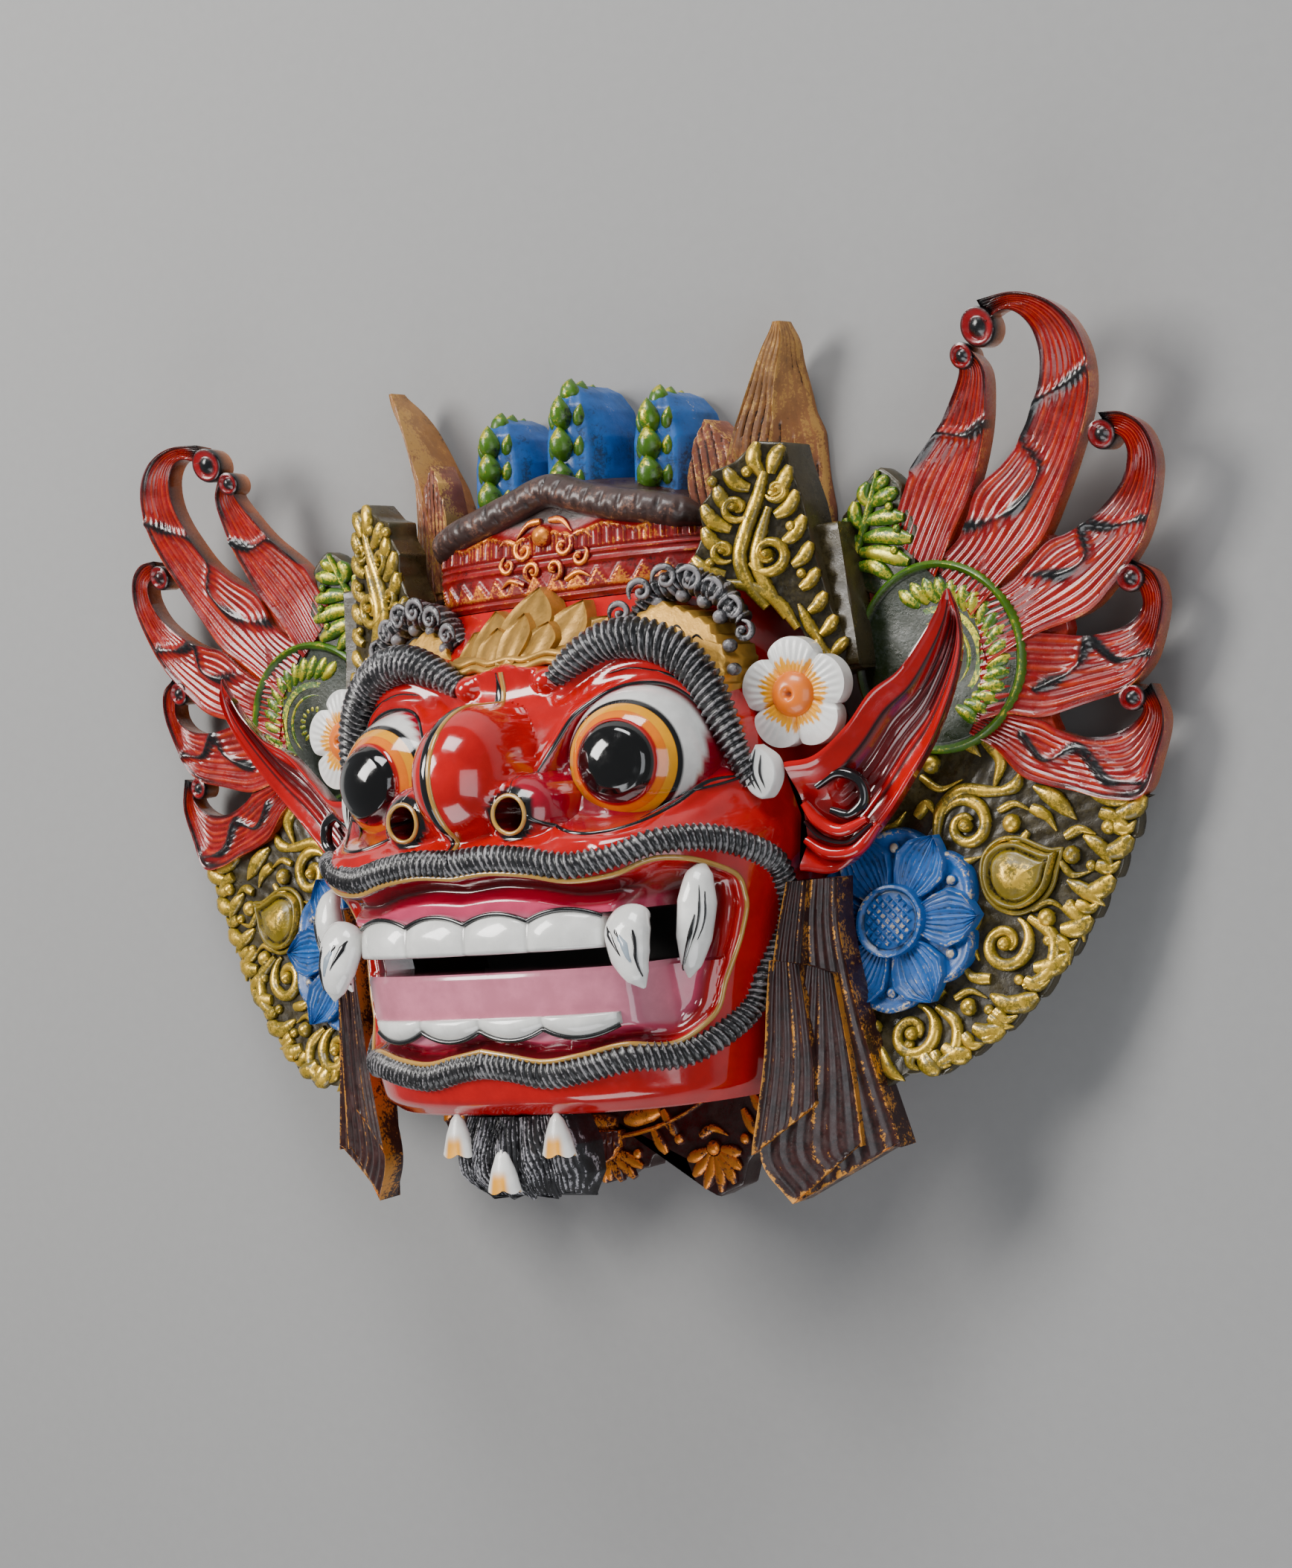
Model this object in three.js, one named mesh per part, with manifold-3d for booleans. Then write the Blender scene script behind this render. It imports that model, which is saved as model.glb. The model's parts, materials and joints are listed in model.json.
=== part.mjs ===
// Carved and painted wooden barong mask, lying on its back.
// Millimetres. The modelling frame has x across the face, y up the face with 0 at the level
// of the ear flowers, and z out of the face with 0 on the flat back of the head block.
// The exported group moves that frame so that the origin is under the middle of the mask.
import * as THREE from 'three';
import { mergeVertices } from 'three/addons/utils/BufferGeometryUtils.js';
import Module from 'manifold-3d';

const wasm = await Module();
wasm.setup();

// ---- driving dimensions -------------------------------------------------------------
const MASK_TOP = 127;
const MASK_BOTTOM = -167.2;
const WELD = 2e-3;                  // corners closer than this become one
const GAP = 0.4;                    // clearance between neighbouring pieces
const TOOTH = { width: 25.5, count: 4 };
const RIBBON_THICK = 9;
const COLLAR_TOP = -131 - GAP;      // underside of the jaw
const BOARD_THICK = 7;              // carved wing boards
const WING_LIFT = 21;               // height of the wing surface where x = 150, y = 0
const HEAD_SIDES = 12;
const HEAD_EXPONENT = 3;            // squareness of the head's cross section
const SIDE_WALL = 9;                // head block, at the cheeks
const FRONT_WALL = 27;              // head block, behind the lips
const MOUTH = { top: -76, bottom: -91, half: 56 };
const LIPS = { top: -51, bottom: -110, half: 80, depth: 13 };
const EYE = { x: 48.6, y: -17, z: 72, rx: 23, ry: 21, rz: 24 };
const PUPIL = { radius: 13.5, rise: 3.5 };
const NOSE = { y: -18, z: 94, rx: 20, ry: 24, rz: 30 };
const NOSTRIL = { x: 22.5, y: -31, z: 101, radius: 12.5, hole: 6 };
const DISC = { x: 136, y: 8, radius: 32 };
const LOTUS = { x: 118, y: -77, disc: 12, petal: 31 };
const FLOWER = { x: 97, y: 0, z: 48, petal: 19, heart: 8 };

// Head block stations: height y, half width at the back, depth at the middle.
const HEAD = [
  [-131, 76, 98], [-127, 80, 106], [-112, 82, 109], [-98, 83.5, 110], [-76, 87, 112],
  [-52, 93, 117], [-42, 93, 116], [-36, 92, 104], [-20, 89, 95], [0, 85, 86],
  [8, 82, 78], [18, 78, 69], [30, 71, 57], [40, 64, 49],
];
// Crown band stations, the same way.
const CROWN = [
  [40 + GAP, 64, 49], [52, 66, 50], [64, 65, 48], [70, 58, 46], [78, 42, 42], [82, 22, 38],
];

// ---- small maths ----------------------------------------------------------------------
const wave = (t) => Math.sin(t);
const mix = (a, b, t) => a + (b - a) * t;

function station(table, y) {
  const clamped = Math.min(Math.max(y, table[0][0]), table[table.length - 1][0]);
  let i = 1;
  while (table[i][0] < clamped) i += 1;
  const t = (clamped - table[i - 1][0]) / (table[i][0] - table[i - 1][0]);
  return [mix(table[i - 1][1], table[i][1], t), mix(table[i - 1][2], table[i][2], t)];
}

// Front of a block with a superelliptic section: (|x| / half)^n + (z / depth)^n = 1.
function blockFront(table, x, y) {
  const [half, depth] = station(table, y);
  const side = Math.min(Math.abs(x) / half, 0.995) ** HEAD_EXPONENT;
  return depth * (1 - side) ** (1 / HEAD_EXPONENT);
}

const headFront = (x, y) => blockFront(HEAD, x, y);
const crownFront = (x, y) => blockFront(CROWN, x, y);

// The wing boards are carved to a warped surface: the low outer corner sweeps back to the
// wall, and the tall feathers lean forward.
function wingRise(x, y) {
  const a = (Math.abs(x) - 150) / 100;
  const b = y / 100;
  const bow = -0.032 * a - 0.02 * b - 0.073 * a * a + 0.133 * a * b + 0.101 * b * b;
  return WING_LIFT + 100 * bow;
}

// ---- solids -------------------------------------------------------------------------
function toSolid(geometry, tolerance = 1e-4) {
  const bare = geometry.clone();
  bare.deleteAttribute('normal');
  bare.deleteAttribute('uv');
  const merged = mergeVertices(bare, tolerance);
  const mesh = new wasm.Mesh({
    numProp: 3,
    vertProperties: new Float32Array(merged.attributes.position.array),
    triVerts: new Uint32Array(merged.index.array),
  });
  return new wasm.Manifold(mesh);
}

function toGeometry(solid) {
  const mesh = solid.getMesh();
  const geometry = new THREE.BufferGeometry();
  geometry.setAttribute('position', new THREE.BufferAttribute(mesh.vertProperties, 3));
  geometry.setIndex(new THREE.BufferAttribute(mesh.triVerts, 1));
  return geometry;
}

const join = (solids) => solids.reduce((whole, solid) => whole.add(solid));

function signedVolume(points, faces) {
  const a = new THREE.Vector3();
  const b = new THREE.Vector3();
  const c = new THREE.Vector3();
  let sum = 0;
  for (const [i, j, k] of faces) {
    a.fromArray(points[i]);
    b.fromArray(points[j]);
    c.fromArray(points[k]);
    sum += a.dot(b.cross(c));
  }
  return sum;
}

// A closed skin over a row of closed rings with the same number of points.
function skin(rings) {
  const count = rings[0].length;
  const points = rings.flat();
  const faces = [];
  for (let i = 0; i + 1 < rings.length; i += 1) {
    for (let j = 0; j < count; j += 1) {
      const a = i * count + j;
      const b = i * count + ((j + 1) % count);
      faces.push([a, b, b + count], [a, b + count, a + count]);
    }
  }
  const last = (rings.length - 1) * count;
  for (let j = 1; j + 1 < count; j += 1) {
    faces.push([0, j + 1, j], [last, last + j, last + j + 1]);
  }
  const flip = signedVolume(points, faces) < 0;
  const index = faces.flatMap(([a, b, c]) => (flip ? [a, c, b] : [a, b, c]));
  const geometry = new THREE.BufferGeometry();
  geometry.setAttribute('position', new THREE.Float32BufferAttribute(points.flat(), 3));
  geometry.setIndex(index);
  return toSolid(geometry);
}

// A flat plate with the given outline between two heights.
function plate(outline, low, high) {
  const shape = new THREE.Shape(outline.map(([x, y]) => new THREE.Vector2(x, y)));
  const options = { depth: high - low, bevelEnabled: false, curveSegments: 4 };
  return toSolid(new THREE.ExtrudeGeometry(shape, options).translate(0, 0, low));
}

// A strip between two edge lines, crowned along its middle.
function strip(left, right, low, high, crown) {
  const rings = left.map((l, i) => {
    const r = right[i];
    const mid = [mix(l[0], r[0], 0.5), mix(l[1], r[1], 0.5)];
    return [[...l, low], [...l, high], [...mid, high + crown], [...r, high], [...r, low]];
  });
  return skin(rings);
}

// A bar of elliptical section along a path of [x, y, z, half width, half height].
function bar(path, sides = 6) {
  const tangent = new THREE.Vector3();
  const across = new THREE.Vector3();
  const up = new THREE.Vector3(0, 0, 1);
  const rings = path.map((p, i) => {
    const before = path[Math.max(i - 1, 0)];
    const after = path[Math.min(i + 1, path.length - 1)];
    tangent.set(after[0] - before[0], after[1] - before[1], after[2] - before[2]).normalize();
    across.crossVectors(up, tangent).normalize();
    const out = new THREE.Vector3().crossVectors(tangent, across);
    return Array.from({ length: sides }, (_, k) => {
      const angle = (2 * Math.PI * (k + 0.5)) / sides;
      const w = p[3] * Math.cos(angle);
      const h = p[4] * Math.sin(angle);
      return [0, 1, 2].map((n) => p[n] + across.getComponent(n) * w + out.getComponent(n) * h);
    });
  });
  return skin(rings);
}

function ellipsoid([x, y, z], [rx, ry, rz], around = 12, down = 8) {
  const ball = new THREE.SphereGeometry(1, around, down).rotateX(Math.PI / 2);
  return toSolid(ball.scale(rx, ry, rz).translate(x, y, z));
}

function drum([x, y], radius, low, high, sides = 12) {
  const body = new THREE.CylinderGeometry(radius, radius, high - low, sides);
  return toSolid(body.rotateX(Math.PI / 2).translate(x, y, (low + high) / 2));
}

// Moves every corner of a geometry by a function of its place.
function bend(geometry, rule) {
  const place = geometry.attributes.position;
  for (let i = 0; i < place.count; i += 1) {
    place.setXYZ(i, ...rule(place.getX(i), place.getY(i), place.getZ(i)));
  }
  return geometry;
}

function mirrored(geometry) {
  const copy = bend(geometry.clone(), (x, y, z) => [-x, y, z]);
  const index = copy.index.array;
  for (let i = 0; i < index.length; i += 3) {
    [index[i + 1], index[i + 2]] = [index[i + 2], index[i + 1]];
  }
  return copy;
}

const mirrorSolid = (solid) => toSolid(mirrored(toGeometry(solid)));
const bothSides = (solids) => solids.concat(solids.map(mirrorSolid));

// Points of an arc in the plane, from one angle in degrees to another.
function arc([x, y], radius, from, to, steps) {
  return Array.from({ length: steps + 1 }, (_, i) => {
    const angle = THREE.MathUtils.degToRad(mix(from, to, i / steps));
    const r = typeof radius === 'function' ? radius(i / steps) : radius;
    return [x + r * Math.cos(angle), y + r * Math.sin(angle)];
  });
}

// The same outline moved outward by a small distance.
function outset(outline, by) {
  const sum = outline.reduce((area, [x, y], i) => {
    const [u, v] = outline[(i + 1) % outline.length];
    return area + x * v - u * y;
  }, 0);
  return outline.map(([x, y], i) => {
    const a = new THREE.Vector2(...outline[(i + outline.length - 1) % outline.length]);
    const b = new THREE.Vector2(...outline[(i + 1) % outline.length]);
    const here = new THREE.Vector2(x, y);
    const inward = here.clone().sub(a).normalize();
    const onward = b.sub(here).normalize();
    const normal = inward.add(onward).normalize();
    return [x + normal.y * by * Math.sign(sum), y - normal.x * by * Math.sign(sum)];
  });
}

// A curl: a bar that winds in to its centre, ending in a round bead.
function curl(centre, outer, inner, from, to, low, width, steps = 12) {
  const line = arc(centre, (t) => mix(outer, inner, t), from, to, steps);
  const path = line.map(([x, y], i) => {
    const w = mix(width, width * 0.6, i / steps);
    return [x, y, low + w * 0.4, w, w * 0.9];
  });
  const bead = ellipsoid([...centre, low], [inner * 0.9, inner * 0.9, width * 1.5], 6, 4);
  return join([bar(path, 4), bead]);
}

// ---- head block ------------------------------------------------------------------------
function blockRing(table, y, sides, inset = 0, back = 0, front = 0) {
  const [half, depth] = station(table, y);
  const w = half - inset;
  const d = depth - front;
  const power = 2 / HEAD_EXPONENT;
  return Array.from({ length: sides + 1 }, (_, i) => {
    const angle = (Math.PI * i) / sides;
    const c = Math.cos(angle);
    const z = i === 0 || i === sides ? back : d * Math.sin(angle) ** power;
    return [w * Math.sign(c) * Math.abs(c) ** power, y, Math.max(z, back)];
  });
}

function headBlock() {
  return skin(HEAD.map(([y]) => blockRing(HEAD, y, HEAD_SIDES)));
}

// The hollow behind the face, open to the back.
function headHollow() {
  const levels = [-117, -112, -98, -76, -52, -36, -20, 0, 18, 28];
  return skin(levels.map((y) => blockRing(HEAD, y, 10, SIDE_WALL, -2, FRONT_WALL)));
}

// Outline of the open mouth between the lips, with waved edges.
function lipOutline(grow = 0) {
  const outline = [];
  const steps = 8;
  for (let i = 0; i <= steps; i += 1) {
    const x = mix(LIPS.half + grow, -LIPS.half - grow, i / steps);
    const corner = Math.max(Math.abs(x) / LIPS.half - 0.86, 0) * 30;
    outline.push([x, LIPS.top + grow + 1.5 * wave(x / 12) * wave(x / 12) - corner]);
  }
  for (let i = 0; i <= steps; i += 1) {
    const x = mix(-LIPS.half + 6 - grow, LIPS.half - 6 + grow, i / steps);
    const corner = Math.max(Math.abs(x) / LIPS.half - 0.7, 0) * 60;
    outline.push([x, LIPS.bottom - grow - 1.5 * wave(x / 12) * wave(x / 12) + corner]);
  }
  return outline;
}

// The recess between the lips: everything in front of the head block set back by its depth.
function lipRecess() {
  const levels = [-127, -112, -98, -76, -52, -44];
  const floor = skin(levels.map((y) => blockRing(HEAD, y, HEAD_SIDES, LIPS.depth, 0, LIPS.depth)));
  return plate(lipOutline(), 30, 140).subtract(floor);
}

// A shelf that follows the lips round the mouth, for a gum or a row of teeth.
function shelf(low, high, half, set, thick) {
  const steps = 10;
  const rings = Array.from({ length: steps + 1 }, (_, i) => {
    const x = mix(-half, half, i / steps);
    const z = headFront(x, (low + high) / 2) - set;
    return [[x, low, z - thick], [x, low, z], [x, high, z], [x, high, z - thick]];
  });
  return skin(rings);
}

// A row of teeth round the jaw: each tooth swells forward, and its gum edge is scalloped.
function toothRow(edge, root, reach, thick) {
  const perTooth = 3;
  const steps = perTooth * TOOTH.count;
  const half = (TOOTH.width * TOOTH.count) / 2;
  const rings = Array.from({ length: steps + 1 }, (_, i) => {
    const x = mix(-half, half, i / steps);
    const swell = Math.abs(wave((Math.PI * i) / perTooth)) * 1.15;
    const y = root + Math.sign(root - edge) * 3 * swell;
    const z = headFront(x, edge) + reach + 1.8 * swell;
    return [[x, edge, z - thick], [x, edge, z], [x, y, z - 1.5], [x, y, z - thick]];
  });
  return skin(rings);
}

// Fangs point down at the ends of the upper row, and tusks stand in the mouth's corners.
function fangsAndTusks() {
  const fang = bar([
    [59, -64, 96, 3, 3], [59, -68, 99, 8, 6], [61, -75, 101, 8, 6],
    [63, -83, 103, 5, 4.5], [65, -89.5, 104, 1, 1],
  ], 6);
  const tusk = bar([
    [78, -51, 86, 1.5, 1.5], [78, -57, 86, 4.5, 4.5], [77, -67, 86, 6, 6],
    [74, -78, 87, 5, 5], [71, -87, 86, 2, 2],
  ], 6);
  return bothSides([fang, tusk]);
}

// The hatched moustache band that runs round the mouth.
function mouthBand() {
  const line = [
    [0, -46], [15, -45], [30, -46.5], [45, -49], [58, -47], [71, -43.5], [82, -45], [88, -52],
    [87.5, -62], [84.5, -76], [80, -92], [76, -104], [66, -113], [52, -113], [38, -115.5],
    [24, -117], [12, -114.5], [0, -113],
  ];
  const path = line.map(([x, y]) => [x, y, headFront(x, y) - 1, 4.5, 4]);
  const lead = [...path[0]];
  lead[0] = -1;
  const tail = [...path[path.length - 1]];
  tail[0] = -1;
  return bothSides([bar([lead, ...path, tail], 4)]);
}

function browRidge() {
  const line = [
    [20, 13, 77], [30, 19, 77], [42, 23.5, 76], [55, 23, 74], [66, 17.5, 71],
    [74, 8, 69], [79, -5, 67], [82, -18, 64], [84, -28, 61],
  ];
  return bothSides([bar(line.map((p) => [...p, 6, 6]), 4)]);
}

function eyes() {
  const ball = ellipsoid([EYE.x, EYE.y, EYE.z], [EYE.rx, EYE.ry, EYE.rz], 10, 7);
  const pupilZ = EYE.z + EYE.rz - 5;
  const size = [PUPIL.radius, PUPIL.radius, 5 + PUPIL.rise];
  return bothSides([ball, ellipsoid([EYE.x, EYE.y, pupilZ], size, 8, 5)]);
}

function nose() {
  const ball = ellipsoid([0, NOSE.y, NOSE.z], [NOSE.rx, NOSE.ry, NOSE.rz], 10, 8);
  const flare = ellipsoid([NOSTRIL.x, NOSTRIL.y, NOSTRIL.z], Array(3).fill(NOSTRIL.radius), 8, 6);
  return join([ball, ...bothSides([flare])]);
}

const nostrilHoles = () => bothSides([
  drum([NOSTRIL.x, NOSTRIL.y], NOSTRIL.hole, NOSTRIL.z + 2, NOSTRIL.z + 30, 8),
]);

// The gilded lotus badge over the brow, leaning back with the forehead.
function diadem(grow = 0) {
  const lean = (x, y) => 75 - 0.8 * (y - 17) - x * x / 160;
  const petals = [[0, 12, 46], [-13, 10, 39], [13, 10, 39], [-24, 10, 34], [24, 10, 34]];
  const flat = petals.map(([x, half, tip]) => {
    const w = half + grow;
    const top = tip + grow;
    return plate([[x - w, 18], [x - w * 0.8, mix(18, top, 0.6)], [x, top],
      [x + w * 0.8, mix(18, top, 0.6)], [x + w, 18]], -12 - grow, grow);
  });
  const leaned = bend(toGeometry(join(flat)), (x, y, z) => [x, y, z + lean(x, y)]);
  return toSolid(leaned);
}

// Flat pointed plates over the brows.
function templePlates() {
  const outline = [[36, 22], [42, 31], [50, 35], [60, 31], [69, 26], [77, 15], [76, 2], [66, 16]];
  const flat = toGeometry(plate(outline, -26, 0));
  const lean = (x, y) => 61 - 0.35 * (y - 20) - 0.12 * (x - 50);
  return bothSides([toSolid(bend(flat, (x, y, z) => [x, y, z + lean(x, y)]))]);
}

// The arch of black curls that frames each temple plate.
function templeCurls(grow = 0) {
  const line = [[37, 29], [43, 35], [48, 39.5], [55, 41], [60, 42.5], [66, 39], [71, 36.5],
    [75, 31], [79, 26]];
  const path = line.map(([x, y], i) => {
    const r = (i % 2 ? 6.5 : 4.5) + grow;
    return [x, y, 51 - 0.4 * i, r, r + 1];
  });
  return bothSides([bar(path, 4)]);
}

function face() {
  const gums = [shelf(-74, -52, 53, 3, 16), shelf(-104, MOUTH.bottom, 51, 3, 14)];
  const rows = [toothRow(-76, -67, 0.5, 12), toothRow(-98, -102, -0.5, 10)];
  const carved = join([headBlock(), nose(), ...eyes(), ...browRidge(), ...mouthBand()]);
  const open = plate([[-MOUTH.half, MOUTH.bottom], [MOUTH.half, MOUTH.bottom],
    [MOUTH.half, MOUTH.top], [-MOUTH.half, MOUTH.top]], 20, 140);
  const hollowed = carved.subtract(lipRecess()).subtract(open).subtract(headHollow());
  const dressed = join([hollowed, ...gums, ...rows, ...fangsAndTusks(), diadem(),
    ...templePlates(), ...templeCurls()]);
  return nostrilHoles().reduce((solid, hole) => solid.subtract(hole), dressed);
}

// ---- crown --------------------------------------------------------------------------------
function crownBand() {
  return skin(CROWN.map(([y]) => blockRing(CROWN, y, 12)));
}

function crownRim() {
  const line = [[-58, 63], [-44, 68], [-30, 71], [-14, 76], [0, 80], [14, 76], [30, 71], [44, 68],
    [58, 63]];
  return bar(line.map(([x, y]) => [x, y, crownFront(x, y - 8) - 3, 6, 8]), 6);
}

// A rounded crest lobe with a column of spikes down its front.
function crestLobe(x, top, front) {
  const base = 70;
  const lean = (y) => front - (y - base) * 0.12;
  const profile = [[0, 13], [0.3, 14.5], [0.6, 14.5], [0.8, 12], [0.94, 7], [1, 2]];
  const rings = profile.map(([t, w]) => {
    const y = mix(base, top, t);
    const z = lean(y);
    return [[x - w, y, 4], [x - w, y, z - 10], [x - w * 0.35, y, z - 2],
      [x + w * 0.35, y, z - 2], [x + w, y, z - 10], [x + w, y, 4]];
  });
  const spikes = [0.42, 0.67, 0.91].map((t) => {
    const y = mix(base, top, t);
    return bar([[x, y - 7, lean(y) - 2, 5, 4], [x, y + 4.5, lean(y) + 1, 1, 1]], 4);
  });
  return join([skin(rings), ...spikes]);
}

// A tall leaf beside the crest: a sharp ridge with its outer half swept back to the wall.
function hornLeaf() {
  const stations = [
    // height, inner edge x and z, ridge x and z, outer edge x and z, back z
    [48, 60, 32, 78, 24, 88, 5, 0], [62, 62, 32, 80, 22, 90, 4, 0],
    [75, 64, 31, 77, 22, 88.5, 3, 0], [92, 69, 29, 78, 20, 88.5, 3, 0],
    [94, 70, 28.5, 78.5, 20, 86.5, 4, 1], [104, 74, 27, 80.5, 19.5, 85.5, 4.5, 2],
    [114, 78, 25, 83, 19.5, 84.5, 7, 4], [122, 81.5, 23, 86, 20, 87, 12, 9],
    [127, 84.5, 21.5, 86, 21, 86.5, 17, 15],
  ];
  const main = skin(stations.map(([y, xi, zi, xr, zr, xo, zo, zb]) => [
    [xi, y, zb], [xi, y, zi], [xr, y, zr], [xo, y, zo], [xo, y, zb],
  ]));
  const small = plate([[52, 50], [66, 50], [70, 76], [68, 88], [64, 92], [60, 97], [56, 90],
    [53, 78]], -14, 0);
  return [main, toSolid(bend(toGeometry(small), (x, y, z) => [x, y, z + 34 - 0.45 * (x - 57)]))];
}

function crown() {
  const lobes = [crestLobe(0, 119, 37), crestLobe(35, 112, 33), crestLobe(-35, 112, 33)];
  const whole = join([crownBand(), crownRim(), ...lobes, ...bothSides(hornLeaf())]);
  return whole.subtract(diadem(GAP)).subtract(join(templeCurls(GAP)));
}

// ---- wing boards ----------------------------------------------------------------------------
const LOW = -BOARD_THICK;

function feathers() {
  const blades = [
    { left: [[129, 55], [129, 67], [146, 81], [153, 90], [158, 98], [157.5, 102]],
      right: [[140, 42], [156, 61], [163, 76], [166.5, 88], [167.5, 98], [163, 106]],
      curl: [160, 103, 4] },
    { left: [[150, 45], [157, 61], [168, 67], [177, 75], [184, 86], [187.5, 94], [188.5, 101],
      [187, 108], [183, 113], [178, 114.5], [171, 112]],
    right: [[165, 33], [178, 41], [187, 54], [193, 64], [200, 77], [204, 88], [204.5, 99],
      [201, 109], [193.5, 116], [183, 119.5], [170, 119]],
    curl: [168, 111, 6] },
    { left: [[165, 28], [178.5, 40.2], [187, 42.5], [195, 45.5], [203, 51], [209, 57], [212, 64],
      [211.5, 69], [209, 71.5], [206, 73]],
    right: [[170, 12], [190, 16.5], [200, 24], [210, 34], [215.5, 43], [220, 55], [221.5, 64],
      [219, 72.5], [213, 77.5], [205, 78.5]],
    curl: [204.5, 71.5, 4.5] },
    { left: [[165, 14], [180, 11], [190, 9.5], [200, 10.5], [206, 13], [209.5, 17], [209.5, 21],
      [208, 24.5], [206, 26.5]],
    right: [[160, -12], [172, -15], [187, -12], [200, -9], [207, -4], [211.5, 3], [216.5, 17],
      [215, 27], [208, 32]],
    curl: [206.5, 25.5, 4.3] },
    { left: [[160, -12], [171, -16], [176, -19], [183, -22], [190, -23], [197, -22], [203, -19],
      [206, -15], [204, -11]],
    right: [[155, -24], [163, -33], [172, -37], [181, -39.5], [192, -43], [203, -43], [208.5, -32],
      [212.5, -19], [209.5, -7.5]],
    curl: [202.5, -11.5, 4] },
  ];
  return blades.flatMap(({ left, right, curl: [x, y, r] }) => [
    strip(left, right, LOW, -1, 1.2), drum([x, y], r, LOW, 1, 6),
  ]);
}

// Raised waves that cross the feathers.
function featherWaves() {
  const waves = [
    [[150, 49], [166, 51], [177, 58], [181, 65], [177, 73], [183, 84], [193, 88], [204, 93]],
    [[134, 70], [147, 80], [156, 78], [164, 81]],
    [[172, 31], [184, 30], [192, 34], [193, 44], [203, 43], [213, 44]],
  ];
  return waves.map((line) => bar(line.map(([x, y]) => [x, y, -0.6, 1.8, 1.8]), 4));
}

function redField() {
  const outline = [[110, 40], [131, 64.5], [157.5, 58], [181, 42.5], [183, 12.5], [174, -15], [183, -38],
    [150, -21], [110, -20.5]];
  return plate(outline, LOW, -1.5);
}

// Lower edge of the gilded panel: pointed leaves side by side, tip to tip.
function scallopedEdge() {
  const tips = [[204, -43], [199, -56], [192.5, -68.5], [185, -81], [177, -92.5], [167, -105],
    [156, -115], [145, -122.5], [134, -128], [122, -127]];
  const dip = 3.5;
  return tips.slice(0, -1).flatMap(([x, y], i) => {
    const [u, v] = tips[i + 1];
    const length = Math.hypot(u - x, v - y);
    const inward = [(v - y) / length * dip, (x - u) / length * dip];
    const valley = [mix(x, u, 0.22) + inward[0], mix(y, v, 0.22) + inward[1]];
    const belly = [mix(x, u, 0.62) + inward[0] * 0.2, mix(y, v, 0.62) + inward[1] * 0.2];
    return [[x, y], valley, belly];
  });
}

function gildedPanel() {
  const inner = [[112, -133], [104, -128], [84.5, -124], [85.5, -100], [89.5, -76], [95.5, -52],
    [95.5, -20], [150, -18], [163, -33], [181, -39]];
  return plate([...scallopedEdge(), [122, -127], ...inner], LOW, -2);
}

function scrollWork() {
  const scrolls = [
    [[143, -48], 215, -170], [[155, -88], 100, -190], [[124, -113], 60, -200],
  ];
  const beads = [[160, -48], [179, -60], [170, -80], [143, -107]];
  const leaves = [
    [[136, -20], [150, -16], [146, -27]], [[182, -66], [190, -63], [188, -50], [176, -52]],
    [[146, -112], [162, -110], [156, -101], [147, -103]],
  ];
  return [
    ...scrolls.map(([centre, from, to]) => curl(centre, 10, 3.4, from, to, -1.5, 2.6, 6)),
    ...beads.map(([x, y]) => drum([x, y], 4, LOW, 2, 5)),
    ...leaves.map((line) => plate(line, -4, 1)),
  ];
}

function mangoBoss() {
  const outline = [[173, -59], [167, -58], [158, -54.5], [151, -57], [149, -65], [153, -73],
    [161, -76], [168, -72], [171.5, -65]];
  return plate(outline, -4, 3);
}

function lotusFlower() {
  const leaf = (half, reach, high, turn) => {
    const body = plate([[8, -half * 0.6], [reach * 0.6, -half], [reach, 0], [reach * 0.6, half],
      [8, half * 0.6]], -3, high);
    const angle = THREE.MathUtils.degToRad(turn);
    return toSolid(toGeometry(body).rotateZ(angle).translate(LOTUS.x, LOTUS.y, 0));
  };
  const petals = [0, 60, 120, 180, 240, 300].map((turn) => leaf(9, LOTUS.petal, 4, turn));
  const behind = arc([LOTUS.x, LOTUS.y], (t) => (
    LOTUS.petal - 10 + 9 * Math.abs(wave(6 * Math.PI * t))
  ), 0, 360, 24);
  return [plate(behind.slice(0, -1), -3, 2), ...petals, drum([LOTUS.x, LOTUS.y], LOTUS.disc, -3, 6.5, 10)];
}

function greenLeaf() {
  const outline = [[104, 40], [103, 58], [112, 66], [118, 71], [121, 72], [125, 70],
    [129, 66], [128, 60], [133, 50], [130, 40]];
  return [plate(outline, LOW, 0.5), plate([[106, 44], [112, 44], [122, 68], [118, 69]], -2, 2.5)];
}

function fernDisc() {
  const lobes = 8;
  const outer = arc([DISC.x, DISC.y], (t) => 26 + 2 * wave(lobes * Math.PI * t) ** 2,
    -50, 80, 2 * lobes);
  const inner = arc([DISC.x, DISC.y], 18, 80, -50, 7);
  return [drum([DISC.x, DISC.y], DISC.radius, LOW, -0.5, 16), plate([...outer, ...inner], -2, 2.5)];
}

// The tall gilt leaf beside the crown stands well proud of the board and wraps the head.
function giltLeaf() {
  const outline = [[63, 41], [61, 47], [66, 57], [65, 65], [70, 71], [70, 77], [77, 79],
    [85, 85.5], [94, 84], [95, 77], [98, 64], [100, 48], [102, 37], [104, 26], [108, 16], [112, 7],
    [100, 5], [97, 14], [92, 26], [84, 36], [72, 38]];
  const turned = (solid) => toSolid(bend(toGeometry(solid), (x, y, z) => {
    const front = 38 - 0.42 * (x - 94.8);
    return [x, y, z + front - wingRise(x, y)];
  }));
  const stem = plate([[80, 40], [86, 40], [90, 70], [92, 82], [86, 82], [80, 60]], -2, 3);
  const foot = plate([[96, 8], [112, 8], [108, 56], [98, 56]], LOW, 12);
  return [turned(plate(outline, -17, 0)), turned(stem), foot];
}

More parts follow.
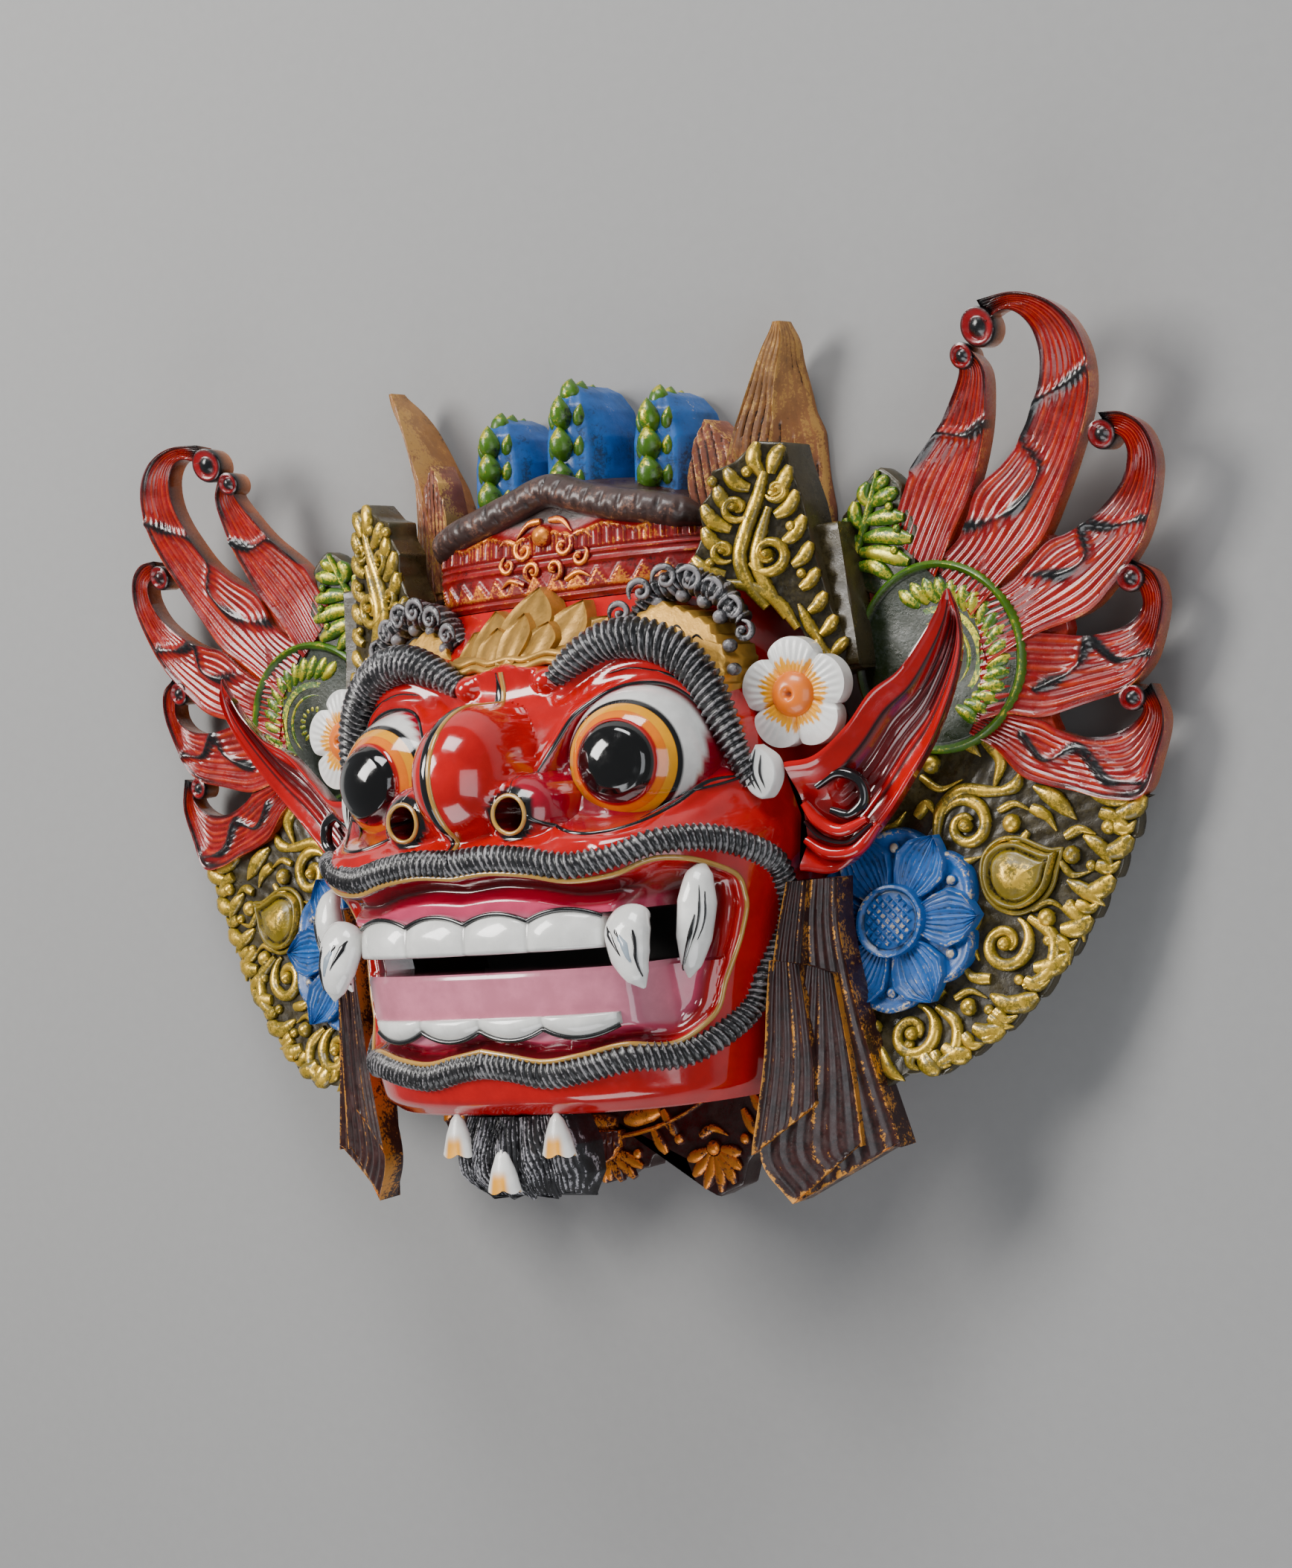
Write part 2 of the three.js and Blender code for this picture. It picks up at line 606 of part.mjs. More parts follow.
function wing() {
  const flat = join([...feathers(), ...featherWaves(), redField(), gildedPanel(), ...scrollWork(),
    mangoBoss(), ...lotusFlower(), ...greenLeaf(), ...fernDisc(), ...giltLeaf()]);
  const risen = toSolid(bend(toGeometry(flat), (x, y, z) => [x, y, z + wingRise(x, y)]));
  return toGeometry(risen.subtract(ribbon(GAP)).subtract(templeCurls(GAP)[0]));
}

// A pleated ribbon hangs beside the jaw, its face turned a little outward.
function ribbon(grow = 0) {
  const front = (x) => 67 - 0.5 * (x - 82);
  const band = (line, lift) => {
    const flat = plate(outset(line, grow * 1.2), -RIBBON_THICK - grow, lift + grow);
    return toSolid(bend(toGeometry(flat), (x, y, z) => [x, y, z + front(x)]));
  };
  const body = [[95, -61], [109, -61], [108, -75], [110, -95], [114, -120], [120, -148],
    [100, -160], [88, -166], [81, -148], [85, -110], [89.5, -80]];
  const pleatOne = [[89, -90], [97, -90], [98, -134], [78, -149], [84, -120]];
  const pleatTwo = [[97, -92], [106, -94], [110, -147], [88, -166], [80, -149]];
  return join([band(body, -2), band(pleatTwo, -0.5), band(pleatOne, 1)]);
}

// A long pointed ear, dished towards the front.
function ear() {
  const stations = [
    // inner edge, outer edge, heights of inner edge, dish and outer edge
    [[95, -22], [95, -58], 56, 48, 52], [[105, -20.5], [106, -59], 53, 43, 45],
    [[116, -12], [119, -45], 50, 40, 38], [[126, -2], [131, -31], 50, 40, 37],
    [[137, 4], [141, -19], 50, 41, 38], [[146, 13], [150.5, -5], 50, 43, 41],
    [[152, 21], [157, 8], 49, 45, 44], [[155, 26], [159, 19], 49, 47, 47],
    [[155.5, 28], [157, 27], 48.6, 48.4, 48.4],
  ];
  const rings = stations.map(([l, r, zl, zm, zr], i) => {
    const mid = [mix(l[0], r[0], 0.5), mix(l[1], r[1], 0.5)];
    const thick = mix(11, 1.5, i / (stations.length - 1));
    return [[...l, zl - thick], [...l, zl], [...mid, zm], [...r, zr], [...r, zr - thick * 0.6],
      [...mid, zm - thick]];
  });
  return skin(rings);
}

function flower() {
  const line = arc([FLOWER.x, FLOWER.y], (t) => (
    FLOWER.petal * (0.78 + 0.22 * Math.abs(wave(5 * Math.PI * t)) ** 0.6)
  ), 90, 450, 25);
  const petals = plate(line.slice(0, -1), FLOWER.z - 4, FLOWER.z + 1);
  const heart = ellipsoid([FLOWER.x, FLOWER.y, FLOWER.z], [FLOWER.heart, FLOWER.heart, 5], 10, 6);
  const head = skin(HEAD.map(([y]) => blockRing(HEAD, y, HEAD_SIDES, -GAP, 0, -GAP)));
  return join([petals, heart]).subtract(head);
}

// The leafy collar under the chin, cut off flat where it meets the jaw.
function collar() {
  const lobed = ([x, half, low, high]) => Array.from({ length: 9 }, (_, i) => {
    const t = i / 4 - 1;
    const lobe = i % 2 ? 2 : 0;
    return [x + half * t, mix(low, high, t * t) - lobe];
  });
  const edge = [...lobed([-47, 14, -166, -153]), ...lobed([0, 19, -161, -152]),
    ...lobed([47, 14, -166, -153])];
  const board = plate([[-72, -134], [-66, -150], ...edge, [66, -150], [72, -134]], 37, 47);
  const ring = plate([...arc([0, -60], 86, -140, -40, 8), ...arc([0, -60], 76, -40, -140, 8)],
    44, 50);
  const pendant = plate([[-10, -144], [-7, -152], [0, -156], [7, -152], [10, -144]], 44, 51);
  const under = plate([[-90, -200], [90, -200], [90, COLLAR_TOP], [-90, COLLAR_TOP]], 0, 90);
  return join([board, ring, pendant]).intersect(under);
}

function beard() {
  const locks = [-2, -1, 0, 1, 2].map((i) => {
    const x = i * 9.5;
    return bar([[x * 0.85, -138, 92, 7.5, 8], [x, -146, 94, 8, 8],
      [x * 1.05, -161 + Math.abs(i) * 3, 92, 3, 4]], 4);
  });
  const root = plate([[-22, COLLAR_TOP], [-27, -146], [27, -146], [22, COLLAR_TOP]], 82, 99);
  return join([root, ...locks]);
}

// ---- the whole mask -----------------------------------------------------------------------
function paint(color, roughness, metalness = 0) {
  return new THREE.MeshStandardMaterial({ color, roughness, metalness });
}

const mask = new THREE.Group();

function add(name, geometry, material) {
  const welded = toGeometry(toSolid(geometry, WELD));
  const mesh = new THREE.Mesh(welded, material);
  mesh.name = name;
  mask.add(mesh);
}

const faceSolid = face();
const crownSolid = crown();
add('face', toGeometry(faceSolid), paint(0xc00a12, 0.25));
add('crown', toGeometry(crownSolid), paint(0x8c1a14, 0.6));

const sides = {
  wing: [wing(), paint(0x7d6a1c, 0.5, 0.3)],
  ribbon: [toGeometry(ribbon()), paint(0x5a2416, 0.5)],
  ear: [toGeometry(ear()), paint(0xb8070f, 0.25)],
  flower: [toGeometry(flower()), paint(0xf2f2ee, 0.4)],
};
for (const [name, [geometry, material]] of Object.entries(sides)) {
  add(`${name}_right`, geometry, material);
  add(`${name}_left`, mirrored(geometry), material.clone());
}
add('collar', toGeometry(collar()), paint(0x5c120e, 0.45));
add('beard', toGeometry(beard()), paint(0x2c2a2e, 0.5));

mask.position.set(0, -(MASK_TOP + MASK_BOTTOM) / 2, 0);

export default mask;
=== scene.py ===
"""A carved and painted wooden barong mask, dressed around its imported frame."""

import json

import bpy
import numpy as np
from mathutils import Matrix, Vector

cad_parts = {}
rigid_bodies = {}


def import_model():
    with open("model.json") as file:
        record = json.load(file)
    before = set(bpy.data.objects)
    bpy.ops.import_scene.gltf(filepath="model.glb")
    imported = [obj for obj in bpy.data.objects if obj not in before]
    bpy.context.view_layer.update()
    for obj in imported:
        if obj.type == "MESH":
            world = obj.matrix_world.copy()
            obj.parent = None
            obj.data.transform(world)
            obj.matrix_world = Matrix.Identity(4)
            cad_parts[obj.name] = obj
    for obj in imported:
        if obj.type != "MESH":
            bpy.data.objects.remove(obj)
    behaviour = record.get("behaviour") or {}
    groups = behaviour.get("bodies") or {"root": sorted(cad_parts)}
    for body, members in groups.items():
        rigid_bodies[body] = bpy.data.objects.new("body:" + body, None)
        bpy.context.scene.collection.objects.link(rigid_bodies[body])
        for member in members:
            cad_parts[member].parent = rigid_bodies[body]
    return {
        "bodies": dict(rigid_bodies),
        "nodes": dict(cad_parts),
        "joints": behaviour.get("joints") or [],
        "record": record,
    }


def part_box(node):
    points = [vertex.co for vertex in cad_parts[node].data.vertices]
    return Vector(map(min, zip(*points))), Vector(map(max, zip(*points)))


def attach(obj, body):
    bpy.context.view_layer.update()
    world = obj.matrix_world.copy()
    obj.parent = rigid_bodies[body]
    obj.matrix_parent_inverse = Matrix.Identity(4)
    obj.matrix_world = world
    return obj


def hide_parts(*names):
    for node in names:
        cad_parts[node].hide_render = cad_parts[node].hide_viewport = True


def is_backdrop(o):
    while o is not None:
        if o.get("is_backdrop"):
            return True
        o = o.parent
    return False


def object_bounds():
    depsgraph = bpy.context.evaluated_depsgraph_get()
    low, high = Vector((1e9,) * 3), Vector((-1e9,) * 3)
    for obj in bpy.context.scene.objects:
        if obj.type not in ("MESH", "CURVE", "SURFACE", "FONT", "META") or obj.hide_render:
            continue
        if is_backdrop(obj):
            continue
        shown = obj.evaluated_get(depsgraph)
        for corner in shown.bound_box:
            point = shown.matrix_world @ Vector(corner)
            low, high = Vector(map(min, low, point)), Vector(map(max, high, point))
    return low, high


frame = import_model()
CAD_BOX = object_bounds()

bl_info = {
    "name": "Barong mask",
    "version": (1, 0, 0),
    "blender": (4, 5, 0),
    "location": "View3D > Sidebar > Mask",
    "description": "Builds the carved and painted surfaces of a wooden barong mask",
    "category": "Object",
}

# The carving frame is in millimetres: x across, y up the face with 0 at the flowers, z out of
# the face with 0 on the back. LIFT_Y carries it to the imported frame.
CHIN = -131.0
LIFT_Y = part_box("face")[0][1] * 1000 - CHIN

RED = (0.50, 0.0015, 0.003)
DEEP_RED = (0.09, 0.001, 0.003)
CRIMSON = (0.33, 0.0015, 0.018)
PINK = (0.62, 0.06, 0.14)
PALE_PINK = (0.62, 0.20, 0.28)
BLACK = (0.006, 0.006, 0.007)
WHITE = (0.80, 0.80, 0.77)
YELLOW = (0.86, 0.36, 0.002)
ORANGE = (0.76, 0.12, 0.004)
GOLD = (0.50, 0.27, 0.055)
OLIVE = (0.20, 0.14, 0.006)
GROUND = (0.045, 0.034, 0.012)
GREEN = (0.055, 0.15, 0.004)
BLUE = (0.004, 0.09, 0.33)
MAROON = (0.035, 0.009, 0.008)
SILVER = (0.42, 0.40, 0.41)
RUST = (0.36, 0.08, 0.02)


# ---- lines and small maths -------------------------------------------------------------
def smooth(low, high, value):
    """0 below low, 1 above high, and 3t^2 - 2t^3 between."""
    t = np.clip((value - low) / (high - low), 0, 1)
    return t * t * (3 - 2 * t)


def soft_max(a, b, reach):
    """The larger of two heights, with the crease between them filled over a short reach."""
    return np.maximum(a, b) + np.maximum(reach - np.abs(a - b), 0) ** 2 / (4 * reach)


def mix(a, b, t):
    """Colours or places a and b mixed by t, where t may be an array of weights."""
    t = np.asarray(t, float)[..., None]
    return np.asarray(a, float) * (1 - t) + np.asarray(b, float) * t


def wobble(x, y, size):
    """A hand-cut unevenness from -1 to 1: four crossing sine waves of about the given size."""
    k = 2 * np.pi / size
    return (
        np.sin(k * (x + 0.3 * y))
        + np.sin(k * (1.7 * y - 0.6 * x) + 1.3)
        + np.sin(k * (0.55 * x + 2.3 * y) + 2.1)
        + np.sin(k * (2.1 * x - 1.1 * y) + 0.4)
    ) / 4


def through(points, count, by_station=False):
    """A smooth line through points: cubic pieces that leave each point along the chord of
    its neighbours, sampled evenly by length or by point number."""
    p = np.asarray(points, float)
    if by_station:
        t = np.arange(len(p), dtype=float)
    else:
        t = np.concatenate([[0], np.cumsum(np.linalg.norm(np.diff(p, axis=0), axis=1))])
    slope = np.gradient(p, t, axis=0)
    s = np.linspace(0, t[-1], count)
    i = np.clip(np.searchsorted(t, s, side="right") - 1, 0, len(t) - 2)
    h = (t[i + 1] - t[i])[:, None]
    u = ((s - t[i])[:, None]) / h
    return (
        (2 * u**3 - 3 * u**2 + 1) * p[i]
        + (u**3 - 2 * u**2 + u) * h * slope[i]
        + (3 * u**2 - 2 * u**3) * p[i + 1]
        + (u**3 - u**2) * h * slope[i + 1]
    )


def near_line(x, y, path):
    """Distance from each place to a line in the plane, and how far along it the nearest
    point lies, from 0 to 1."""
    a, b = path[:-1], path[1:]
    best = np.full(np.shape(x), 1e9)
    along = np.zeros(np.shape(x))
    for i, (p, q) in enumerate(zip(a, b)):
        d = q - p
        t = np.clip(((x - p[0]) * d[0] + (y - p[1]) * d[1]) / max(d @ d, 1e-9), 0, 1)
        gap = np.hypot(x - p[0] - t * d[0], y - p[1] - t * d[1])
        nearer = gap < best
        best = np.where(nearer, gap, best)
        along = np.where(nearer, (i + t) / len(a), along)
    return best, along


def inside(x, y, outline):
    """Distance into a closed outline, negative outside it."""
    ring = np.asarray(list(outline) + [outline[0]], float)
    gap, _ = near_line(x, y, ring)
    crossings = np.zeros(np.shape(x), int)
    for p, q in zip(ring[:-1], ring[1:]):
        spans = (p[1] > y) != (q[1] > y)
        rise = q[1] - p[1] if q[1] != p[1] else 1e-9
        crossings += spans & (x < p[0] + (q[0] - p[0]) * (y - p[1]) / rise)
    return np.where(crossings % 2 == 1, gap, -gap)


# ---- carvings --------------------------------------------------------------------------
class Carving:
    """Closed lofted solids gathered into one mesh, each corner with a paint colour (tint)
    and a height (rub): 0 in the cuts, 1 on the edges that a dry brush or wear touches;
    the gloss and gilt finishes also darken the low places by it as painted shade."""

    def __init__(self):
        self.points, self.faces, self.tints, self.rubs_and_shades = [], [], [], []
        self.size = 0

    def take(self, points, faces, tint, rub_and_shade):
        self.points.append(points)
        self.faces.append([f + self.size for f in faces])
        self.tints.append(np.broadcast_to(tint, points.shape))
        self.rubs_and_shades.append(np.broadcast_to(rub_and_shade, points.shape[:1]))
        self.size += len(points)

    def loft(self, rings, tint, rub_and_shade=0.5):
        """A closed skin over a row of closed rings, capped at both ends, facing outward."""
        n, m = rings.shape[:2]
        ends = np.stack([rings[0].mean(0), rings[-1].mean(0)])
        tint = np.broadcast_to(tint, rings.shape)
        rub_and_shade = np.broadcast_to(rub_and_shade, rings.shape[:2])
        i = np.arange(n - 1)[:, None] * m
        j = np.arange(m)
        k = (j + 1) % m
        quads = np.stack([i + j, i + k, i + m + k, i + m + j], -1).reshape(-1, 4)
        last = (n - 1) * m
        caps = np.concatenate(
            [
                np.stack([np.full(m, n * m), k, j], -1),
                np.stack([np.full(m, n * m + 1), last + j, last + k], -1),
            ]
        )
        points = np.concatenate([rings.reshape(-1, 3), ends])
        tris = np.concatenate([quads[:, [0, 1, 2]], quads[:, [0, 2, 3]], caps])
        a, b, c = (points[tris[:, s]] for s in range(3))
        if np.einsum("ij,ij->", a, np.cross(b, c)) < 0:
            quads, caps = quads[:, ::-1], caps[:, ::-1]
        tints = np.concatenate([tint.reshape(-1, 3), tint[[0, -1]].mean(1)])
        rubs_and_shades = np.concatenate([rub_and_shade.reshape(-1), rub_and_shade[[0, -1]].mean(1)])
        self.take(points, [quads, caps], tints, rubs_and_shades)

    def reflect(self):
        """Adds the mirror image across x = 0 of all that is in the carving so far."""
        parts = list(zip(self.points, self.faces, self.tints, self.rubs_and_shades))
        start = self.size
        offset = 0
        for points, faces, tint, rub_and_shade in parts:
            turned = points * np.array([-1, 1, 1])
            local = [f[:, ::-1] - offset for f in faces]
            self.take(turned, local, tint, rub_and_shade)
            offset += len(points)
        return start

    def mirrored(self):
        """The same carving as its mirror image across x = 0."""
        other = Carving()
        other.points = [p * np.array([-1, 1, 1]) for p in self.points]
        other.faces = [[f[:, ::-1] for f in faces] for faces in self.faces]
        other.tints, other.rubs_and_shades, other.size = self.tints, self.rubs_and_shades, self.size
        return other

    def finish(self, name, node, material, angle=50):
        """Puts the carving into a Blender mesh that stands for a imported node."""
        points = np.concatenate(self.points) + np.array([0, LIFT_Y, 0])
        faces = [row for group in self.faces for f in group for row in f.tolist()]
        mesh = bpy.data.meshes.new(name)
        mesh.from_pydata((points / 1000).tolist(), [], faces)
        tint = mesh.attributes.new("tint", "FLOAT_COLOR", "POINT")
        colours = np.ones((len(points), 4))
        colours[:, :3] = np.clip(np.concatenate(self.tints), 0, 1)
        tint.data.foreach_set("color", colours.ravel())
        rub_and_shade = mesh.attributes.new("rub_and_shade", "FLOAT", "POINT")
        rub_and_shade.data.foreach_set("value", np.clip(np.concatenate(self.rubs_and_shades), 0, 1))
        mesh.shade_smooth()
        mesh.set_sharp_from_angle(angle=np.radians(angle))
        mesh.materials.append(material)
        piece = bpy.data.objects.new(name, mesh)
        bpy.context.scene.collection.objects.link(piece)
        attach(piece, "root")
        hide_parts(node)
        return piece


def tube(path, width, height, sides=12, facing=None, swell=None):
    """Rings of a bar along a path: an ellipse, width across and height out of the carving,
    stood square to the path. swell scales it ring by ring and angle by angle."""
    path = np.asarray(path, float)
    along = np.gradient(path, axis=0)
    along /= np.maximum(np.linalg.norm(along, axis=1, keepdims=True), 1e-9)
    out = np.array([0, 0, 1.0]) if facing is None else np.asarray(facing, float)
    across = np.cross(np.broadcast_to(out, path.shape), along)
    across /= np.maximum(np.linalg.norm(across, axis=1, keepdims=True), 1e-9)
    out = np.cross(along, across)
    angle = 2 * np.pi * np.arange(sides) / sides
    w = np.broadcast_to(width, len(path))[:, None] * np.cos(angle)
    h = np.broadcast_to(height, len(path))[:, None] * np.sin(angle)
    if swell is not None:
        w, h = w * swell, h * swell
    return path[:, None] + w[..., None] * across[:, None] + h[..., None] * out[:, None]


def dome(centre, radii, around=48, down=24):
    """Rings of an ellipsoid from its back pole to its front pole."""
    angle = np.linspace(-np.pi / 2 + 0.02, np.pi / 2 - 0.02, down)[:, None]
    turn = 2 * np.pi * np.arange(around) / around
    unit = np.stack(
        [
            np.cos(angle) * np.cos(turn),
            np.cos(angle) * np.sin(turn),
            np.broadcast_to(np.sin(angle), (down, around)),
        ],
        -1,
    )
    return np.asarray(centre, float) + unit * np.asarray(radii, float)


def blade(left, right, lift, thick, count=80, across=24, crown=1.0, relief=None, undercut=0.8):
    """Rings of a carved leaf between two edge lines: its front stands on the surface lift(x, y),
    raised by a rounded crown and by relief(t, s, x, y), its back lies a thickness behind and
    a little inside the edges. Returns the rings, and t, s, x, y of every ring point."""
    l = through(left, count, True)
    r = through(right, count, True)
    s = np.linspace(0, 1, across)[None, :]
    flat = l[:, None] * (1 - s[..., None]) + r[:, None] * s[..., None]
    x, y = flat[..., 0], flat[..., 1]
    t = np.broadcast_to(np.linspace(0, 1, count)[:, None], x.shape)
    s = np.broadcast_to(s, x.shape)
    height = crown * (1 - np.abs(2 * s - 1) ** 6)
    if relief is not None:
        height = height + relief(t, s, x, y)
    front = np.stack([x, y, lift(x, y) + height], -1)
    span = (r - l) / np.maximum(np.linalg.norm(r - l, axis=1, keepdims=True), 1e-6)
    inset = np.minimum(undercut, 0.4 * np.linalg.norm(r - l, axis=1))[:, None]
    back = []
    for place in (r - span * inset, l + span * inset):
        z = lift(place[:, 0], place[:, 1]) - thick
        back.append(np.column_stack([place, z])[:, None])
    rings = np.concatenate([front] + back, axis=1)
    tail = np.array([[1.0, 0.0]])
    whole = [
        np.concatenate([a, a[:, -1:], a[:, :1]], axis=1) for a in (t, x, y)
    ]
    s = np.concatenate([s, np.broadcast_to(tail, (count, 2))], axis=1)
    return rings, whole[0], s, whole[1], whole[2]


SHAPES = {
    "leaf": (0.25, 0.85, 1.0, 0.72, 0.06),
    "comma": (0.8, 1.0, 0.8, 0.5, 0.15),
    "finger": (0.55, 0.85, 1.0, 0.95, 0.45),
    "even": (0.6, 1.0, 1.0, 1.0, 0.6),
    "drop": (0.3, 0.6, 0.9, 1.0, 0.5),
}


def stroke(carving, points, width, height, lift, shape="leaf", flute=0.0, tint=GOLD,
           count=18, sides=10, sink=0.3):
    """A raised stroke of carving along a line: its half width follows a named shape, its
    section is a low ellipse, and flute cuts a groove along its middle."""
    line = through(points, count)
    x, y = line[:, 0], line[:, 1]
    t = np.linspace(0, 1, count)
    size = np.interp(t, np.linspace(0, 1, 5), SHAPES[shape])
    path = np.column_stack([x, y, lift(x, y) + height * (0.2 - sink)])
    angle = 2 * np.pi * np.arange(sides) / sides
    groove = 1 - flute * np.exp(-((np.cos(angle) / 0.3) ** 2)) * (np.sin(angle) > 0)
    rings = tube(path, width * size, height * size**0.6, sides, swell=groove[None, :])
    rub_and_shade = np.broadcast_to(smooth(-0.2, 0.9, np.sin(angle) * groove)[None, :], (count, sides))
    carving.loft(rings, tint, rub_and_shade)


def coil(carving, centre, radius, start, turn, width, height, lift, tint=GOLD, count=44,
         flute=0.35, inner=0.22):
    """A scroll that winds in to a bead: the line's radius shrinks evenly with its angle."""
    t = np.linspace(0, 1, count)
    angle = np.radians(start + turn * t)
    r = radius * (1 - (1 - inner) * t)
    x = centre[0] + r * np.cos(angle)
    y = centre[1] + r * np.sin(angle)
    size = np.interp(t, (0, 0.15, 0.7, 1), (0.35, 1, 0.8, 0.5))
    path = np.column_stack([x, y, lift(x, y)])
    turnabout = 2 * np.pi * np.arange(10) / 10
    groove = 1 - flute * np.exp(-((np.cos(turnabout) / 0.3) ** 2)) * (np.sin(turnabout) > 0)
    rings = tube(path, width * size, height * size, 10, swell=groove[None, :])
    rub_and_shade = np.broadcast_to(smooth(-0.2, 0.9, np.sin(turnabout) * groove)[None, :], (count, 10))
    carving.loft(rings, tint, rub_and_shade)
    bead(carving, centre, radius * inner * 1.25, lift, tint, height * 1.5)


def bead(carving, centre, radius, lift, tint=GOLD, height=None):
    """A round boss standing on the surface."""
    x, y = centre[:2]
    z = float(lift(np.array(x), np.array(y)))
    rings = dome((x, y, z), (radius, radius, height or radius), 14, 8)
    rub_and_shade = smooth(-0.1, 0.8, (rings[..., 2] - z) / (height or radius))
    carving.loft(rings, tint, rub_and_shade)


def turned(centre, profile, lift, around=96):
    """Rings of a turned disc: a profile of radius and height carried round a centre and laid
    on the surface."""
    profile = np.asarray(profile, float)
    angle = 2 * np.pi * np.arange(around) / around
    x = centre[0] + profile[:, :1] * np.cos(angle)
    y = centre[1] + profile[:, :1] * np.sin(angle)
    return np.stack([x, y, lift(x, y) + profile[:, 1:]], -1)


# ---- finishes --------------------------------------------------------------------------
def new_finish(name):
    """An empty node material with its shader, an object-space noise maker and the two
    attributes that every carving carries."""
    material = bpy.data.materials.new(name)
    material.use_nodes = True
    tree = material.node_tree
    shader = tree.nodes["Principled BSDF"]
    place = tree.nodes.new("ShaderNodeTexCoord")
    tint = tree.nodes.new("ShaderNodeAttribute")
    tint.attribute_name = "tint"
    rub_and_shade = tree.nodes.new("ShaderNodeAttribute")
    rub_and_shade.attribute_name = "rub_and_shade"

    def noise(scale, detail=4.0, rough=0.6):
        node = tree.nodes.new("ShaderNodeTexNoise")
        node.inputs["Scale"].default_value = scale
        node.inputs["Detail"].default_value = detail
        node.inputs["Roughness"].default_value = rough
        tree.links.new(place.outputs["Object"], node.inputs["Vector"])
        return node.outputs["Fac"]

    def ramp(value, low, high, start=0.0, end=1.0):
        node = tree.nodes.new("ShaderNodeMapRange")
        node.interpolation_type = "SMOOTHSTEP"
        for socket, number in zip(
            ("From Min", "From Max", "To Min", "To Max"), (low, high, start, end)
        ):
            node.inputs[socket].default_value = number
        tree.links.new(value, node.inputs["Value"])
        return node.outputs["Result"]

    def combine(kind, a, b):
        node = tree.nodes.new("ShaderNodeMath")
        node.operation = kind
        for socket, value in zip(node.inputs, (a, b)):
            if isinstance(value, (int, float)):
                socket.default_value = value
            else:
                tree.links.new(value, socket)
        return node.outputs["Value"]

    def blend(weight, a, b, kind="MIX"):
        node = tree.nodes.new("ShaderNodeMix")
        node.data_type = "RGBA"
        node.blend_type = kind
        for socket, value in ((0, weight), (6, a), (7, b)):
            if isinstance(value, (int, float)):
                node.inputs[socket].default_value = value
            elif isinstance(value, tuple):
                node.inputs[socket].default_value = (*value, 1.0)
            else:
                tree.links.new(value, node.inputs[socket])
        return node.outputs[2]

    def bump(*layers):
        normal = None
        for height, strength, distance in layers:
            node = tree.nodes.new("ShaderNodeBump")
            node.inputs["Strength"].default_value = strength
            node.inputs["Distance"].default_value = distance
            tree.links.new(height, node.inputs["Height"])
            if normal is not None:
                tree.links.new(normal, node.inputs["Normal"])
            normal = node.outputs["Normal"]
        tree.links.new(normal, shader.inputs["Normal"])

    def wire(value, socket):
        tree.links.new(value, shader.inputs[socket])

    tools = {
        "noise": noise, "ramp": ramp, "combine": combine, "blend": blend, "bump": bump,
        "wire": wire, "tint": tint.outputs["Color"], "rub_and_shade": rub_and_shade.outputs["Fac"],
    }
    return material, shader, tools


def lacquer(name, coat=1.0, rough=0.13):
    """Hand-brushed gloss paint: the corner colour, faintly streaked and darkened in the cuts as
    painted shade, under a clear coat whose skin rolls a little."""
    material, shader, t = new_finish(name)
    streak = t["ramp"](t["noise"](90, 5), 0.35, 0.7, 0.86, 1.06)
    # painted shade: the colour darkens where the carving's height is low, in the cuts and under raised strokes, times
    # faint brush streaks
    shade = t["combine"]("MULTIPLY", streak, t["ramp"](t["rub_and_shade"], 0.0, 0.5, 0.45, 1.0))
    colour = t["blend"](1.0, t["tint"], shade, "MULTIPLY")
    t["wire"](colour, "Base Color")
    t["wire"](t["ramp"](t["noise"](220), 0.4, 0.75, rough, rough + 0.14), "Roughness")
    t["bump"]((t["noise"](55, 2), 0.35, 0.0011), (t["noise"](420, 3), 0.12, 0.0003))
    shader.inputs["Coat Weight"].default_value = coat
    shader.inputs["Coat Roughness"].default_value = 0.05
    shader.inputs["Specular IOR Level"].default_value = 0.5
    return material


def dry_brushed(name, ground, edge, metal=0.0, amount=0.62, grime=0.32, rough=0.42, coat=0.25):
    """Paint over a dark ground with a dry brush of another colour dragged over the high
    edges: the ground shows in the cuts, and the edge colour breaks up in specks."""
    material, shader, t = new_finish(name)
    speck = t["noise"](900, 3, 0.7)
    patch = t["noise"](120, 4)
    height = t["combine"]("ADD", t["rub_and_shade"], t["ramp"](patch, 0.3, 0.7, -0.18, 0.18))
    height = t["combine"]("ADD", height, t["ramp"](speck, 0.35, 0.65, -0.16, 0.16))
    low = t["ramp"](height, grime - 0.22, grime + 0.14, 1.0, 0.0)
    high = t["ramp"](height, amount, amount + 0.22)
    tone = t["blend"](1.0, t["tint"], t["ramp"](patch, 0.3, 0.75, 0.72, 1.16), "MULTIPLY")
    colour = t["blend"](low, tone, ground)
    colour = t["blend"](high, colour, edge)
    t["wire"](colour, "Base Color")
    if metal:
        t["wire"](t["combine"]("MULTIPLY", high, metal), "Metallic")
    t["wire"](t["ramp"](t["noise"](300), 0.3, 0.75, rough - 0.1, rough + 0.16), "Roughness")
    t["bump"]((patch, 0.3, 0.0008), (speck, 0.35, 0.00025))
    shader.inputs["Coat Weight"].default_value = coat
    shader.inputs["Coat Roughness"].default_value = 0.18
    return material


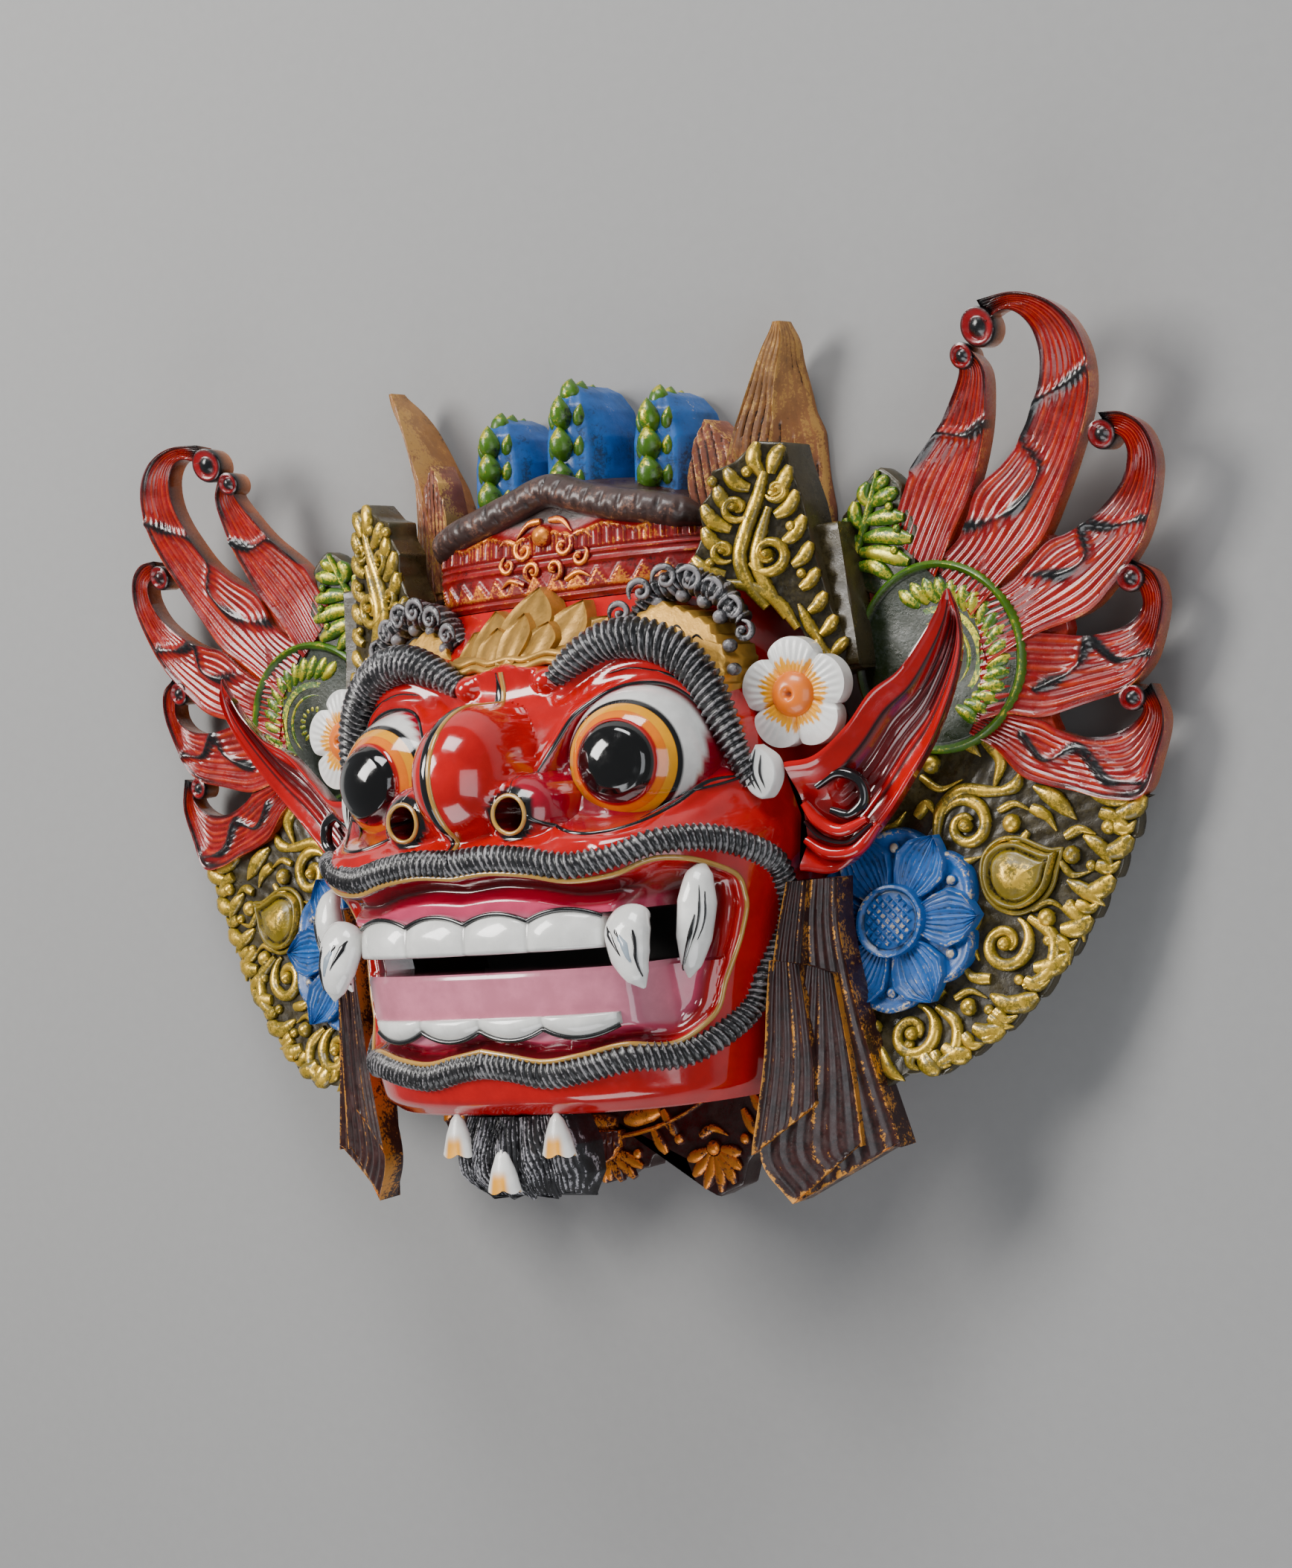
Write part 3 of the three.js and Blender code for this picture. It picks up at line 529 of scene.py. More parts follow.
def gilding(name):
    """Brushed gold paint over carved wood: soft metal with a dull skin, and the cuts darkened as painted shade."""
    material, shader, t = new_finish(name)
    patch = t["noise"](140, 5)
    # patchy tone, times painted shade that darkens the low places of the carving
    shade = t["combine"](
        "MULTIPLY", t["ramp"](patch, 0.3, 0.75, 0.82, 1.12), t["ramp"](t["rub_and_shade"], 0, 0.6, 0.55, 1)
    )
    t["wire"](t["blend"](1.0, t["tint"], shade, "MULTIPLY"), "Base Color")
    shader.inputs["Metallic"].default_value = 0.55
    t["wire"](t["ramp"](t["noise"](380), 0.3, 0.75, 0.34, 0.52), "Roughness")
    t["bump"]((patch, 0.35, 0.001), (t["noise"](700, 3), 0.3, 0.0003))
    return material


# ---- head block ------------------------------------------------------------------------
# Height up the face, half width at the back and depth at the middle.
HEAD = np.array(
    [
        [-131, 76, 98], [-127, 80, 106], [-112, 82, 109], [-98, 83.5, 110], [-76, 87, 112],
        [-52, 93, 117], [-42, 93, 116], [-36, 92, 104], [-20, 89, 95], [0, 85, 86],
        [8, 82, 78], [18, 78, 69], [30, 71, 57], [40, 64, 49],
    ],
    float,
)
CROWN = np.array(
    [[40.4, 64, 49], [52, 66, 50], [64, 65, 48], [70, 58, 46], [78, 42, 42], [82, 22, 38]], float
)
SQUARENESS = 3.0
BROW = [(20, 13, 77), (30, 19, 77), (42, 23.5, 76), (55, 23, 74), (66, 17.5, 71), (74, 8, 69),
        (79, -5, 67), (82, -18, 64), (84, -28, 61)]
UPPER_LID = [(21, -20), (27, -10), (33, 0), (42, 6.5), (52, 8.5), (63, 6.5), (71, 0), (76, -9),
             (80, -20), (84, -25)]
LOWER_LID = [(21, -20), (26, -29), (33, -35), (42, -38.5), (52, -39.5), (62, -37.5), (70, -32),
             (76, -26), (84, -25)]
LIP_BAND = [(0, -46), (15, -45), (30, -46.5), (45, -49), (58, -47), (71, -43.5), (82, -45),
            (88, -52), (87.5, -62), (84.5, -76), (80, -92), (76, -104), (66, -113), (52, -113),
            (38, -115.5), (24, -117), (12, -114.5), (0, -113)]
GOLD_LIP = [(0, -50.5), (15, -49.5), (30, -51), (45, -54), (58, -53), (70, -49), (78, -51),
            (83, -56), (83, -64), (80, -76), (75.5, -91), (71.5, -103), (64, -109.5),
            (52, -108.5), (38, -111), (24, -112.5), (12, -110.5), (0, -108.5)]


def stations(table, y, reach=0.0):
    """Half width and depth of a block at a height: straight lines between its stations,
    rounded at the corners by averaging over a short reach up and down."""
    steps = np.linspace(-reach, reach, 9) if reach else np.zeros(1)
    weight = np.cos(np.linspace(-1.2, 1.2, len(steps)))
    weight = weight / weight.sum()
    half = sum(w * np.interp(y + s, table[:, 0], table[:, 1]) for s, w in zip(steps, weight))
    depth = sum(w * np.interp(y + s, table[:, 0], table[:, 2]) for s, w in zip(steps, weight))
    return half, depth


def block_front(table, x, y, reach=0.0):
    """Front of a block of superelliptic section: (|x| / half)^3 + (z / depth)^3 = 1."""
    half, depth = stations(table, y, reach)
    side = np.minimum(np.abs(x) / half, 0.999) ** SQUARENESS
    return depth * (1 - side) ** (1 / SQUARENESS)


def head_front(x, y):
    return block_front(HEAD, x, y, 3.0)


def crown_front(x, y):
    return block_front(CROWN, x, y, 1.5)


def closed(line):
    """A half outline and its mirror image, as one closed ring."""
    return list(line) + [(-x, y) for x, y in line[::-1]]


def lip_depth(x, y):
    """Distance inside the gilt line that runs round the mouth."""
    outline = [tuple(p) for p in through(GOLD_LIP, 80)]
    return inside(np.abs(x), y, [(-60, -50.5)] + outline + [(-60, -108.5)])


def almond(x, y):
    """Distance inside the lids of the eye on this side."""
    upper = through(UPPER_LID, 40)
    lower = through(LOWER_LID, 40)
    return inside(np.abs(x), y, [tuple(p) for p in upper] + [tuple(p) for p in lower[::-1]])


def face_height(x, y):
    """Height of the carved face: the block's front, with the brow mound, the nose ball and
    the nostril balls blended over it, and the sockets, the mouth and the nostrils cut in."""
    sizes = bpy.context.scene.mask_face
    ax = np.abs(x)
    z = head_front(x, y)
    edge = [(-6, 19.5), (0, 19.5), (14, 17)] + [(px, py) for px, py, _ in BROW] + [(84, -60), (-6, -60)]
    mound = 77.2 - 0.131 * ax + 0.186 * y
    mound = mound + 1.5 * np.exp(-(((ax - 52) / 16) ** 2) - ((y - 14) / 5) ** 2)
    within = smooth(-3.0, 0.8, inside(ax, y, edge))
    lifted = soft_max(z, mound, 6)
    z = z + within * (lifted - z)
    # eye socket, lowered inside the lids
    lid = almond(x, y)
    z = z - 7.0 * smooth(0, 5, lid) + 1.3 * np.exp(-((lid + 1.2) / 1.7) ** 2)
    fold, _ = near_line(ax, y, through([(24, 6), (34, 13), (46, 17), (58, 16), (68, 10), (75, 0)], 30))
    z = z - 1.0 * np.exp(-((fold / 1.8) ** 2)) * (y > -4)
    # nose ball and nostril balls
    ball = 1 - (x / sizes.nose_half) ** 2 - ((y + 18) / 24.5) ** 2
    ball = np.where(ball > 0, 94 + 30 * np.sqrt(np.maximum(ball, 0)), -50)
    z = soft_max(z, ball, 7)
    flare = 1 - ((ax - 22.0) / 14.5) ** 2 - ((y + 31) / 12.8) ** 2
    flare = np.where(flare > 0, 99.5 + 13.8 * np.sqrt(np.maximum(flare, 0)), -50)
    z = soft_max(z, flare, 3.5)
    hole = np.hypot(ax - 22.5, y + 31)
    z = z - 12 * smooth(6.4, 4.2, hole)
    # small ball beside the brow
    knob = 1 - ((ax - 16.7) / 6) ** 2 - ((y - 12.4) / 5.2) ** 2
    knob = np.where(knob > 0, 74 + 8 * np.sqrt(np.maximum(knob, 0)), -50)
    z = soft_max(z, knob, 1.2)
    # cheek fold under the eye
    cheek, along = near_line(ax, y, through([(56, -44), (66, -40), (76, -36), (86, -31)], 24))
    z = z + 2.2 * np.exp(-((cheek / 3.4) ** 2)) * smooth(1.0, 0.7, along)
    # the mouth: a groove behind the lip, gums standing forward again, deep corners
    into = lip_depth(x, y)
    centre = smooth(62, 54, ax)
    upper = y > -84
    groove = 8.5 * smooth(0, 4.5, into) - centre * 6.0 * smooth(5, 9.5, into)
    low = 6.0 * smooth(0, 3.2, into) - centre * 4.0 * smooth(3.5, 6.5, into)
    corner = (1 - centre) * 7 * smooth(3, 10, into)
    z = z - np.where(upper, groove, low) - corner
    return z


def face_paint(x, y, z):
    """The painted colours of the face: scarlet, crimson sockets, black and dark red
    nostrils, and the lip's bands of maroon, crimson and pink; the maroon just inside the gilt
    lip line is partly painted shade under the lip, and the mouth corners darken as painted shade."""
    c = bpy.context.scene.mask_paints
    ax = np.abs(x)
    tint = np.broadcast_to(np.array(c.scarlet), x.shape + (3,))
    lid = almond(x, y)
    tint = mix(tint, tuple(c.crimson), smooth(0.5, 2.0, lid))
    hole = np.hypot(ax - 22.5, y + 31)
    tint = mix(tint, BLACK, smooth(9.4, 8.9, hole) * smooth(5.6, 6.1, hole))
    tint = mix(tint, (0.10, 0.002, 0.003), smooth(6.1, 5.6, hole))
    into = lip_depth(x, y)
    upper = y > -84
    wide = np.where(upper, into, into * 2.1)
    centre = smooth(66, 56, ax)
    # partly painted shade: the maroon just inside the gilt line is both the lip's dark paint and the shade under its
    # overhang
    maroon = mix(tuple(c.dark_red), tuple(c.crimson), smooth(5.2, 6.2, wide))
    gum = mix(tuple(c.pink), tuple(c.pale_pink), smooth(12, 15, wide))
    lips = mix(maroon, gum, smooth(8.2, 9.4, wide))
    # painted shade: the mouth corners darken towards the deep hollow behind the tusk
    corner = mix(tuple(c.scarlet), tuple(c.dark_red), smooth(2, 9, into))
    corner = mix(corner, tuple(c.pink), smooth(-78, -88, y) * smooth(5, 10, into))
    lips = mix(corner, lips, centre)
    tint = mix(tint, lips, smooth(-0.2, 0.5, into))
    return tint


def face_shell(carving):
    """The head block as one closed shell: an outer skin of superelliptic sections lifted to
    face_height, an inner skin 9 mm inside the cheeks and 27 mm behind the front, joined
    round the back and round the open mouth."""
    angle = np.linspace(0, np.pi, 40001)
    power = 2 / SQUARENESS
    sx = 88 * np.sign(np.cos(angle)) * np.abs(np.cos(angle)) ** power
    sz = 110 * np.sin(angle) ** power
    step = np.hypot(np.diff(sx), np.diff(sz))
    step = step * np.where(np.abs(sx[1:]) < 85, 1.0, 0.42)
    length = np.concatenate([[0], np.cumsum(step)])
    columns = np.interp(np.linspace(0, length[-1], 225), length, angle)
    rows = np.concatenate(
        [np.linspace(-131, -91, 45)[:-1], np.linspace(-91, -76, 19)[:-1], np.linspace(-76, 40, 137)]
    )

    def skin(angles, heights, side, front):
        half, depth = stations(HEAD, heights, 3.0)
        c = np.cos(angles)[None, :]
        x = (half - side)[:, None] * np.sign(c) * np.abs(c) ** power
        z = (depth - front)[:, None] * np.maximum(np.sin(angles), 0)[None, :] ** power
        return x, np.broadcast_to(heights[:, None], x.shape), z

    x, y, z = skin(columns, rows, 0, 0)
    half = stations(HEAD, rows, 3.0)[0][:, None]
    weight = smooth(0.985, 0.955, np.abs(x) / half)
    relief = face_height(x, y) - head_front(x, y)
    outer = np.stack([x, y, np.maximum(z + weight * relief, 0)], -1)
    tint = face_paint(x, y, outer[..., 2])
    inner_rows = np.interp(rows[::3], [-131, -91, -76, 40], [-117, -91, -76, 28])
    ix, iy, iz = skin(columns[::3], inner_rows, 9, 27)
    inner = np.stack([ix, iy, iz], -1)
    nv, nu = x.shape
    mv, mu = ix.shape
    near = np.abs(ix[mv // 3]) - 56
    left, right = (int(np.argmin(np.abs(ix[int(60 / 3)] - s))) for s in (56, -56))
    low, high = 54 // 3, 75 // 3
    # quads of both skins, without the mouth
    i, j = np.meshgrid(np.arange(nv - 1), np.arange(nu - 1), indexing="ij")
    open_outer = (i >= 3 * low) & (i < 3 * high) & (j >= 3 * left) & (j < 3 * right)
    i, j = i[~open_outer], j[~open_outer]
    a = i * nu + j
    quads = np.stack([a, a + 1, a + nu + 1, a + nu], -1)
    i, j = np.meshgrid(np.arange(mv - 1), np.arange(mu - 1), indexing="ij")
    open_inner = (i >= low) & (i < high) & (j >= left) & (j < right)
    i, j = i[~open_inner], j[~open_inner]
    base = nv * nu
    b = base + i * mu + j
    inner_quads = np.stack([b + mu, b + mu + 1, b + 1, b], -1)

    def outer_index(v, u):
        return 3 * v * nu + 3 * u

    def bridge(line):
        """Six-sided faces between three outer edges and one inner edge, along a line of
        inner grid places."""
        faces = []
        for (v, u), (p, q) in zip(line[:-1], line[1:]):
            dv, du = p - v, q - u
            start = outer_index(v, u)
            stride = dv * nu + du
            outer_points = [start + stride * k for k in range(4)]
            faces.append(outer_points + [base + p * mu + q, base + v * mu + u])
        return faces

    side_a = bridge([(v, 0) for v in range(mv)])
    side_b = bridge([(v, mu - 1) for v in range(mv - 1, -1, -1)])
    mouth = (
        bridge([(low, u) for u in range(left, right + 1)][::-1])
        + bridge([(v, right) for v in range(low, high + 1)][::-1])
        + bridge([(high, u) for u in range(left, right + 1)])
        + bridge([(v, left) for v in range(low, high + 1)])
    )
    top = (nv - 1) * nu
    inner_top = base + (mv - 1) * mu
    caps = [
        np.arange(nu)[None, ::-1],
        (top + np.arange(nu))[None],
        (base + np.arange(mu))[None],
        (inner_top + np.arange(mu))[None, ::-1],
        np.array([[0, nu - 1, base + mu - 1, base]]),
        np.array([[top + nu - 1, top, inner_top, inner_top + mu - 1]]),
    ]
    # bridges must turn the same way as the skins they join
    faces = [quads, inner_quads, np.array(side_a)[:, ::-1], np.array(side_b)[:, ::-1],
             np.array(mouth)] + caps
    points = np.concatenate([outer.reshape(-1, 3), inner.reshape(-1, 3)])
    dark = np.broadcast_to(np.array([0.10, 0.035, 0.015]), inner.shape)
    # painted shade: the inner walls beside the mouth darken nearly to black, where the hollow head is in shade
    mouth_side_shade = smooth(20, 0, np.hypot(np.maximum(np.abs(ix) - 60, 0), np.maximum(np.abs(iy + 84) - 8, 0)))
    dark = mix(dark, (0.03, 0.008, 0.006), mouth_side_shade)
    tints = np.concatenate([tint.reshape(-1, 3), dark.reshape(-1, 3)])
    carving.take(points, faces, tints, np.full(len(points), 0.6))


def check_closed(mesh_faces):
    """Returns the faces as they are: it does not test that every edge of a closed mesh is used once each way."""
    return mesh_faces


# ---- eyes, lines and teeth -----------------------------------------------------------------
def eye(carving):
    """A bulging eye, turned a little outward: an ellipsoid with a flat pupil dome; its
    painted rings follow the distance from the pupil."""
    c = bpy.context.scene.mask_paints
    cx, cy, back, rx, ry, rz = 48.6, -17.0, 66.0, 27.0, 26.0, 30.0
    marks = (13.9, 14.9, 17.4, 19.7, 20.9)
    radii = np.unique(np.concatenate([np.linspace(0.3, 26.6, 36)] + [[m - 0.12, m + 0.12] for m in marks]))
    turn = 2 * np.pi * np.arange(100) / 100
    r = radii[:, None]
    x = r * np.cos(turn)
    y = r * np.sin(turn) * ry / rx
    z = back + rz * np.sqrt(np.maximum(1 - (r / rx) ** 2, 0)) + 0 * x
    z = z + 2.6 * np.maximum(1 - (r / 14.1) ** 4, 0) ** 0.5 + 0.35 * np.exp(-(((r - 11.6) / 0.9) ** 2))
    outward = np.radians(9)
    rise = z - back
    x, z = x * np.cos(outward) + rise * np.sin(outward), back + rise * np.cos(outward) - x * np.sin(outward)
    rings = np.stack([cx + x, cy + y, z], -1)[::-1]
    last = rings[0] * np.array([1, 1, 0]) + np.array([0, 0, back - 12])
    rings = np.concatenate([last[None], rings])
    d = np.concatenate([[27.0], radii[::-1]])[:, None] + 0 * x[:1]
    px, py = d * np.cos(turn), d * np.sin(turn)
    tint = np.broadcast_to(np.array(c.crimson), rings.shape)
    offset = np.hypot(px - 2.4, py - 2.6)
    tint = mix(tint, WHITE, smooth(23.2, 22.7, offset) * smooth(20.4, 20.8, d))
    tint = mix(tint, BLACK, smooth(21.2, 20.9, d) * smooth(19.6, 19.8, d))
    tint = mix(tint, tuple(c.yellow), smooth(19.8, 19.6, d) * smooth(17.2, 17.5, d))
    tint = mix(tint, (0.84, 0.20, 0.002), smooth(17.5, 17.2, d) * smooth(14.8, 15.1, d))
    tint = mix(tint, (0.42, 0.006, 0.004), smooth(15.1, 14.8, d))
    tint = mix(tint, (0.003, 0.003, 0.003), smooth(14.05, 13.8, d))
    carving.loft(rings, tint, 0.7)


def painted_line(carving, points, width, height, tint, surface, taper=True, count=84, sink=0.3):
    """A narrow raised line of paint that follows a carved surface."""
    line = through(points, count)
    x, y = line[:, 0], line[:, 1]
    z = surface(x, y)
    t = np.linspace(0, 1, count)
    size = np.minimum(1, 6 * np.minimum(t, 1 - t) + 0.25) if taper else np.ones(count)
    path = np.column_stack([x, y, z - height * sink])
    carving.loft(tube(path, width * size, height * size, 10), tint, 0.7)


def face_lines(carving):
    """Black lids and folds, nostril rings and the gilt lip line."""
    lines = [
        (UPPER_LID, 0.85), (LOWER_LID, 0.85),
        ([(58, 12.5), (66, 8), (73, -2), (78, -12)], 0.5),
        ([(40, 12.5), (50, 13.6), (60, 11.6)], 0.35),
        ([(60, -36), (70, -29.5), (79, -27), (86, -24)], 0.5),
    ]
    for points, width in lines:
        painted_line(carving, points, width, 0.6, BLACK, face_height)
    for r, width, tint in ((6.3, 0.75, GOLD),):
        turn = np.linspace(0, 2 * np.pi, 49)[:-1]
        x, y = 22.5 + r * np.cos(turn), -31 + r * np.sin(turn)
        z = face_height(x, y)
        path = np.column_stack([x, y, z + 0.2])
        loop_tube(carving, path, width, tint)
    half = through([(x, y) for x, y in GOLD_LIP], 260)
    z = head_front(half[:, 0], half[:, 1])
    path = np.column_stack([half, z - 0.2])
    carving.loft(tube(path, 0.95, 0.9, 10), GOLD, 0.8)


def loop_tube(carving, path, radius, tint, sides=8):
    """A closed ring of round section along a closed path."""
    n = len(path)
    along = np.roll(path, -1, 0) - np.roll(path, 1, 0)
    along /= np.linalg.norm(along, axis=1, keepdims=True)
    out = np.array([0, 0, 1.0])
    across = np.cross(out, along)
    across /= np.linalg.norm(across, axis=1, keepdims=True)
    up = np.cross(along, across)
    angle = 2 * np.pi * np.arange(sides) / sides
    rings = (
        path[:, None]
        + radius * np.cos(angle)[None, :, None] * across[:, None]
        + radius * np.sin(angle)[None, :, None] * up[:, None]
    )
    i = np.arange(n)[:, None]
    j = np.arange(sides)[None, :]
    a = i * sides + j
    b = i * sides + (j + 1) % sides
    c = ((i + 1) % n) * sides + (j + 1) % sides
    d = ((i + 1) % n) * sides + j
    quads = np.stack([a, b, c, d], -1).reshape(-1, 4)
    points = rings.reshape(-1, 3)
    p, q, r = points[quads[:, 0]], points[quads[:, 1]], points[quads[:, 2]]
    if np.einsum("ij,ij->", p, np.cross(q, r)) < 0:
        quads = quads[:, ::-1]
    carving.take(points, [quads], tint, 0.7)


def nose_line(carving):
    """The gilt line down the nose with its black shadow on one side."""
    y = np.linspace(17, -42.5, 120)
    z = face_height(np.zeros_like(y), y)
    path = np.column_stack([np.zeros_like(y), y, z - 0.1])
    carving.loft(tube(path, 1.0, 0.7, 10), GOLD, 0.8)
    size = 0.3 + 1.5 * smooth(17, 8, y) * smooth(-43, -36, y)
    path = np.column_stack([-2.2 + 0 * y, y, face_height(-2.2 + 0 * y, y) - 0.25])
    carving.loft(tube(path, size, 0.6, 10), BLACK, 0.7)


def strands(carving, path, width, height, pitch, lean, facing=None, sides=20, depth=0.15,
            black=(0.012, 0.012, 0.014), step=0.56):
    """A bar of carved hair: slanting ridges wind over an elliptical bar, each ridge the
    positive part of a sine of the distance along it plus a lean round it."""
    length = np.linalg.norm(np.diff(path, axis=0), axis=1).sum()
    count = int(length / step)
    line = through(path, count)
    w = np.interp(np.linspace(0, 1, count), np.linspace(0, 1, len(width)), width)
    h = np.interp(np.linspace(0, 1, count), np.linspace(0, 1, len(height)), height)
    angle = 2 * np.pi * np.arange(sides) / sides
    s = np.linspace(0, length, count)[:, None]
    phase = 2 * np.pi * s / pitch + lean * np.cos(angle)[None, :] + 0.9 * np.sin(0.21 * s)
    ridge = np.sin(phase)
    swell = 1 + depth * ridge
    rings = tube(line, w, h, sides, facing, swell)
    rub_and_shade = 0.5 + 0.5 * ridge * (0.35 + 0.65 * (np.sin(angle)[None, :] > -0.3))
    carving.loft(rings, black, np.clip(rub_and_shade, 0, 1))


def hair_bands(carving):
    """The hatched moustache round the mouth and the brow ridges."""
    band = through(LIP_BAND, 60)
    z = head_front(band[:, 0], band[:, 1])
    path = np.column_stack([band, z - 0.6])
    path[0, 0] = path[-1, 0] = -0.6
    strands(carving, path, [4.3, 4.0, 4.6, 4.4, 4.2], [3.6, 3.6, 3.9, 3.6, 3.6],
            bpy.context.scene.mask_face.strand_pitch, 3.3)
    brow = np.array(BROW, float)
    strands(carving, brow, [3.6, 5.4, 6.2, 6.4, 6.2, 5.6, 4.6, 3.2], [3.8, 5.4, 5.8, 5.8, 5.4, 5, 4, 3],
            1.08 * bpy.context.scene.mask_face.strand_pitch, 3.0)


def tooth_grid(edge, root, half, count, reach, thick, arch, steps=150, across=16):
    """One row of teeth as a closed loft along x: every tooth swells forward and its gum edge
    arches, both by one minus the fourth power of the distance from its middle."""
    x = np.linspace(-half, half, steps)
    part = (x + half) / (2 * half) * count
    t = np.abs(2 * (part - np.floor(part)) - 1)
    swell = 1 - np.minimum(t, 1) ** 3.0
    top = root + np.sign(root - edge) * arch * (1 - np.minimum(t, 1) ** 2)
    s = np.linspace(0, 1, across)[None, :]
    y = edge + (top[:, None] - edge) * s
    bulge = np.sin(np.pi * np.clip(0.16 + 0.84 * s, 0, 1)) ** 0.6
    z = head_front(x[:, None], edge + 0 * y) + reach + 2.0 * swell[:, None] * bulge - 1.6 * s**3
    z[:, 0] -= 0.9
    front = np.stack([np.broadcast_to(x[:, None], y.shape), y, z], -1)
    back = front[:, [-1, 0]].copy()
    back[..., 2] -= thick
    rings = np.concatenate([front, back], axis=1)
    # painted shade: the white greys in the creases between the teeth and along the biting edge
    groove = smooth(0.9, 1.0, t)[:, None]
    shade = np.ones((steps, across + 2))
    shade[:, :across] = 1 - 0.35 * groove - 0.25 * smooth(0.12, 0.0, s)
    return rings, shade, x, top


def teeth(carving):
    """Two rows of teeth with black gum lines, and the fangs and tusks."""
    for edge, root, reach, thick, arch, half in (
        (-76.3, -66.4, 1.4, 11, 3.0, 51), (-97.6, -101.5, -0.3, 9, 3.4, 51),
    ):
        rings, shade, x, top = tooth_grid(edge, root, half, 4, reach, thick, arch)
        # the teeth carry the painted shade made in tooth_grid
        carving.loft(rings, np.array(WHITE) * shade[..., None], 0.8)
        z = head_front(x, edge + 0 * x) + reach - 0.9
        y = top + np.sign(root - edge) * 0.35
        path = np.column_stack([x, y, z])
        carving.loft(tube(path, 0.8, 0.8, 8), BLACK, 0.6)
    fang = through([(59.5, -66, 99), (60, -68.5, 103), (61, -75, 105.5), (63, -83, 106.5), (65.5, -90, 105)], 60)
    w = np.interp(np.linspace(0, 1, 60), [0, 0.08, 0.3, 0.6, 0.85, 1], [3.5, 7.6, 8.6, 7.4, 4.4, 0.6])
    for side in (1, -1):
        path = fang * np.array([side, 1, 1])
        carving.loft(tube(path, w, w * 0.62, 28), WHITE, 0.8)
        for points, width in (
            ([(-5.2, -69.5), (-3.4, -73), (-0.6, -79)], 1.3), ([(4.6, -69.5), (4.8, -76), (3.2, -86)], 1.25),
            ([(-3.4, -68.5), (-1.6, -70.5), (0, -73)], 1.6),
        ):
            mark = through(points, 30)
            centre = np.interp(mark[:, 1], fang[::-1, 1], fang[::-1, 0])
            depth = np.interp(mark[:, 1], fang[::-1, 1], fang[::-1, 2])
            halfw = np.interp(mark[:, 1], fang[::-1, 1], w[::-1])
            up = 0.62 * halfw * np.sqrt(np.maximum(1 - (mark[:, 0] / halfw) ** 2, 0))
            size = np.interp(np.linspace(0, 1, 30), [0, 0.25, 1], [0.4, 1, 0.12]) * width
            p = np.column_stack([side * (centre + mark[:, 0]), mark[:, 1], depth + up - 0.15])
            carving.loft(tube(p, size, 0.4, 8), BLACK, 0.6)
        grey = np.array([(0, -72.5, 0), (1.2, -76, 0), (2.2, -81, 0)], float)
        g = through(grey, 24)
        centre = np.interp(g[:, 1], fang[::-1, 1], fang[::-1, 0])
        depth = np.interp(g[:, 1], fang[::-1, 1], fang[::-1, 2])
        halfw = np.interp(g[:, 1], fang[::-1, 1], w[::-1])
        up = 0.62 * halfw * np.sqrt(np.maximum(1 - (g[:, 0] / halfw) ** 2, 0))
        size = np.interp(np.linspace(0, 1, 24), [0, 0.4, 1], [0.9, 1.9, 0.4])
        p = np.column_stack([side * (centre + g[:, 0]), g[:, 1], depth + up - 0.22])
        carving.loft(tube(p, size, 0.4, 8), (0.28, 0.34, 0.40), 0.6)
        # the gum line that arches over the fang
        arch = through([(-8.6, -73.5), (-7, -69), (-2, -66.4), (3, -66.6), (6.8, -69.6)], 40)
        p = np.column_stack([side * (60.2 + arch[:, 0]), arch[:, 1], 104.5 - 0.06 * arch[:, 0] ** 2])
        carving.loft(tube(p, 0.7, 0.8, 8), BLACK, 0.6)
    tusk = through([(77.5, -52, 84), (78.5, -57, 88), (78, -67, 90), (75.5, -78, 90), (71.5, -88.5, 88)], 60)
    w = np.interp(np.linspace(0, 1, 60), [0, 0.12, 0.35, 0.65, 0.88, 1], [1.4, 4.6, 6.6, 6.0, 3.6, 0.6])
    for side in (1, -1):
        path = tusk * np.array([side, 1, 1])
        facing = np.array([side * 0.35, 0, 0.94])
        carving.loft(tube(path, w, w * 0.7, 28, facing), WHITE, 0.8)
        for points, width in (
            ([(1.2, -58), (1.6, -70), (-1.6, -84)], 0.55), ([(3.2, -61), (3.6, -70), (1.0, -80)], 0.5),
            ([(0.4, -68), (-1.0, -76), (-2.6, -86)], 0.9),
        ):
            mark = through(points, 30)
            centre = np.interp(mark[:, 1], tusk[::-1, 1], tusk[::-1, 0])
            depth = np.interp(mark[:, 1], tusk[::-1, 1], tusk[::-1, 2])
            halfw = np.interp(mark[:, 1], tusk[::-1, 1], w[::-1])
            off = np.clip(mark[:, 0] / halfw, -0.95, 0.95)
            up = 0.7 * halfw * np.sqrt(1 - off**2)
            nx, nz = 0.35, 0.94
            p = np.column_stack(
                [side * (centre + off * halfw * nz + up * nx), mark[:, 1],
                 depth - off * halfw * nx + up * nz - 0.15]
            )
            size = width * np.interp(np.linspace(0, 1, 30), [0, 0.3, 1], [0.3, 1, 0.2])
            carving.loft(tube(p, size, 0.4, 8), BLACK, 0.6)


# ---- forehead dress ----------------------------------------------------------------------
def diadem_lean(x, y):
    return 75 - 0.8 * (y - 17) - x * x / 160


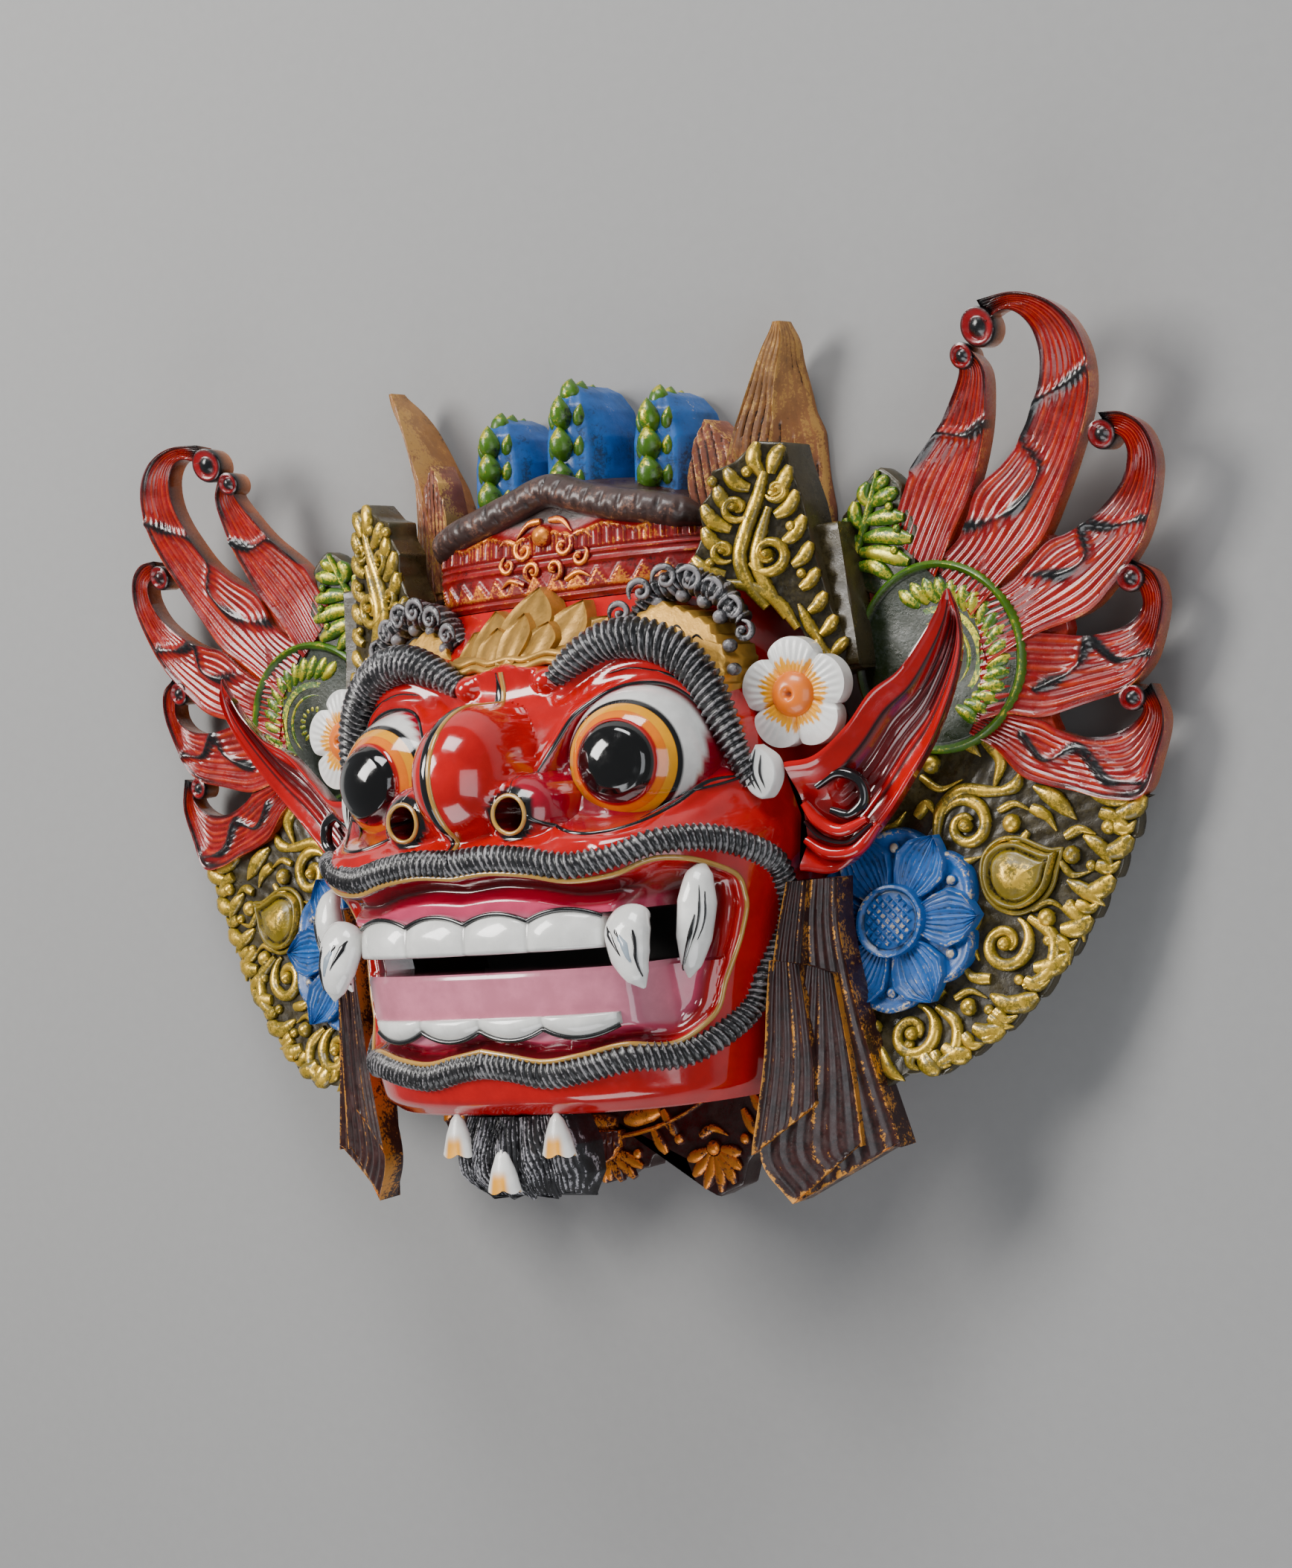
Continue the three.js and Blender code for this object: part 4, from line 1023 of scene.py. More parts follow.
def petal_blade(carving, base, tip, half, lift, thick, tint, ridge=1.2, rim=0.7, blunt=0.62,
                count=26, across=16, peak=0.55):
    """A pointed petal from a base to a tip: half width follows a leaf curve, with a raised
    rim and a raised middle."""
    base, tip = np.asarray(base, float), np.asarray(tip, float)
    t = np.linspace(0.0, 1, count)
    axis = tip - base
    side = np.array([-axis[1], axis[0]]) / np.hypot(*axis)
    width = half * np.where(
        t < peak, 1 - (1 - blunt) * (1 - t / peak) ** 2, np.maximum(1 - (np.maximum(t - peak, 0) / (1 - peak)) ** 1.7, 0.012)
    )
    middle = base + t[:, None] * axis
    left = middle + side * width[:, None]
    right = middle - side * width[:, None]

    def relief(tt, s, x, y):
        edge = np.exp(-((np.minimum(s, 1 - s) / 0.09) ** 2))
        spine = np.exp(-(((s - 0.5) / 0.12) ** 2)) * (1 - tt)
        return rim * edge + ridge * spine

    s = np.linspace(0, 1, across)[None]
    flat = left[:, None] * (1 - s[..., None]) + right[:, None] * s[..., None]
    x, y = flat[..., 0], flat[..., 1]
    height = relief(t[:, None], s, x, y)
    front = np.stack([x, y, lift(x, y) + height], -1)
    back = front[:, [-1, 0]].copy()
    back[..., 2] = lift(back[..., 0], back[..., 1]) - thick
    rub_and_shade = np.concatenate([np.broadcast_to(0.25 + 0.75 * np.clip(height, 0, 1), x.shape),
                          np.full((count, 2), 0.4)], axis=1)
    carving.loft(np.concatenate([front, back], axis=1), tint, rub_and_shade)


def diadem(carving):
    """A gilt lotus badge: a ring of pointed petals over a waved double lip."""
    lift = lambda x, y: diadem_lean(x, y) + 1.0
    for x0, tip, half, up, lean in (
        (-20, (-29, 33), 8.0, -3.0, 0), (20, (29, 33), 8.0, -3.0, 0),
        (-13, (-19, 39.5), 8.0, -1.2, 0), (13, (19, 39.5), 8.0, -1.2, 0),
        (0, (0, 46), 10.5, 0.6, 0),
    ):
        petal_blade(carving, (x0, 19), tip, half, lambda x, y, up=up: lift(x, y) + up, 8, GOLD,
                    ridge=1.6, rim=0.9)
    for x0, tip, half, up in ((-9, (-11, 33), 6.5, 2.2), (9, (11, 33), 6.5, 2.2), (0, (0, 37), 6.0, 3.2)):
        petal_blade(carving, (x0, 19.5), tip, half, lambda x, y, up=up: lift(x, y) + up, 6, GOLD,
                    ridge=1.4, rim=1.0)
    wave_line = through([(-31, 20.5), (-24, 18.2), (-15, 19.4), (-8, 17.8), (0, 18.6), (8, 17.8),
                         (15, 19.4), (24, 18.2), (31, 20.5)], 120)
    for dy, dz, r in ((0, 1.2, 1.5), (2.6, 0.2, 1.3), (-2.0, -0.6, 1.1)):
        path = np.column_stack([wave_line[:, 0], wave_line[:, 1] + dy,
                                diadem_lean(wave_line[:, 0], wave_line[:, 1]) + dz + 1.5])
        size = np.interp(np.abs(wave_line[:, 0]), [0, 24, 31], [1, 1, 0.3])
        carving.loft(tube(path, r * size, r * 1.2 * size, 12), GOLD, 0.7)
    base = through([(-30, 21), (-15, 20.5), (0, 20.5), (15, 20.5), (30, 21)], 60)
    path = np.column_stack([base, diadem_lean(base[:, 0], base[:, 1]) - 5.5])
    carving.loft(tube(path, 4.0, 6.5, 16), GOLD, 0.5)


def temple_lean(x, y):
    return 61 - 0.35 * (y - 20) - 0.12 * (np.abs(x) - 50)


def slab(carving, outline, centre, lift, low, high, tint, rub_and_shade=0.4, rings=14, relief=None,
         bevel=0.5, spacing=1.2, tinter=None, rub_and_shade_maker=None):
    """A board with a star-shaped outline: rings of the outline shrink to a centre over the
    front, a small bevel turns the edge and the back closes a thickness behind."""
    ring = np.asarray(list(outline) + [outline[0]], float)
    length = np.concatenate([[0], np.cumsum(np.linalg.norm(np.diff(ring, axis=0), axis=1))])
    count = max(int(length[-1] / spacing), 24)
    s = np.linspace(0, length[-1], count + 1)[:-1]
    edge = np.column_stack([np.interp(s, length, ring[:, 0]), np.interp(s, length, ring[:, 1])])
    centre = np.asarray(centre, float)
    spread = edge - centre
    reach = np.linalg.norm(spread, axis=1, keepdims=True)
    scale = np.linspace(0.02, 1, rings)[:, None, None]
    flat = centre + spread[None] * scale
    inset = np.minimum(bevel / reach, 0.3)
    flat[-1] = centre + spread * (1 - inset)
    x, y = flat[..., 0], flat[..., 1]
    rise = np.zeros_like(x) if relief is None else relief(x, y)
    front = np.stack([x, y, lift(x, y) + high + rise], -1)
    ex, ey = edge[:, 0], edge[:, 1]
    shoulder = np.stack([ex, ey, lift(ex, ey) + high - bevel + rise[-1]], -1)[None]
    foot = np.stack([ex, ey, lift(ex, ey) + low], -1)[None]
    tail = centre + spread * 0.02
    back = np.stack([tail[:, 0], tail[:, 1], lift(tail[:, 0], tail[:, 1]) + low], -1)[None]
    whole = np.concatenate([front, shoulder, foot, back])
    tints = np.broadcast_to(tint, whole.shape).copy()
    rubs_and_shades = np.full(whole.shape[:2], float(rub_and_shade))
    if tinter is not None:
        tints[:rings] = tinter(x, y)
        tints[rings:] = tints[rings - 1]
    if rub_and_shade_maker is not None:
        rubs_and_shades[:rings] = rub_and_shade_maker(x, y)
    rubs_and_shades[rings] = min(rub_and_shade + 0.4, 1)
    rubs_and_shades[rings - 1] = np.maximum(rubs_and_shades[rings - 1], min(rub_and_shade + 0.3, 1))
    carving.loft(whole, tints, rubs_and_shades)


def jagged(outline, size, pitch):
    """An outline with saw teeth cut along it."""
    ring = np.asarray(outline, float)
    points = []
    for p, q in zip(ring[:-1], ring[1:]):
        count = max(int(np.hypot(*(q - p)) / pitch), 1)
        out = np.array([q[1] - p[1], p[0] - q[0]]) / np.hypot(*(q - p))
        for k in range(count):
            points.append(p + (q - p) * k / count)
            points.append(p + (q - p) * (k + 0.75) / count + out * size)
    points.append(ring[-1])
    return [tuple(p) for p in points]


def temples(plates, curls):
    """Flat pointed plates over the brows and the arch of grey curls behind each."""
    outer = [(77, 2), (77, 15), (69, 26), (60, 31), (50, 35), (42, 31), (36, 22)]
    teeth_line = jagged(outer, 1.3, 4.2)
    outline = teeth_line + [(66, 16), (76, 2.5)]
    outline = teeth_line + [(52, 19), (66, 14), (75, 3)]
    slab(plates, outline, (61, 24), temple_lean, -20, 0, (0.52, 0.28, 0.045), 0.6, rings=8)
    for x, y in ((66, 22), (58, 26)):
        stroke(plates, [(x - 3, y - 2), (x, y + 0.6), (x + 3, y - 1.5)], 0.5, 0.4,
               lambda a, b: temple_lean(a, b), tint=BLACK, count=12, sides=8)
    line = [(37, 29), (43, 35), (48, 39.5), (55, 41), (60, 42.5), (66, 39), (71, 36.5), (75, 31),
            (79, 26)]
    arch = through(line, 60)
    z = 51 - 3.2 * np.linspace(0, 1, 60)
    path = np.column_stack([arch, z])
    strands(curls, path, [3.4, 4.6, 5.2, 4.6, 3.0], [5, 6.5, 6.8, 6, 4], 2.6, 1.6, depth=0.1)
    lift = lambda x, y: 56.5 - 0.22 * (x - 55) + 0 * y
    for k, (x, y, r, start) in enumerate(
        [(37.5, 33, 4.0, 200), (45.5, 39.5, 4.6, 210), (54.5, 43, 4.8, 190), (63, 41.5, 4.8, 160),
         (70.5, 37, 4.4, 140), (76.5, 30.5, 4.2, 110), (80, 22.5, 3.6, 90)]
    ):
        coil(curls, (x, y), r, start, -420, 1.25, 1.3, lift, (0.05, 0.05, 0.055), count=38, inner=0.2)
    for k, (x, y, r) in enumerate([(41, 28.5, 2.6), (49, 35.5, 2.8), (58, 37, 2.8), (66.5, 34, 2.8),
                                   (73, 28, 2.6), (77.5, 18, 2.4), (80, 10, 2.2)]):
        bead(curls, (x, y), r, lambda a, b: temple_lean(a, b) - 2.5, (0.05, 0.05, 0.055), 3.2)


# ---- crown ---------------------------------------------------------------------------------
def crown_shell(carving):
    """The crown band: superelliptic sections stacked up the block, with rows of carving
    raised on the front by a relief that follows height and distance round the band."""
    rows = np.linspace(40.4, 82, 74)
    angle = np.linspace(0, np.pi, 20001)
    power = 2 / SQUARENESS
    sx = 64 * np.sign(np.cos(angle)) * np.abs(np.cos(angle)) ** power
    sz = 48 * np.sin(angle) ** power
    length = np.concatenate([[0], np.cumsum(np.hypot(np.diff(sx), np.diff(sz)))])
    columns = np.interp(np.linspace(0, length[-1], 241), length, angle)
    half, depth = stations(CROWN, rows, 1.5)
    c = np.cos(columns)[None, :]
    x = half[:, None] * np.sign(c) * np.abs(c) ** power
    z = depth[:, None] * np.maximum(np.sin(columns), 0)[None, :] ** power
    y = np.broadcast_to(rows[:, None], x.shape)
    s = np.broadcast_to(((np.linspace(0, length[-1], 241) - length[-1] / 2))[None, :], x.shape)
    relief, rub_and_shade = crown_relief(s, y)
    out = np.stack([np.where(np.abs(x) > 0.97 * half[:, None], np.sign(x), 0), 0 * x,
                    np.where(np.abs(x) > 0.97 * half[:, None], 0, 1)], -1)
    front = np.stack([x, y, z], -1) + out * (relief * smooth(2, 8, z))[..., None]
    front[..., 2] = np.maximum(front[..., 2], 0)
    red = np.array(bpy.context.scene.mask_paints.band_red)
    tint = np.broadcast_to(red, front.shape)
    tint = mix(tint, (0.03, 0.014, 0.012), smooth(67, 69, y))
    carving.loft(front, tint, rub_and_shade)


def crown_relief(s, y):
    """Carved rows of the band: a row of triangles, two fillets, a slatted fringe that rises
    and falls like saw teeth, and a flat top."""
    bow = 0.0 * s
    yy = y + bow
    pitch = 8.6
    t = np.abs(((s / pitch) % 1) * 2 - 1)
    tri_height = 44.5 + 6.0 * (1 - t)
    triangle = smooth(0.8, -0.4, yy - tri_height) * smooth(43.4, 44.2, yy)
    frame = np.exp(-((yy - tri_height) / 0.5) ** 2) * smooth(44, 45, yy)
    fillet = np.exp(-(((yy - 53.0) / 0.8) ** 2)) + np.exp(-(((yy - 55.8) / 0.6) ** 2)) + np.exp(
        -(((yy - 42.2) / 0.8) ** 2))
    slat = 0.5 + 0.5 * np.cos(2 * np.pi * s / 1.9)
    saw = 62.5 + 3.4 * np.abs(((s / 25.0) % 1) * 2 - 1)
    fringe = smooth(57.2, 58.0, yy) * smooth(saw + 0.4, saw - 0.4, yy)
    lip = np.exp(-(((yy - saw) / 0.9) ** 2))
    relief = 1.0 * triangle + 0.5 * frame + 0.9 * fillet + fringe * (0.5 + 0.9 * slat) + 1.3 * lip
    rub_and_shade = 0.22 + 0.6 * triangle + 0.3 * frame + 0.45 * np.clip(fillet, 0, 1)
    rub_and_shade = rub_and_shade + fringe * (0.12 + 0.55 * slat) + 0.5 * lip
    rub_and_shade = np.where(yy > 67.5, 0.25 + 0.2 * slat, rub_and_shade)
    return relief, np.clip(rub_and_shade, 0, 1)


def crown_scrolls(carving):
    """The ball and curls in the middle of the band, over the diadem."""
    red = tuple(bpy.context.scene.mask_paints.band_red)
    lift = lambda x, y: crown_front(x, y) + 0.6
    bead(carving, (0, 63.5), 4.2, lift, red, 4.6)
    for side in (1, -1):
        coil(carving, (side * 8.5, 59.5), 4.4, 90 if side > 0 else 90, -side * 400, 1.3, 1.6, lift, red)
        coil(carving, (side * 4.6, 51.8), 3.8, 250, side * 400, 1.2, 1.5, lift, red)
        coil(carving, (side * 15.5, 55.0), 3.6, 60 if side > 0 else 120, -side * 380, 1.1, 1.5, lift, red)
        stroke(carving, [(side * 2, 69), (side * 7, 68.5), (side * 12, 64)], 1.5, 1.8, lift, "comma", 0.3, red)
        stroke(carving, [(side * 12, 62), (side * 17, 63.5), (side * 21, 60.5)], 1.3, 1.6, lift, "comma", 0.3, red)
        stroke(carving, [(side * 9, 47.5), (side * 15, 49.5), (side * 20, 47.0)], 1.3, 1.5, lift, "comma", 0.3, red)


def crown_rim(carving):
    """The dark notched rim over the band."""
    line = [(-59, 62), (-52, 65.5), (-44, 68), (-30, 71), (-14, 75.5), (0, 79.5), (14, 75.5), (30, 71),
            (44, 68), (52, 65.5), (59, 62)]
    path = through(line, 200)
    x, y = path[:, 0], path[:, 1]
    z = crown_front(x, y - 8) - 3
    bar = np.column_stack([x, y, z])
    angle = 2 * np.pi * np.arange(28) / 28
    s = np.concatenate([[0], np.cumsum(np.linalg.norm(np.diff(bar, axis=0), axis=1))])[:, None]
    notch = np.exp(-(((((s / 6.4) % 1) - 0.5) / 0.12) ** 2)) * np.exp(-(((angle[None] - 1.15) / 0.42) ** 2))
    notch2 = np.exp(-(((((s / 6.4 + 0.5) % 1) - 0.5) / 0.10) ** 2)) * np.exp(-(((angle[None] - 2.0) / 0.30) ** 2))
    swell = 1 - 0.16 * notch - 0.10 * notch2
    size = np.minimum(1, 0.35 + 8 * np.minimum(np.linspace(0, 1, 200), np.linspace(1, 0, 200)))
    rings = tube(bar, 6.0 * size, 7.6 * size, 28, swell=swell)
    rub_and_shade = 0.42 + 0.3 * np.exp(-(((angle[None] - 1.57) / 0.9) ** 2)) - 0.6 * notch - 0.6 * notch2 + 0 * s
    carving.loft(rings, (0.05, 0.026, 0.022), np.clip(rub_and_shade, 0, 1))


def crest_lobe(blue, spikes, x0, top, front, reach=26):
    """A rounded crest lobe: sections across it are arches, ribbed down its flanks, and a
    column of pointed spikes runs down its front."""
    base = 68.0
    t = np.linspace(0, 1, 64)
    width = np.interp(t, [0, 0.3, 0.6, 0.8, 0.94, 1], [12.5, 14.2, 14.2, 11.6, 6.6, 1.2])
    y = base + (top - base) * t
    lean = front - (y - 70) * 0.12
    angle = np.linspace(0, np.pi, 46)
    c, s = np.cos(angle), np.sin(angle)
    arch_x = np.sign(c) * np.abs(c) ** 0.62
    arch_z = s**0.75
    ribs = 0.7 * np.abs(np.sin(3.2 * np.pi * np.abs(arch_x))) * (np.abs(arch_x) > 0.3)
    x = x0 + width[:, None] * arch_x[None, :]
    fore = lean[:, None] - 1.5
    back = 4.0
    z = back + (fore - back) * arch_z[None, :] * np.interp(t, [0, 0.85, 1], [1, 1, 0.82])[:, None]
    z = z - ribs[None, :] * np.interp(t, [0, 0.1, 0.9, 1], [0.4, 1, 1, 0.2])[:, None]
    row_y = np.broadcast_to(y[:, None], x.shape)
    rings = np.stack([x, row_y, z], -1)
    rub_and_shade = 0.45 + 0.28 * (t[:, None] ** 2) - 0.35 * ribs[None, :] / 0.7 + 0 * x
    blue.loft(rings, tuple(bpy.context.scene.mask_paints.blue), np.clip(rub_and_shade, 0, 1))
    for k, level in enumerate((0.36, 0.6, 0.82)):
        yy = base + (top - base) * level
        zz = front - (yy - 70) * 0.12 - 2.0
        spike(spikes, (x0, yy - 6.5, zz), (x0, yy + 5.0, zz + 2.2), 5.2 - 0.5 * k, 4.4 - 0.3 * k)
        for side in (1, -1):
            spike(spikes, (x0 + side * 4.4, yy - 7.5, zz - 3.5), (x0 + side * 6.2, yy + 1.5, zz - 2.0), 2.6, 2.8)
    for k in range(4):
        zz = front - 12 - 6.5 * k
        yy = top - 1.0 - 1.2 * k * k * 0.3
        spike(spikes, (x0, yy - 5, zz), (x0, yy + 3.5, zz - 1.0), 4.0, 3.4)


def spike(carving, foot, tip, width, depth, sides=14, count=12):
    """A pointed scale: an elliptical section that swells, then draws in to a point."""
    t = np.linspace(0, 1, count)
    size = np.interp(t, [0, 0.3, 0.6, 0.85, 1], [0.55, 1, 0.85, 0.42, 0.03])
    path = np.asarray(foot, float) + t[:, None] * (np.asarray(tip, float) - np.asarray(foot, float))
    path[:, 2] += 1.2 * np.sin(np.pi * t)
    angle = 2 * np.pi * np.arange(sides) / sides
    keel = 1 + 0.12 * np.exp(-(((angle - np.pi / 2) / 0.35) ** 2))
    rings = tube(path, width * size, depth * size, sides, swell=keel[None, :])
    rub_and_shade = 0.25 + 0.6 * np.exp(-(((angle - np.pi / 2) / 0.6) ** 2))[None, :] + 0.35 * (t[:, None] > 0.6)
    green = tuple(bpy.context.scene.mask_paints.leaf_green)
    carving.loft(rings, green, np.clip(rub_and_shade, 0, 1))


def horn_leaf(carving):
    """A tall leaf beside the crest: stations of inner edge, ridge and outer edge joined by a
    broken curve, with upright grooves cut along it."""
    table = np.array(
        [
            [48, 60, 32, 78, 24, 88, 5, 0], [62, 62, 32, 80, 22, 90, 4, 0],
            [75, 64, 31, 77, 22, 88.5, 3, 0], [92, 69, 29, 78, 20, 88.5, 3, 0],
            [94, 70, 28.5, 78.5, 20, 86.5, 4, 1], [104, 74, 27, 80.5, 19.5, 85.5, 4.5, 2],
            [114, 78, 25, 83, 19.5, 84.5, 7, 4], [122, 81.5, 23, 86, 20, 87, 12, 9],
            [127, 84.5, 21.5, 86, 21, 86.5, 17, 15],
        ],
        float,
    )
    y = np.linspace(48, 127, 78)
    v = np.stack([np.interp(y, table[:, 0], table[:, k]) for k in range(8)], -1)
    v[:, 1:] = np.apply_along_axis(lambda q: np.convolve(np.pad(q, 3, "edge"), np.ones(7) / 7, "valid"), 0, v[:, 1:])
    s = np.linspace(0, 1, 27)[None, :]
    inner = np.stack([v[:, 1], y, v[:, 2]], -1)[:, None]
    ridge = np.stack([v[:, 3], y, v[:, 4]], -1)[:, None]
    outer = np.stack([v[:, 5], y, v[:, 6]], -1)[:, None]
    first = inner + (ridge - inner) * s[..., None]
    second = ridge + (outer - ridge) * s[:, 1:, None]
    front = np.concatenate([first, second], axis=1)
    q = np.linspace(0, 1, front.shape[1])[None, :]
    run = y[:, None]
    lines = np.sin(2 * np.pi * (q * 9 + 0.06 * np.sin(run / 9.0) + 0.10 * np.sin(run / 3.7 + q * 9)))
    broken = smooth(-0.2, 0.5, np.sin(run / 7.3 + 5 * q) + 0.4 * np.sin(run / 3.1 + 17 * q))
    cut = smooth(0.55, 0.95, lines) * (0.35 + 0.65 * broken)
    front[..., 2] -= 0.75 * cut
    back = np.stack(
        [np.stack([v[:, 5], y, v[:, 7]], -1), np.stack([v[:, 1], y, v[:, 7]], -1)], axis=1
    )
    rings = np.concatenate([front, back], axis=1)
    edge = np.exp(-(((q - 0.5) / 0.03) ** 2)) + np.exp(-((q / 0.04) ** 2)) + np.exp(-(((1 - q) / 0.05) ** 2))
    rub_and_shade = np.clip(0.62 - 0.62 * cut + 0.3 * edge, 0, 1)
    rub_and_shade = np.concatenate([rub_and_shade, np.full((len(y), 2), 0.4)], axis=1)
    tint = mix((0.30, 0.085, 0.035), (0.42, 0.19, 0.05), np.clip((rings[..., 1] - 60) / 60, 0, 1))
    carving.loft(rings, tint, rub_and_shade)
    lift = lambda a, b: 34 - 0.45 * (a - 57)
    small = [(52, 50), (66, 50), (70, 76), (68, 88), (64, 92), (60, 97), (56, 90), (53, 78)]
    small = [(p, q) for p, q in small]

    def cuts(a, b):
        line = np.sin((a + 0.10 * b) * 2 * np.pi / 2.6 + 0.5 * np.sin(b / 5))
        return -0.7 * smooth(0.45, 0.95, line)

    slab(carving, small, (61, 74), lift, -14, 0, (0.24, 0.07, 0.035), 0.45, rings=26, relief=cuts,
         rub_and_shade_maker=lambda a, b: 0.62 + cuts(a, b) * 0.9)


# ---- wing boards -----------------------------------------------------------------------------
FEATHERS = [
    dict(
        left=[(122, 50), (129, 62), (134, 70), (146, 81), (153, 90), (158, 98), (157.5, 102)],
        right=[(138, 34), (147, 48), (156, 61), (163, 76), (166.5, 88), (167.5, 98), (163, 106)],
        wave=[(134, 70), (147, 80), (156, 78), (164, 81)], curl=(160, 103, 4.2), black=0.62,
    ),
    dict(
        left=[(138, 38), (150, 47), (157, 60), (168, 67), (177, 75), (184, 86), (187.5, 94),
              (188.5, 101), (187, 108), (183, 113), (178, 114.5), (171, 112)],
        right=[(150, 20), (165, 32), (178, 41), (187, 54), (193, 64), (200, 77), (204, 88),
               (204.5, 99), (201, 109), (193.5, 116), (183, 119.5), (170, 119)],
        wave=[(150, 49), (166, 51), (177, 58), (181, 65), (177, 73), (183, 84), (193, 88), (204, 93)],
        curl=(168, 111, 6.2), black=0.6,
    ),
    dict(
        left=[(150, 26), (165, 29), (179, 40), (187, 42.5), (195, 45.5), (203, 51), (209, 57),
              (212, 64), (211.5, 69), (209, 71.5), (206, 73)],
        right=[(154, 4), (170, 11), (190, 16.5), (200, 24), (210, 34), (215.5, 43), (220, 55),
               (221.4, 64), (219, 72.5), (213, 77.5), (205, 78.5)],
        wave=[(172, 31), (184, 30), (192, 34), (193, 44), (203, 43), (213, 44)],
        curl=(204.5, 71.8, 4.6), black=0.6,
    ),
    dict(
        left=[(152, 12), (165, 13), (180, 11), (190, 9.5), (200, 10.5), (206, 13), (209.5, 17),
              (209.5, 21), (208, 24.5), (206, 26.5)],
        right=[(150, -14), (160, -13), (172, -15), (187, -12), (200, -9), (207, -4), (211.5, 3),
               (216.5, 17), (215, 27), (208, 32)],
        wave=[(170, -6), (186, 1), (190, 8), (199, 1), (209, 2)], curl=(206.5, 26.2, 4.4), black=0.6,
    ),
    dict(
        left=[(150, -10), (160, -13), (171, -16), (176, -19), (183, -22), (190, -23), (197, -22),
              (203, -19), (206, -15), (204, -11)],
        right=[(146, -18), (155, -24), (163, -33), (172, -37), (181, -39.5), (192, -43),
               (203, -43), (208.5, -32), (212.5, -19), (209.5, -7.5)],
        wave=[(164, -20), (172, -29), (182, -26), (192, -37), (203, -39)], curl=(202.5, -11.5, 4.2),
        black=0.5,
    ),
]


def wing_rise(x, y):
    """The wing boards' warped front: a second-degree surface in (|x| - 150) and y."""
    a = (np.abs(x) - 150) / 100
    b = y / 100
    return 21 + 100 * (-0.032 * a - 0.02 * b - 0.073 * a * a + 0.133 * a * b + 0.101 * b * b)


def feather(carving, left, right, wave, curl, black):
    """A curled feather: a blade with a rounded rim, lengthwise grooves that close up with its
    width, and a soft black wave that crosses it and runs up its outer edge into the curl."""
    sizes = bpy.context.scene.mask_wing
    paint = bpy.context.scene.mask_paints
    crossing = through(wave, 60)

    def relief(t, s, x, y):
        groove = np.cos(2 * np.pi * (s * sizes.grooves + 0.25 * np.sin(6 * t)))
        rim = np.exp(-((s / 0.06) ** 2)) + 1.3 * np.exp(-(((1 - s) / 0.07) ** 2))
        gap, _ = near_line(x, y, crossing)
        hump = np.exp(-((gap / 1.5) ** 2))
        dish = -1.3 * np.sin(np.pi * s) ** 2 * smooth(0, 0.2, t)
        return dish + 0.34 * groove * (1 - hump) + 0.9 * rim + 1.5 * hump

    rings, t, s, x, y = blade(left, right, wing_rise, 7.0, count=80, across=36, crown=0.6,
                              relief=relief)
    gap, _ = near_line(x, y, crossing)
    groove = 0.5 + 0.5 * np.cos(2 * np.pi * (s * sizes.grooves + 0.25 * np.sin(6 * t)))
    streak = 0.5 + 0.5 * np.sin(2 * np.pi * (s * 5.3 + 0.8 * np.sin(5 * t + 1.2)) + 2.0)
    tint = mix(tuple(paint.feather_red), tuple(paint.feather_orange), np.clip(0.75 * streak * groove, 0, 1))
    tint = mix(tint, tuple(paint.feather_red), smooth(0.25, 0.0, t) * 0.8)
    half = 1.35 + 0.9 * np.sin(3.0 * x / 10 + y / 8)
    ink = smooth(half + 0.5, half - 0.3, gap)
    outer = smooth(0.80, 0.90, s) * smooth(0.97, 0.93, s) * smooth(black, black + 0.12, t)
    outer = np.maximum(outer, smooth(0.93, 0.98, t) * smooth(0.05, 0.3, s))
    thin = smooth(0.905, 0.93, s) * smooth(0.985, 0.965, s) * smooth(0.25, 0.4, t)
    inner = smooth(0.075, 0.03, s) * smooth(0.3, 0.5, t)
    ink = np.clip(np.maximum.reduce([ink, outer, 0.85 * inner, 0.9 * thin]), 0, 1)
    tint = mix(tint, BLACK, ink)
    rub_and_shade = np.clip(0.30 + 0.42 * groove * (0.5 + 0.5 * streak) - 0.25 * ink + 0.35 * smooth(0.97, 1.0, s), 0, 1)
    rub_and_shade = np.where(ink > 0.5, 0.28, rub_and_shade)
    edge = np.zeros(tint.shape[1], bool)
    edge[-2:] = True
    tint[:, edge] = (0.40, 0.10, 0.02)
    rub_and_shade[:, edge] = 0.62
    carving.loft(rings, tint, rub_and_shade)
    cx, cy, r = curl
    z = float(wing_rise(np.array(cx), np.array(cy)))
    profile = [(0.05, 2.0), (r * 0.30, 1.9), (r * 0.45, 1.0), (r * 0.62, 0.6), (r * 0.8, 1.5), (r, 1.2),
               (r * 1.05, 0.2), (r * 1.0, -7.0), (0.05, -7.0)]
    spun = turned((cx, cy), profile, wing_rise, 48)
    ring_tint = np.array([BLACK, BLACK, BLACK, paint.feather_red[:], paint.feather_red[:], BLACK,
                          BLACK, (0.50, 0.17, 0.06), (0.4, 0.13, 0.05)])[:, None]
    carving.loft(spun, np.broadcast_to(ring_tint, spun.shape), np.array([0.3, 0.3, 0.1, 0.4, 0.6, 0.5, 0.4, 0.5, 0.4])[:, None] + 0 * spun[..., 0])


